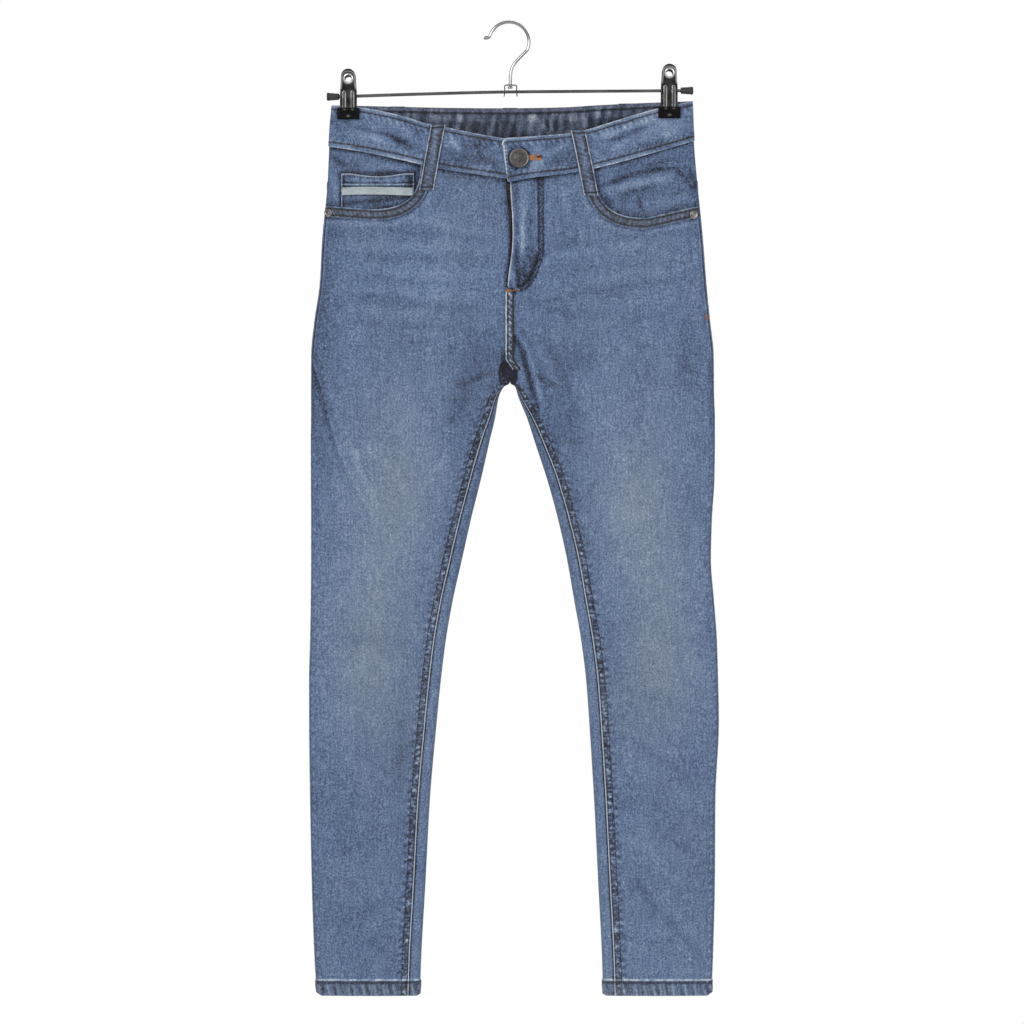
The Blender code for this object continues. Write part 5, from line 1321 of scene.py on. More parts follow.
def front_shell(side):
    across = np.linspace(0.0, 1.0, 47)
    seam_shares = side_seam(SEAM_Z) + (1.0 - side_seam(SEAM_Z)) * across
    lines = waist_line(side, FRONT, nominal_x(side, seam_shares), "seam") + 2.2
    rough = panel_rows(lines)
    start, end = side_seam(rough[:, 0]), front_inner(side, rough[:, -1])
    walk = (rough[:, -1], NEAR_EDGE, NEAR_SEAM, FRONT_COLUMNS)
    shares, from_side, from_centre = panel_grid(side, start, end, *walk)
    z, waist_gap = row_heights(across, rough, shares, start, end)
    x = tube(side, shares, z, folded=False)[..., 0]
    distance = mouth_gap(side, x, z)
    keep = distance[:-1, :-1] > MOUTH_CUT
    creases = crease_at(FRONT, x, z) * smooth_step(from_side, 0, 9) * smooth_step(from_centre, 2, 14)
    relief, tone, warm = front_form(side, x, z, creases, from_side, from_centre)
    tone = tone + seam_shade(x, distance, waist_gap)
    high, low = hem_depths(z)
    points, out = surface(side, shares, z)
    points[..., 0] += edge_shift(side, z) * smooth_step(-from_centre, -16, 0)
    points[..., 2] += hem_corner(x, z)
    outer, inner = stood(points, out, high + relief), stood(points, out, low + 0.5 * creases)
    made = shell(outer, inner, tone, np.clip(warm, 0, 1), keep)
    chain = (from_centre > 0.9) & (from_centre < CHAIN_WIDTH + 1.2) & (z < CROTCH_Z + 2.0)
    made.slots[: keep.sum()] = np.where((chain[:-1, :-1] & chain[1:, 1:])[keep], 2, 0)
    return made


def edge_shift(side, z):
    """How far the fly's edge swings from the straight edge of its solid."""
    heights = [row[0] for row in FLY_EDGES]
    edge = smooth_curve(z, heights, [row[1] for row in FLY_EDGES])
    gap = smooth_curve(z, heights, [row[2] for row in FLY_EDGES])
    on = smooth_step(z, FLY_LOW_Z - 3, FLY_LOW_Z + 3)
    lapped = -0.5 * window(z, CROTCH_Z + 2, -332, 2) if side == LEFT else 0.0
    return lapped + on * (edge - FLY_LEFT_EDGE if side == LEFT else edge - gap + FLY_RIGHT_EDGE)


def centre_strip():
    """The felled seam below the fly, puckered, with a worn edge on one side."""
    z = level_rows(CENTRE_STRIP["top"], CENTRE_STRIP["low"], 1.2)[:, None]
    v = ACROSS_STRIP
    x = CENTRE_STRIP["x"] + v + 7.0 * smooth_step(-z, 334, 348)
    wave = ripple(z + 0.9 * v, 5.4, 0.9)
    knots = np.clip(wave, 0.0, 1.0) ** 1.5 * window(v, 3.2, 6.2, 0.9)
    uneven = mottled(z / 2.6, v / 1.8, 71)
    tone = 1.90 * bump_at(v, 0.8, 0.75) - 1.20 * bump_at(v, 2.4, 0.8) - 0.32 + 1.5 * knots + 1.6 * uneven
    tone = tone - 1.15 * bump_at(v, 7.7, 1.1) - 0.60 * smooth_step(-z, 300, 346)
    high, low = thick(CENTRE_STRIP["out"], -0.6, rounded(np.minimum(v, v[-1] - v), 0.7))
    return layer_over(lay(FRONT, x, z), high + 0.35 * knots, low, tone, 0.42 * window(v, 2.4, 7.4, 0.8))[0]


def make_front(side):
    parts = [front_shell(side), mouth_band(side)]
    if side == LEFT:
        parts.append(centre_strip())
    obj = cloth("front_" + SIDE_NAMES[side], *parts, materials=("denim", "inside", "denim_chain"))


# ---------------------------------------------------------------- backs and yokes
def felled(distance, z, seed):
    """Relief and tone of a felled seam 8 mm wide, with two stitch rows."""
    wave = pucker(distance, z, 2.6, 5.8, 5.8, seed)
    strip = window(distance, 0, 7.6, 0.8)
    relief = 0.5 * strip + 0.30 * wave - 0.2 * bump_at(distance, 1.7, 0.5) - 0.2 * bump_at(distance, 6.5, 0.5)
    tone = -0.20 * strip + 0.40 * np.clip(wave, 0, 1) ** 2 + 0.40 * bump_at(distance, 7.6, 0.7)
    return relief, tone - 0.45 * bump_at(distance, 0, 0.6)


def back_shell(side):
    across = np.linspace(0.0, 1.0, 61)
    nominal = 1.0 + (1.0 + side_seam(SEAM_Z)) * across
    lines = yoke_line(nominal_x(side, nominal)) + 0.1
    rough = panel_rows(lines)
    start, end = back_inner(side, rough[:, 0]), 2.0 + side_seam(rough[:, -1])
    walk = (rough[:, 0], NEAR_SEAM, NEAR_EDGE, BACK_COLUMNS)
    shares, from_centre, from_side = panel_grid(side, start, end, *walk)
    z, top_gap = row_heights(across, rough, shares, start, end)
    x = tube(side, shares, z, folded=False)[..., 0]
    behind = smooth_step(np.mod(shares, 2), 1.04, 1.12) * smooth_step(from_side, 6, 22)
    creases = crease_at(BACK, x, z) * behind
    seat = smooth_step(z, CROTCH_Z, CROTCH_Z + 10)
    centre_relief, centre_tone = felled(from_centre, z, 1.7) if side == LEFT else (0.0, 0.0)
    yoke_relief, yoke_tone = felled(top_gap, x, 2.2)
    side_relief, side_tone = side_form(BACK, from_side, z, 2.0 + side)
    hem_relief, hem_tone = hem_form(x, z)
    high, low = hem_depths(z)
    relief = creases + seat * centre_relief + yoke_relief + side_relief + hem_relief
    # The creases are painted paler where they stand out and darker where they sink, as highlight and shade.
    tone = fade_and_shade(np.where(np.mod(shares, 2.0) > 1.0, BACK, FRONT), x, z) + 0.16 * np.clip(creases, -1.2, 1.2)
    tone = tone + seat * centre_tone + yoke_tone + side_tone + hem_tone
    tone = tone + behind * wear_and_shade(creases)
    # Painted shadow along the back's inseam edge below the crotch, where the front laps over it.
    tone = tone - (1.0 - seat) * (0.95 * bump_at(from_centre, 0.4, 1) - 0.06)
    points, out = surface(side, shares, z)
    points[..., 2] += hem_corner(x, z)
    warm = 0.35 * window(z, HEM_Z, HEM_Z + 12, 1)
    return layer_over((points, out), high + relief, low + 0.5 * creases, tone, warm)[0]


def make_back(side):
    obj = cloth("back_" + SIDE_NAMES[side], back_shell(side))


def make_yoke(side):
    across = np.linspace(0.0, 1.0, 110)
    shares = 1.0 + NOT_QUITE + (1.0 + side_seam(SEAM_Z)) * across
    x = nominal_x(side, shares)
    top = waist_line(side, BACK, x, "seam") + 2.2
    low = yoke_line(x) + 0.1
    down = np.linspace(0.0, 1.0, 24)[:, None]
    z = top + (low - top) * down
    end = 2.0 + side_seam(z[:, -1])[:, None]
    shares = 1.0 + NOT_QUITE + (end - 1.0) * across
    x = tube(side, shares, z, folded=False)[..., 0]
    creases = crease_at(BACK, x, z)
    # The tone follows the creases, painted paler where they stand out and darker where they sink, as
    # highlight and shade.
    tone = fade_and_shade(BACK, x, z) + 0.05 + 0.16 * creases - 0.35 * bump_at(top - z, 2.8, 1.4)
    made, area = layer_over(surface(side, shares, z), creases * 0.6, -DENIM, tone)
    obj = cloth("yoke_" + SIDE_NAMES[side], made)


# ---------------------------------------------------------------- waistband
def band_stations():
    """Each column's side, share and whether it is in the underlap, from there round the back to the lap."""
    under_end = float(share_at(LEFT, FRONT, UNDERLAP_END, WAIST_Z))
    runs = (
        (LEFT, np.linspace(under_end, 0.997, 12), True),
        (RIGHT, np.linspace(0.997, 0.905, 10), True),
        (RIGHT, np.linspace(0.895, -0.997, 200), False),
        (LEFT, np.linspace(-0.997, 0.997, 214), False),
    )
    columns = [np.broadcast_arrays(*run) for run in runs]
    return [np.concatenate(column) for column in zip(*columns)]


def lap_end(reaches, down):
    """The x and z of the lap's last columns, with its rounded upper corner."""
    top = waist_line(LEFT, FRONT, 0.0, "top")
    low = waist_line(LEFT, FRONT, 0.0, "seam") + SEAM_GAP / 2
    reach = np.asarray(reaches, float)[:, None]
    end = LAP_END_TOP + (LAP_END_LOW - LAP_END_TOP) * down
    left_over = abs(LAP_END_TOP) * (1.0 - reach)
    inset = np.maximum(0.0, LAP_CORNER - left_over)
    corner = LAP_CORNER - np.sqrt(np.maximum(0.0, LAP_CORNER**2 - inset**2))
    return end * reach, (top - corner) + (low - top + corner) * down


def band_frame(lengths):
    """Columns of points down the band, the directions out of it, and each point's x, z and face."""
    side, share, under = band_stations()
    down = np.asarray(lengths, float) / BAND_LONG
    shape = (len(side), len(down))
    points, out = np.zeros((2, *shape, 3))
    x, z = np.zeros(len(side)), np.zeros(shape)
    for half in (RIGHT, LEFT):
        here = side == half
        x[here] = nominal_x(half, share[here])
        for face in (FRONT, BACK):
            both = here & ((share >= 0) == (face == FRONT))
            top = waist_line(half, face, x[both], "top")[:, None]
            low = waist_line(half, face, x[both], "seam")[:, None] + SEAM_GAP / 2
            z[both] = top + (low - top) * down
        points[here], out[here] = surface(half, share[here][:, None], z[here])
    lapped = (side == LEFT) & (share >= 0) & ~under
    lift = np.where(lapped, LAP_LIFT * (1.0 - smooth_step(x, *LAP_EASE)), 0.0)
    points += out * np.where(under, UNDERLAP_SINK, lift)[:, None, None]
    end_x, end_z = lap_end(LAP_REACHES, down)
    end_points, end_out = lay(FRONT, end_x, end_z)
    x = np.concatenate([np.repeat(x[:, None], len(down), axis=1), end_x])
    face = np.concatenate([np.where(share >= 0, FRONT, BACK), np.full(len(LAP_REACHES), FRONT)])[:, None]
    points = np.concatenate([points, end_points + end_out * LAP_LIFT])
    return points, np.concatenate([out, end_out]), x, np.concatenate([z, end_z]), face


def inside_shade(walked, lengths, gather):
    """The tone inside the waistband: a paler strip along its edge, then smudges where the cloth gathers, with
    painted highlight and shade on the gathers' folds.
    """
    coarse = patchy((walked + 0.3 * lengths) / 8.5, lengths / 15, 37)
    fine = patchy((walked - 0.2 * lengths) / 3.4, lengths / 9, 38)
    smudge = smooth_step(0.6 * coarse + 0.4 * fine, 0.44, 0.78)
    below = smooth_step(lengths, 4.4, 6.4)
    shade = -0.42 + 0.56 * smudge * below + 0.26 * gather + 0.5 * (fine - 0.5)
    strip = 0.55 * window(lengths, 0.9, 3.7, 0.7) - 0.60 * bump_at(lengths, 5, 1)
    strip = strip + 0.36 * window(lengths, 6, 11.5, 2)
    return shade + strip


def band_wear(walked, lengths, x):
    """The waistband's mottled tone, with its rubbed edges and the dark lines along its stitches, thread
    colour and painted shade of their grooves.
    """
    mottle = mottled((walked + 0.9 * lengths) / 8, (lengths - 0.25 * walked) / 6.5, 33)
    worn = patchy(walked / 5, 0, 35)
    rim = (0.3 + 0.8 * worn) * (1.0 - 0.75 * window(x, -68, 66, 8))
    rubbed = (0.35 + 0.9 * worn) * bump_at(lengths, 0.4, 0.7) + rim * bump_at(lengths, 39.8, 0.6)
    sewn = 0.75 * bump_at(lengths, BAND_TOP_ROW, 0.8) + 0.85 * bump_at(lengths, BAND_LOW_ROW, 0.9)
    return 0.34 * mottle + rubbed - sewn


def band_places(x, z, face, left_over):
    """Its tone at the lap's end, a painted shadow ringing the button, and from place to place along the
    front.
    """
    lap = 0.80 * bump_at(left_over, 0.4, 0.9) + 0.75 * bump_at(left_over, 2.2, 2)
    from_button = np.hypot(x - BUTTON["x"], z - BUTTON["z"]) + FAR_OFF * (face == BACK)
    level = np.interp(x, *zip(*BAND_LEVELS)) * (face == FRONT)
    return lap - 0.75 * bump_at(from_button, BUTTON["radius"] + 0.6, 1.3) + level


def make_waistband():
    lengths = DOWN_BAND
    points, out, x, z, face = band_frame(lengths)
    walked = walked_along(points[:, MIDDLE_ROW])[:, None]
    left_over = np.full((len(points), 1), FAR_OFF)
    left_over[-len(LAP_REACHES) :, 0] = abs(LAP_END_TOP) * (1.0 - LAP_REACHES)

    upper = ripple(walked + 0.5 * lengths, 6.4, 1.1) * window(lengths, 5.2, 9.5, 2)
    lower = ripple(walked - 0.5 * lengths, 5.6, 2.6) * window(lengths, 30, 35.5, 2)
    creases = folds_at(BAND_CREASES, face, x, z)
    uneven = 0.5 * mottled(walked / 17, lengths / 13, 31)
    relief = 0.16 * upper + 0.14 * lower + creases + 0.4 * uneven
    relief = relief - 0.18 * bump_at(lengths, BAND_TOP_ROW, 0.7) - 0.18 * bump_at(lengths, BAND_LOW_ROW, 0.7)
    gather = ripple(walked + 0.2 * lengths, 10.5, 0.3) * window(lengths, 5, 36, 3)
    fullness = rounded(np.minimum(lengths, BAND_LONG - lengths), 1.1) * rounded(left_over, 1.1)
    high, low = thick(BAND_OUT, BAND_IN, fullness)
    outer = stood(points, out, high + relief * fullness)
    inner = stood(points, out, low - 0.25 * gather * fullness)

    # The creases are painted paler on their ridges and darker in their hollows, as highlight and shade.
    tone = 0.9 * uneven + 0.85 * np.clip(creases, -0.8, 0.8) + 0.24 * upper + 0.26 * lower
    tone = tone + band_wear(walked, lengths, x) + band_places(x, z, face, left_over)
    warm = 0.30 * bump_at(lengths, BAND_TOP_ROW, 1.6) + 0.35 * bump_at(lengths, BAND_LOW_ROW, 1.6)
    made = shell(outer, inner, tone, warm, inside_tone=inside_shade(walked, lengths, gather))
    obj = cloth("waistband", made, materials=("denim_band", "inside"))


# ---------------------------------------------------------------- pockets
def make_facing(side):
    mouth = MOUTHS[side]
    under = FACING_UNDER + (COIN_CLOTH + SEAM_GAP if side == RIGHT else 0.0)
    across = np.linspace(0.0, 1.0, 74)
    inner_x = side * (mouth.inner_x - FACING_SPREAD)
    z_low = mouth.low_z - FACING_SPREAD
    start, end = float(side_seam(FACING_Z)), float(share_at(side, FRONT, inner_x, FACING_Z))
    nominal = start + (end - start) * across
    top = waist_line(side, FRONT, nominal_x(side, nominal), "seam") + 0.6
    z = top + (z_low - top) * np.linspace(0.0, 1.0, 56)[:, None]
    first = side_seam(z[:, 0])[:, None]
    shares = first + (end - first) * across
    beside = smooth_step(-shares, -FOLD_SHARE, -FOLD_SHARE / 2)
    above = smooth_step(z - mouth.side_z, *FACING_RISE)
    out = -under + under * beside * above
    x = tube(side, shares, z, folded=False)[..., 0]
    creases = folds_at(FACING_CREASES, FRONT, x, z)
    fine = 0.4 * mottled(x / 14, z / 12, 41 + side)
    drop, depth = top - z, mouth_distance(side, x, z)
    mottle = mottled((x + 0.6 * z) / 9, (z - 0.4 * x) / 5, 43)
    # Painted highlight and shade follow the creases; painted shade lies just under the waist seam and inside
    # the pocket mouth's edge.
    tone = 0.46 * np.clip(creases, -1.3, 1.3) + 0.5 * fine + 0.14 * mottle - 0.40 * bump_at(drop, 1.6, 1.6)
    tone = tone - 0.34 * smooth_step(depth, -10, 0) - 0.12
    if side == RIGHT:
        tone = tone - 0.60 * beside_coin_pocket(x, z)
    made, area = layer_over(surface(side, shares, z), out + creases + fine, out - DENIM, tone)
    cloth("pocket_facing_" + SIDE_NAMES[side], made)


def beside_coin_pocket(x, z):
    """1 against the small pocket's side and top, where its shadow lies, and 0 a little way off."""
    x0, x1 = COIN_POCKET["x"]
    beyond_side = np.maximum(x0 - x, x - x1)
    beyond_top = z - COIN_POCKET["top"]
    return bump_at(np.hypot(np.maximum(beyond_side, 0), np.maximum(beyond_top, 0)), 0, 2.4)


def flat_patch(xs, zs, out, cloth, round_at=1.0):
    """The outer and inner depth of a patch with folded edges, and the distance from the nearest edge."""
    u = edge_distance(xs, zs)
    high, low = thick(out + cloth, out, rounded(u, round_at))
    return high, low, u


def edge_distance(xs, zs):
    """How far each point of a grid lies from the grid's own nearest edge."""
    down, across = (
        np.pad(np.hypot(np.diff(xs, axis=axis), np.diff(zs, axis=axis)).cumsum(axis=axis), pad)
        for axis, pad in ((0, ((1, 0), (0, 0))), (1, ((0, 0), (1, 0))))
    )
    return np.minimum(np.minimum(across, across[:, -1:] - across), np.minimum(down, down[-1:] - down))


def close_ends(count, ends=(0.0, 0.25, 0.7, 1.4, 2.2), length=1.0):
    """Distances from 0 to a length, close together at both ends."""
    return spread(length, ends, ends, count)


def make_coin_pocket():
    (x0, x1), top = COIN_POCKET["x"], COIN_POCKET["top"]
    xs = x0 + close_ends(40, length=x1 - x0)
    drop = close_ends(30, length=top - COIN_POCKET["low"])[:, None]
    dip = 3.0 * np.sin(np.pi * np.clip((xs - x0 - 8.0) / (x1 - x0 - 16.0), 0.0, 1.0)) ** 1.2
    zs = top - drop - dip * np.clip(1.0 - drop / 14.0, 0.0, 1.0)
    xs = np.broadcast_to(xs, zs.shape)
    high, low, u = flat_patch(xs, zs, -FACING_UNDER - COIN_CLOTH, COIN_CLOTH)
    wave = ripple(xs + 0.3 * zs, 8.5, 1.9)
    hem = window(drop, 3, 10, 1.5)
    fine = 0.35 * mottled(xs / 11, zs / 9, 47)
    bag = window(drop, 23, 40, 3)
    relief = 0.16 * wave * hem + fine + 0.5 * bag * np.sin((xs - x0) / 14.0 + 0.6)
    lip = window(xs, x0 + 12, x1 - 11, 3) * bump_at(drop, 5.4, 4.2)
    folds = bump_at(drop + 0.10 * (xs - x0), 30.5, 2.6) + bump_at(drop + 0.16 * (xs - x0), 42, 3)
    tone = 0.10 * wave * hem + 0.8 * fine + 0.85 * bump_at(u, 0.4, 0.6) - 0.45 * bump_at(u, 2.1, 0.6)
    # The bag's folds are painted dark as shade.
    tone = tone + 0.42 * lip - 0.24 * hem - 0.12 - 0.40 * folds * bag
    tape_top, tape_low = COIN_TAPE["top"], COIN_TAPE["low"]
    from_tape = np.abs(zs - (tape_top + tape_low) / 2) - (tape_top - tape_low) / 2
    above = zs > tape_top - 2.0
    # Painted shade lies along the tape's edges.
    tone = tone + 0.75 * above * bump_at(from_tape, 2.2, 0.9) - 0.70 * bump_at(from_tape, 0.6, 0.9)
    tone = tone - 0.50 * above * bump_at(from_tape, 4, 0.8)
    tone = tone - 0.12 * smooth_step(drop, 22, 33) - 0.30 * smooth_step(xs, -112, -98)
    made, area = layer_over(lay(FRONT, xs, zs), high + relief, low, tone)
    obj = cloth("coin_pocket", made)
    make_coin_tape()


def make_coin_tape():
    x0, x1 = COIN_TAPE["x"]
    xs = np.linspace(x0, x1, 44)
    drop = close_ends(6, (0.0, 0.2, 0.5), COIN_TAPE["top"] - COIN_TAPE["low"])[:, None]
    zs = COIN_TAPE["top"] - drop + 0.7 * np.sin((xs - x0) / 17.0) - 0.6
    xs = np.broadcast_to(xs, zs.shape)
    high, low, _ = flat_patch(xs, zs, -FACING_UNDER + 0.15, TAPE_CLOTH, 0.5)
    made, _ = layer_over(lay(FRONT, xs, zs), high, low, 0.0)
    return build("cloth_coin_tape", [made], ("tape", "tape"), "cotton_tape", "coin_tape")


def make_back_pocket(side):
    pocket = BACK_POCKET
    across, down = (close_ends(count, (0.0, 0.003, 0.008, 0.014, 0.022)) for count in (48, 52))
    down = down[:, None]
    top_x = pocket["inner"] + (pocket["outer"] - pocket["inner"]) * across
    low_x = top_x + pocket["taper"] * (1 - 2 * across)
    foot = pocket["side"] + (pocket["point"] - pocket["side"]) * (1 - np.abs(2 * across - 1))
    xs = side * (top_x * (1 - down) + low_x * down)
    zs = pocket["top"] * (1 - down) + foot * down
    high, low, u = flat_patch(xs, zs, SEAM_GAP, DENIM)
    drop = pocket["top"] - zs
    wave = ripple(drop + np.abs(xs), 6.2, 0.6) * window(u, 2.2, 6.6, 1)
    hem = window(drop, 2, 13, 1)
    fine = 0.5 * mottled(xs / 16, zs / 20, 53 + side)
    relief = 0.2 * wave + fine + 0.16 * ripple(xs, 9, 1.2) * hem
    tone = 0.10 + 0.6 * bump_at(u, 0.4, 0.8) + 0.22 * wave - 0.2 * bump_at(u, 1.9, 0.7)
    tone = tone - 0.2 * bump_at(u, 7.9, 0.7) - 0.25 * bump_at(drop, 14, 0.9) + 0.3 * fine
    made, area = layer_over(lay(BACK, xs, zs), high + relief, low, tone)
    cloth("back_pocket_" + SIDE_NAMES[side], made)


# ---------------------------------------------------------------- belt loops
def loop_frame(loop, across, down):
    """The x, z and height over the panels of a belt loop, from -1 to 1 across it and 0 to 1 down it."""
    side = RIGHT if loop.top_x < 0 else LEFT
    top_z = float(waist_line(side, loop.face, loop.top_x, "top")) + 0.6
    seam_z = float(waist_line(side, loop.face, loop.low_x, "seam"))
    z = top_z + (loop.low_z - top_z) * down
    x = loop.top_x + (loop.low_x - loop.top_x) * down + across * LOOP_WIDTH / 2
    on_band = smooth_step(z, seam_z - 4, seam_z + 1.5)
    under = SEAM_GAP + 0.2 + BAND_OUT * on_band + LOOP_BULGE * np.sin(np.pi * down) ** 0.8
    lapped = loop.face == FRONT and loop.top_x > 0
    lift = LAP_LIFT * (1 - smooth_step(x, *LAP_EASE)) if lapped else 0.0
    return x, z, under + lift


def make_belt_loop(loop):
    across = close_ends(9, (0.0, 0.3, 0.8, 1.4), LOOP_WIDTH) / LOOP_WIDTH * 2 - 1
    length = abs(loop.low_z + 100.0)
    down = close_ends(40, (0.0, 0.3, 0.8, 1.6), length)[:, None] / length
    x, z, under = np.broadcast_arrays(*loop_frame(loop, across, down))
    high, low, u = flat_patch(x, z, under, LOOP_CLOTH)
    v = (1 - np.abs(across)) * LOOP_WIDTH / 2
    wave = ripple(z + 0.4 * x, 4.4, 0.5 + loop.top_x) * window(v, 2.4, 8, 0.8)
    relief = 0.22 * wave - 0.15 * bump_at(v, 1.9, 0.5)
    uneven = mottled(z / 4, x / 3, 81)
    tone = -0.46 + (1.15 + 0.8 * uneven) * bump_at(v, 0.35, 0.6) + 0.34 * np.clip(wave, -0.5, 1)
    tone = tone + 0.6 * uneven - 0.55 * bump_at(v, 2, 0.8)
    tone = tone + 0.34 * bump_at(v, 6.6, 2.2) + 0.5 * bump_at(u, 0.3, 0.5)
    warm = 0.36 * window(v, 1.2, 8, 0.6)
    made, area = layer_over(lay(loop.face, x, z), high + relief, low, tone, warm)
    cloth(loop.name, made)


# ---------------------------------------------------------------- sewing
def threads(centre, up, radius):
    """Rounded threads along lines of five points each, which dip into the cloth at both ends."""
    way = np.gradient(centre, axis=1)
    way /= np.linalg.norm(way, axis=-1, keepdims=True)
    beside = np.cross(way, up)
    centre = centre + up * (THREAD_HEIGHTS * radius)[None, :, None]
    turns = np.arange(THREAD_SIDES) * 2 * np.pi / THREAD_SIDES
    across, over = np.cos(turns)[None, None, :, None], np.sin(turns)[None, None, :, None]
    ring = beside[:, :, None] * across + up[:, :, None] * over
    rings = centre[:, :, None] + ring * (THREAD_WIDTHS * radius)[None, :, None, None]
    count = len(centre)
    index = np.arange(count * 5 * THREAD_SIDES).reshape(count, 5, THREAD_SIDES)
    after = np.roll(index, -1, axis=2)
    side = np.stack([index[:, :-1], after[:, :-1], after[:, 1:], index[:, 1:]], -1).reshape(-1, 4)
    first, last = index[:, 0], index[:, -1]
    caps = [first[:, [0, 5, 4, 3]], first[:, [0, 3, 2, 1]], last[:, [0, 1, 2, 3]], last[:, [0, 3, 4, 5]]]
    return solid(rings.reshape(-1, 3), np.concatenate([side, *caps]))


def stitch_row(points, out, length=STITCH["length"], gap=STITCH["gap"], radius=STITCH["radius"]):
    """A row of stitches along a line."""
    along = walked_along(points)
    starts = np.arange(int(along[-1] / (length + gap))) * (length + gap) + gap / 2
    at = starts[:, None] + THREAD_SHIFTS * length
    centre = np.stack([np.interp(at, along, points[:, i]) for i in range(3)], -1)
    up = np.stack([np.interp(at, along, out[:, i]) for i in range(3)], -1)
    return threads(centre, up / np.linalg.norm(up, axis=-1, keepdims=True), radius)


def bars(face, starts, ends, out, radius=STITCH["radius"]):
    """One thread from each start to its end, as (x, z), laid on the cloth."""
    share = THREAD_SHIFTS[None, :, None]
    flat = starts[:, None] * (1 - share) + ends[:, None] * share
    points, up = lay(face, flat[..., 0], flat[..., 1])
    return threads(points + up * out, up, radius)


def surface_row(face, line, out):
    """A line of (x, z) laid on the cloth at a height, with the cloth's own direction out."""
    line = even_steps(np.asarray(line, float), 1.2)
    points, up = lay(face, line[:, 0], line[:, 1])
    return points + up * out, up


def panel_row(side, shares, z, distance, out):
    """A line beside a panel's edge, so many millimetres from it."""
    speed = np.linalg.norm(slope(side, shares, z), axis=-1)
    points, up = surface(side, shares + distance / speed, z)
    return points + up * out, up


def round_line(points, steps=14):
    """A smooth line through a few chosen points."""
    points = np.asarray(points, float)
    at = walked_along(points)
    dense = np.linspace(0.0, at[-1], steps * len(points))
    return np.stack([smooth_curve(dense, at, points[:, i]) for i in range(2)], -1)


def leg_rows(side):
    """Stitches beside the inseam."""
    z = level_rows(CROTCH_Z - 12.0, HEM_Z + 2.0, 3.0)
    return [panel_row(side, inseam(side, z), z, -distance, 0.75) for distance in INSEAM_ROWS]


def hem_rows(side):
    """The coarser row round each hem."""
    rows = []
    for start, end in ((side_seam(HEM_Z), 1.0), (1.0, 2.0)):
        shares = np.linspace(float(start), end, 60)
        points, up = surface(side, shares, HEM_Z + HEM_DEPTH - HEM_ROW)
        rows.append((points + up * HEM_OUT, up))
    return rows


def mouth_rows(side):
    line = mouth_curve(side)
    rows = []
    for distance in MOUTH_ROWS:
        moved = line + across_line(line, side) * distance
        moved = moved[np.abs(moved[:, 0]) < seam_x(side, moved[:, 1]) - 0.8]
        rows.append(surface_row(FRONT, moved, 0.72))
    return rows


def band_rows():
    """Both stitch rows of the waistband, outside, and the row inside its back."""
    shown = np.append(~band_stations()[2], np.zeros(len(LAP_REACHES), bool))
    outside, inside = BAND_OUT - 0.05, BAND_IN - 0.1
    rows = []
    for distance, height in ((BAND_TOP_ROW, outside), (BAND_LOW_ROW, outside), (BAND_INSIDE_ROW, inside)):
        points, out, *_ = band_frame((distance,))
        points, out = points[shown, 0], out[shown, 0]
        rows.append((points + out * height, out * math.copysign(1.0, height)))
    return rows


def lap_rows():
    x, z = lap_end((0.66,), np.linspace(0.10, 0.97, 30))
    points, up = lay(FRONT, x[0], z[0])
    return [(points + up * (LAP_LIFT + BAND_OUT - 0.05), up)]


def loop_rows(loop):
    rows = []
    down = np.linspace(0.02, 0.98, 60)
    for v in (-0.72, 0.72):
        x, z, under = loop_frame(loop, v, down)
        points, up = lay(loop.face, x, z)
        rows.append((stood(points, up, under + LOOP_CLOTH - 0.05), up))
    return rows


def bartack(face, line, out, width, count):
    """A dense bar of short threads across a line, each slanting the other way from the last."""
    line = even_steps(np.asarray(line, float), np.hypot(*np.subtract(line[-1], line[0])) / count)
    way = across_line(line, 1) * width / 2
    slant = np.where(np.arange(len(line)) % 2, 0.35, -0.35)[:, None]
    return bars(face, line - way + slant, line + way - slant, out)


def loop_tacks(loop):
    tacks = []
    for down in (0.045, 0.955):
        x, z, under = loop_frame(loop, np.array([-0.86, 0.86]), np.full(2, down))
        tacks.append(bartack(loop.face, np.stack([x, z], -1), under.mean() + LOOP_CLOTH - 0.1, 2.2, 17))
    return tacks


def yoke_rows():
    rows = []
    for side in (RIGHT, LEFT):
        x = side * np.linspace(2.0, 180.0, 90)
        for down in YOKE_ROWS:
            rows.append(surface_row(BACK, np.stack([x, yoke_line(x) - down], -1), 0.45))
    for x in SEAT_ROWS:
        z = np.linspace(YOKE_CENTRE_Z - 2.0, CROTCH_Z + 6.0, 90)
        rows.append(surface_row(BACK, np.stack([np.full(z.shape, x), z], -1), 0.45))
    return rows


def pocket_rows(side):
    """Two rows round each back pocket and one across its hem."""
    inner, outer, top, side_z, point, taper = BACK_POCKET.values()
    lines = [[(inner + 2.0, top - 14.0), (outer - 2.0, top - 14.0)]]
    for inset in reversed(POCKET_ROWS):
        left, right, up = inner + inset, outer - inset, inset * 1.05
        line = [(left, top - 1.0), (left + taper, side_z + up), ((inner + outer) / 2, point + up)]
        lines.insert(0, [*line, (right - taper, side_z + up), (right, top - 1.0)])
    return [surface_row(BACK, [(side * x, z) for x, z in line], SEAM_GAP + DENIM) for line in lines]


def coin_rows():
    x0, x1 = COIN_POCKET["x"][0] + 2.0, COIN_POCKET["x"][1] - 2.0
    top, low = COIN_POCKET["top"], MOUTHS[RIGHT].low_z
    lines = (
        [(x0, top - 1.0), (x0, low)],
        [(x1, top - 1.0), (x1, -176.0)],
        [(x0, top - 12.6), (x1, top - 12.6)],
    )
    return [surface_row(FRONT, line, -FACING_UNDER + 0.05) for line in lines]


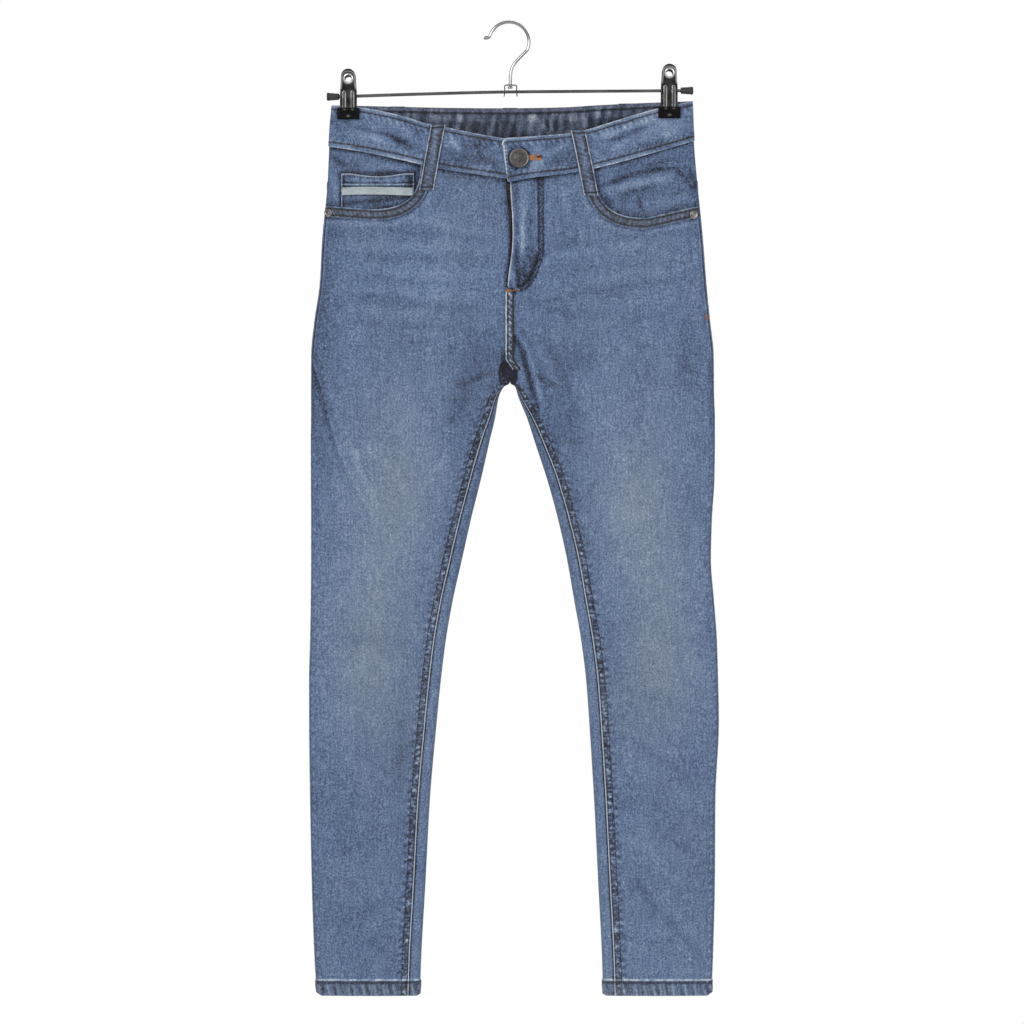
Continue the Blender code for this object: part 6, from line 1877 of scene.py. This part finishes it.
def make_sewing():
    rows, tacks = [], []
    for side in (RIGHT, LEFT):
        rows += leg_rows(side) + mouth_rows(side) + pocket_rows(side)
    rows += band_rows() + lap_rows() + yoke_rows() + coin_rows()
    rows += [surface_row(FRONT, round_line(line), 0.05) for line in J_LINES]
    for loop in LOOPS:
        rows += loop_rows(loop)
        tacks += loop_tacks(loop)
    made = [stitch_row(points, up) for points, up in rows]
    eye = [(27.0, BUTTONHOLE["z"] + 0.6), (31.6, BUTTONHOLE["z"] + 1.0)]
    made.append(bartack(FRONT, eye, BAND_OUT + LAP_LIFT + 0.5, 3.0, 7))
    build("stitching", made + tacks, ("thread",), "denim")
    hems = [stitch_row(*row, **HEM_STITCH) for side in (RIGHT, LEFT) for row in hem_rows(side)]
    build("stitching_hems", hems, ("brown_thread",), "denim")


def make_bright_sewing():
    """The orange bar tacks and buttonhole, and the pale tacks on the coin pocket."""
    orange = [
        bartack(FRONT, [(-2.6, -266.6), (-1.4, -269.6)], 1.1, 3.0, 7),
        bartack(FRONT, [(0.5, -267.9), (9.0, -267.0)], 0.5, 0.9, 9),
        bartack(FRONT, [(195.6, -291.6), (197.2, -296.0)], 0.4, 2.6, 7),
        buttonhole(),
    ]
    build("stitching_orange", orange, ("orange_thread",), "denim")
    pale = [
        bartack(FRONT, [(x0, -151.4), (x1, -151.0)], -FACING_UNDER + 0.1, 1.2, 12)
        for x0, x1 in ((-167.6, -155.0), (-108.0, -97.0))
    ]
    build("stitching_pale", pale, ("pale_thread",), "denim")


def buttonhole():
    """Threads wound round the keyhole beside the button, as one ring of short bars."""
    (x0, x1), middle, half = BUTTONHOLE["x"], BUTTONHOLE["z"], BUTTONHOLE["half"]
    turns = np.linspace(0.0, 2 * np.pi, 66, endpoint=False)
    x = (x0 + x1) / 2 + (x1 - x0) / 2 * np.sign(np.cos(turns)) * np.abs(np.cos(turns)) ** 0.7
    z = middle + half * np.sin(turns) * (0.75 + 0.35 * smooth_step(x, x0, x1))
    ring = np.stack([x, z], -1)
    way = ring - np.stack([np.clip(x, x0 + half, x1 - half), np.full(x.shape, middle)], -1)
    way /= np.maximum(1e-6, np.linalg.norm(way, axis=-1, keepdims=True))
    return bars(FRONT, ring - half * way, ring + 0.9 * way, BAND_OUT + LAP_LIFT, 0.60)


# ---------------------------------------------------------------- turned and bent metal
def lathe(profile, matrix, steps):
    """A profile of (radius, height) turned about the matrix's Z axis. It starts and ends on the axis."""
    turns = np.arange(steps) * 2 * np.pi / steps
    points, faces = [], []
    matrix = np.array(matrix)
    for radius, height in profile:
        ring = np.stack([radius * np.cos(turns), radius * np.sin(turns), np.full(steps, height)], -1)
        points.append(ring @ matrix[:3, :3].T + matrix[:3, 3])
    for i in range(len(profile) - 1):
        for j in range(steps):
            k = (j + 1) % steps
            faces.append((i * steps + j, (i + 1) * steps + j, (i + 1) * steps + k, i * steps + k))
    return solid(np.concatenate(points), faces)


def closed_profile(profile):
    """Tiny end radii keep the turned mesh closed without doubled points."""
    first, last = profile[0], profile[-1]
    return ((0.02, first[1]), *profile, (0.02, last[1]))


def facing_out(face, x, z, out):
    points, up = lay(face, np.array([x]), np.array([z]))
    turn = Vector((0, 0, 1)).rotation_difference(Vector(up[0]).normalized()).to_matrix().to_4x4()
    return Matrix.Translation(Vector(points[0] + up[0] * out)) @ turn


def dome(radius, height, low, steps=6):
    """Points of a shallow dome from its middle out to its edge."""
    turns = np.linspace(0.0, np.pi / 2, steps)
    return [(max(0.02, radius * math.sin(t)), low + (height - low) * math.cos(t)) for t in turns]


def below(radius, top, *rings):
    """Points of a profile, each from its share of the radius and its depth under the top."""
    return [(share * radius, top - depth) for share, depth in rings]


def make_button():
    """A shank button with a raised rim, a grooved ring and a plain domed middle."""
    r, h = BUTTON["radius"], BUTTON["height"]
    face = dome(0.50 * r, h, h - 0.35)
    rings = below(r, h, (0.55, 0.75), (0.60, 0.45), (0.65, 0.75), (0.70, 0.45), (0.75, 0.75), (0.80, 0.40))
    rim = below(r, h, (0.84, 0.70), (0.89, 0.10), (0.94, 0.06), (0.98, 0.45), (1, 1.1))
    foot = [(0.99 * r, 1.0), (0.92 * r, 0.35), (0.90 * r, 0.0)]
    matrix = facing_out(FRONT, BUTTON["x"], BUTTON["z"], BAND_OUT + LAP_LIFT + SEAM_GAP)
    body = lathe(closed_profile(face + rings + rim + foot), matrix, 64)
    worn = len(face) + len(rings)
    ring_of = np.repeat(np.arange(len(body.faces) // 64), 64)
    slots = np.where((ring_of > worn) & (ring_of < worn + 4), 1, 0)
    body = body._replace(slots=slots)
    build("button_face", [body], ("antique", "antique_worn"), "antique_metal", "button")


def make_rivet(side):
    x, z = RIVETS[side]
    r, h = RIVET_RADIUS, RIVET_HEIGHT
    rings = below(r, h, (0.48, 0.62), (0.56, 0.66), (0.64, 0.30), (0.80, 0.22), (0.94, 0.50), (1, 1), (1, h))
    profile = closed_profile(dome(0.42 * r, h, h - 0.3, 5) + rings)
    body = lathe(profile, facing_out(FRONT, x, z, SEAM_GAP), 40)
    build("rivet_cap_" + SIDE_NAMES[side], [body], ("rivet",), "rivet_metal", "rivet_" + SIDE_NAMES[side])


def wire_curve(name, points, radii, kind, node, radius=WIRE, resolution=5):
    curve = bpy.data.curves.new(name, "CURVE")
    curve.dimensions = "3D"
    curve.bevel_depth = radius * MM
    curve.bevel_resolution = resolution
    curve.use_fill_caps = True
    spline = curve.splines.new("POLY")
    spline.points.add(len(points) - 1)
    for point, place_at, thickness in zip(spline.points, points, radii):
        point.co = (place_at[0] * MM, place_at[1] * MM, place_at[2] * MM, 1.0)
        point.radius = thickness
    spline.use_smooth = True
    curve.materials.append(MATERIALS[kind])
    dress(name, curve, "chrome", node)


def rod_z(x):
    return float(smooth_curve(x, [p[0] for p in ROD_POINTS], [p[1] for p in ROD_POINTS]))


def make_hook():
    """The hook's crown and shank, with a turned bead at the tip and a riveted head at the foot."""
    angles = np.radians(np.linspace(HOOK_START, HOOK_END, 54))
    crown = HOOK_RADIUS * np.stack([np.cos(angles), np.sin(angles)], -1) + (HOOK_CENTRE_X, WIRE - HOOK_RADIUS)
    shank = round_line([crown[-1], *HOOK_SHANK], 8)[1:]
    tip, head = np.array(HOOK_TIP), np.array(HOOK_HEAD)
    flat = np.concatenate([crown[0] + tip[:, :2], crown, shank, shank[-1] + head[:, :2]])
    radii = [*tip[:, 2], *[1.0] * (len(crown) + len(shank)), *head[:, 2]]
    wire_curve("hook_wire", [(x, 0.0, z) for x, z in flat], radii, "chrome", "hanger_hook")


def make_rod():
    xs = np.linspace(ROD_POINTS[0][0], ROD_POINTS[-1][0], 60)
    wire_curve("rod_wire", [(x, 0.0, rod_z(x)) for x in xs], [1.0] * len(xs), "steel", "hanger_rod")


def make_saddle():
    """A bent strap that the hook's foot hangs on and the rod passes through, flared at its ends."""
    (x0, x1), top, low = SADDLE["x"], SADDLE["top"], SADDLE["low"]
    strap, half = SADDLE["sheet"], SADDLE["depth"] / 2
    r = 2.4
    line = [(x0 - 0.2, low), (x0 + 0.25, low + 1.2), (x0 + 0.4, low + 3.0), (x0 + 0.4, top - r)]
    turns = np.linspace(0.3, 1.5708, 6)
    line += [(x0 + 0.4 + r * (1 - math.cos(t)), top - r + r * math.sin(t)) for t in turns]
    line += [(x0 + x1 - x, z) for x, z in reversed(line)]
    line = np.array(line)
    inward = across_line(line, 1)
    y = np.array([-half, -half + 0.25, -half + 0.7, half - 0.7, half - 0.25, half])
    full = rounded(half - np.abs(y), 0.7)
    grids = []
    for way in (0.5 * (1 - full), 0.5 * (1 + full)):
        x = line[:, None, 0] + inward[:, None, 0] * strap * way
        z = line[:, None, 1] + inward[:, None, 1] * strap * way
        grids.append(np.stack([x, np.broadcast_to(y, x.shape), z], -1))
    made = shell(*grids, 0.0, inside_slot=0)
    build("saddle_strap", [made], ("chrome",), "chrome", "hanger_saddle")


def make_knob(side):
    start = abs(ROD_POINTS[0][0]) - KNOB["bore"] + 0.6
    length, small, large = KNOB["length"], KNOB["small"], KNOB["large"]
    profile = [(large - 1.2, length), (large - 0.4, length - 0.3)]
    profile += [(large, length - 1.0), (large, length - 2.0)]
    for i in range(KNOB["ridges"]):
        at = length - 2 * KNOB["pitch"] - i * KNOB["pitch"]
        wide = small + (large - small) * (at / length)
        profile += [(wide - 0.28, at), (wide, at - 0.45), (wide, at - 0.85)]
    profile += [(small, 0.9), (small - 0.5, 0.0)]
    turn = Matrix.Rotation(side * math.pi / 2, 4, "Y")
    matrix = Matrix.Translation(Vector((side * start, 0.0, rod_z(side * start)))) @ turn
    body = lathe(closed_profile(profile), matrix, 32)
    build("knob_cap_" + SIDE_NAMES[side], [body], ("knob_rubber",), "rubber", "knob_" + SIDE_NAMES[side])


# ---------------------------------------------------------------- clips
def clip_part(side, face, part):
    return f"clip_{SIDE_NAMES[side]}_{FACE_NAMES[face]}_{part}"


def plate_depth(clip, up):
    """How far a clip's plate stands from the middle plane at a height over the rod."""
    middle = PAD["stand"] + PAD["depth"] / 2
    leaning = PLATE["lean"] * smooth_step(up, 5, clip.top)
    closing = smooth_step(-up, 2, clip.jaw - PAD["height"] - 1)
    return PLATE["stand"] + leaning + (middle - PLATE["stand"]) * closing


def plate_half(clip, up):
    """Half a plate's width: round at the top and a little wider below."""
    half_top, half_low = PLATE["half_top"], PLATE["half_low"]
    turn = clip.top - half_top
    round_part = np.sqrt(np.clip(half_top**2 - np.clip(up - turn, 0.0, half_top) ** 2, 0.0, None))
    straight = half_low - (half_low - half_top) * smooth_step(up, 0, turn)
    return np.minimum(np.where(up > turn, round_part, straight), half_low)


def from_ribs(clip, across, up):
    """How far places of a plate are from its two pressed ribs, in the ribs' own half widths."""
    low, top = -clip.jaw + PAD["height"] + 1.4, RIB["up"] + 1.2
    over = np.maximum(0.0, np.maximum(up - top, low - up))
    half = plate_half(clip, up)
    return np.hypot((np.abs(across * half) - RIB["across"] * half) / RIB["half"], over / RIB["half"])


def plate_places(clip):
    """A grid of shares of the half width and heights over the rod, closer at the plate's edges."""
    low = -clip.jaw + PAD["height"] - PAD["tongue"]
    turning = PLATE["half_top"] * (1 - np.sin(np.linspace(np.pi / 2 - 0.10, 0.0, 18)))
    ups = np.concatenate([clip.top - turning, np.linspace(clip.top - 7.8, low, 72)])
    across = np.concatenate([[-1.0, -0.985, -0.95], np.linspace(-0.91, 0.91, 55), [0.95, 0.985, 1.0]])
    return np.meshgrid(ups, across, indexing="ij")


def make_plate(side, face):
    clip = CLIPS[side]
    z0 = rod_z(clip.x)
    up, across = plate_places(clip)
    half, depth = plate_half(clip, up), plate_depth(clip, up)
    away = from_ribs(clip, across, up)
    rib = np.sqrt(np.clip(1.0 - away**2, 0.0, 1.0))
    roll = rounded(np.minimum((1 - np.abs(across)) * half, clip.top - up + 0.35), 0.5)
    hole_up, hole_r = PLATE_HOLE["up"], PLATE_HOLE["radius"]
    hole = np.hypot(across * half, up - hole_up)
    lip = 0.35 * bump_at(hole, hole_r + 0.5, 0.5)
    high, low = thick(depth + PLATE["sheet"] / 2 + lip, depth - PLATE["sheet"] / 2, roll)
    inside = hole < hole_r
    squeeze = np.where(inside, hole_r / np.maximum(hole, 0.05), 1.0)
    x = clip.x + across * half * squeeze
    z = np.where(inside, z0 + hole_up + (up - hole_up) * squeeze, z0 + up)
    keep = ~(inside[:-1, :-1] & inside[:-1, 1:] & inside[1:, 1:] & inside[1:, :-1])
    outer = np.stack([x, face * (high + RIB["out"] * rib), z], -1)
    inner = np.stack([x, face * low, z], -1)
    from_edge = half - np.hypot(across * half, np.maximum(up - (clip.top - PLATE["half_top"]), 0.0))
    # Painted highlights along the ribs' outlines, round the hole and near the plate's edges.
    shine = bump_at(away, 0.92, 0.24) + bump_at(hole, hole_r + 0.8, 0.9)
    shine = np.clip(shine + 0.6 * bump_at(from_edge, 0.9, 0.6) * smooth_step(up, 5, 9), 0.0, 1.0)
    plate = shell(outer, inner, shine, keep=keep, inside_slot=0)
    ears = [ear(clip, face, way, z0) for way in (-1, 1)]
    name = clip_part(side, face, "plate")
    build("plate_" + name, [plate, *ears], ("gunmetal",), "gunmetal", name)


def ear(clip, face, way, z0):
    """A rounded side flange that the rod passes through."""
    outside = PLATE["half_low"] - 0.9 - (0.0 if face == FRONT else EAR["sheet"] + SEAM_GAP)
    xs = clip.x + way * np.array([outside, outside - EAR["sheet"]])
    near, far = PLATE["stand"] + 0.1, PLATE["stand"] - EAR["reach"]
    turns = np.linspace(-np.pi / 2, np.pi / 2, 13)
    r = EAR["radius"]
    rim = [(near, -r)] + [(far + r - r * math.cos(t), r * math.sin(t)) for t in turns] + [(near, r)]
    count = len(rim)
    points = [(x, face * y, z0 + z) for x in xs for y, z in rim]
    points += [(x, 0.0, z0) for x in xs]
    faces = []
    for i in range(count):
        k = (i + 1) % count
        a, b = (i, k) if way * face > 0 else (k, i)
        faces.append((a, b, count + b, count + a))
        faces.append((b, a, 2 * count, 2 * count))
        faces.append((count + a, count + b, 2 * count + 1, 2 * count + 1))
    return solid(points, faces)


def make_spring(side):
    """The coil round the rod, with a leg against each plate."""
    clip = CLIPS[side]
    z0 = rod_z(clip.x)
    turns = np.linspace(0.0, COIL["turns"] * 2 * np.pi, int(COIL["turns"] * 20))
    x = clip.x + np.linspace(-COIL["half"], COIL["half"], len(turns))
    y, z = COIL["radius"] * np.cos(turns), z0 + COIL["radius"] * np.sin(turns)
    coil = np.stack([x, y, z], -1)
    start = coil[0] + np.array([(0.0, 1.2, -7.0), (0.0, 0.5, -3.0)])
    end = coil[-1] + np.array([(0.0, -0.5, -3.0), (0.0, -1.0, -7.0)])
    points = np.concatenate([start, coil, end])
    name = f"clip_{SIDE_NAMES[side]}_spring"
    wire_curve("coil_" + name, points, [1.0] * len(points), "chrome", name, COIL["wire"], 2)


def make_pad(side, face):
    """A rubber jaw with soft edges and the plate's rounded end pressed out in its face."""
    clip = CLIPS[side]
    low = rod_z(clip.x) - clip.jaw
    width, height = PAD["width"], PAD["height"]
    us = close_ends(48, (0.0, 0.15, 0.45, 0.9), width) - width / 2
    vs = close_ends(32, (0.0, 0.15, 0.45, 0.9), height)
    u, v = np.meshgrid(us, vs)
    edge = np.minimum(width / 2 - np.abs(u), np.minimum(v, height - v))
    full = rounded(edge, 0.9)
    middle, half = PAD["stand"] + PAD["depth"] / 2, PAD["depth"] / 2
    jaw = smooth_step(-((u / 8.4) ** 2 + ((height - v) / 9) ** 2), -1, -0.72)
    high = middle + half * full + 0.9 * jaw * (full > 0.98)
    glints = 0.30 * bump_at(np.hypot(u, 2 * (v - 3.2)), 0, 1.6)
    for at in (-3.6, 4.2):
        glints = glints + 0.16 * bump_at(np.hypot(u - at, 1.6 * (height - 2 - v)), 0, 1.3)
    x = clip.x + u
    outer = np.stack([x, face * high, low + v], -1)
    inner = np.stack([x, face * (middle - half * full), low + v], -1)
    name = clip_part(side, face, "pad")
    build("jaw_" + name, [shell(outer, inner, glints, inside_slot=0)], ("rubber",), "rubber", name)


# ---------------------------------------------------------------- zip
def make_zip_teeth():
    """Small teeth that mesh down the chain behind the fly."""
    x0, x1 = ZIP_CHAIN["x"]
    middle = (x0 + x1) / 2
    parts = []
    heights = np.arange(ZIP_CHAIN["top"] - 1.0, ZIP_CHAIN["low"] + 1.0, -ZIP_CHAIN["pitch"])
    points, up = lay(FRONT, np.zeros(len(heights)), heights)
    depths = (points + up * (0.5 - ZIP_CHAIN["under"]))[:, 1]
    for i, (z, y) in enumerate(zip(heights, depths)):
        way = 1 if i % 2 else -1
        xs = sorted((middle - way * 0.9, middle + way * 2.2))
        corners = [(x, y + d, z + h) for x in xs for d in (0.0, 1.0) for h in (-0.42, 0.42)]
        faces = [(0, 1, 3, 2), (4, 6, 7, 5), (0, 4, 5, 1), (2, 3, 7, 6), (0, 2, 6, 4), (1, 5, 7, 3)]
        parts.append(solid(corners, faces))
    build("zip_teeth", parts, ("zip_teeth",), "zip", smooth=False)


def dress_cad_nodes():
    """The solids that stay as they are get their real finish."""
    for name, kind in (("zip", "zip_tape"), ("zip_slider", "slider")):
        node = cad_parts[name]
        node.data.materials.clear()
        node.data.materials.append(MATERIALS[kind])


# ---------------------------------------------------------------- stage, light and camera
def make_floor():
    mesh = bpy.data.meshes.new("floor")
    corners = [(x * FLOOR_HALF, y * FLOOR_HALF, FLOOR_Z) for x, y in ((-1, -1), (1, -1), (1, 1), (-1, 1))]
    mesh.from_pydata(corners, [], [(0, 1, 2, 3)])
    made, tree, shader = material("floor_pale")
    fill(tree, shader, Base_Color=FLOOR_COLOUR, Roughness=0.9)
    mesh.materials.append(made)
    link("floor", mesh)


def look_at(obj, place_at, aim):
    obj.location = place_at
    obj.rotation_euler = (Vector(aim) - Vector(place_at)).to_track_quat("-Z", "Y").to_euler()


def make_lights():
    for light in LIGHTS:
        data = bpy.data.lights.new(light.name, "AREA")
        data.shape = "DISK"
        data.size = light.size
        data.energy = light.power
        look_at(link("light_" + light.name, data), light.place, light.aim)


def make_world():
    """White to look at. As light it is softer, and dim all round the sides, which outlines bright metal."""
    world = bpy.data.worlds.new("studio")
    world.use_nodes = True
    tree = world.node_tree
    direction = add(tree, "SeparateXYZ", None, i0=add(tree, "TexCoord").outputs["Generated"]).outputs["Y"]
    forward = calc(tree, "ABSOLUTE", direction)
    levels = {"i1": 0.1, "i2": 0.6, "i3": WORLD_SIDES, "i4": WORLD_LIGHT}
    light = add(tree, "MapRange", None, Value=forward, **levels).outputs[0]
    seen = add(tree, "LightPath").outputs["Is Camera Ray"]
    strength = add(tree, "MapRange", None, Value=seen, i3=light, i4=WORLD_SEEN).outputs[0]
    fill(tree, tree.nodes["Background"], Color=(1.0, 1.0, 1.0, 1.0), Strength=strength)
    bpy.context.scene.world = world
    bpy.context.scene.view_settings.view_transform = "Standard"


def make_camera():
    data = bpy.data.cameras.new("camera")
    data.sensor_width = CAMERA_LENS_SENSOR
    data.lens = CAMERA_LENS_SENSOR * CAMERA_AWAY / GARMENT_SPAN
    camera = link("camera", data)
    x, z = PICTURE_CENTRE
    look_at(camera, (x, -CAMERA_AWAY, z), (x, 0.0, z))
    bpy.context.scene.camera = camera


def make_jeans():
    for side in (RIGHT, LEFT):
        make_front(side)
        make_back(side)
        make_yoke(side)
        make_facing(side)
        make_back_pocket(side)
        make_rivet(side)
    make_waistband()
    make_coin_pocket()
    for loop in LOOPS:
        make_belt_loop(loop)
    make_button()
    make_zip_teeth()
    make_sewing()
    make_bright_sewing()
    dress_cad_nodes()


def make_hanger():
    make_hook()
    make_rod()
    make_saddle()
    for side in (RIGHT, LEFT):
        make_knob(side)
        make_spring(side)
        for face in (FRONT, BACK):
            make_plate(side, face)
            make_pad(side, face)


make_camera()
make_world()
make_lights()
make_floor()
make_jeans()
make_hanger()
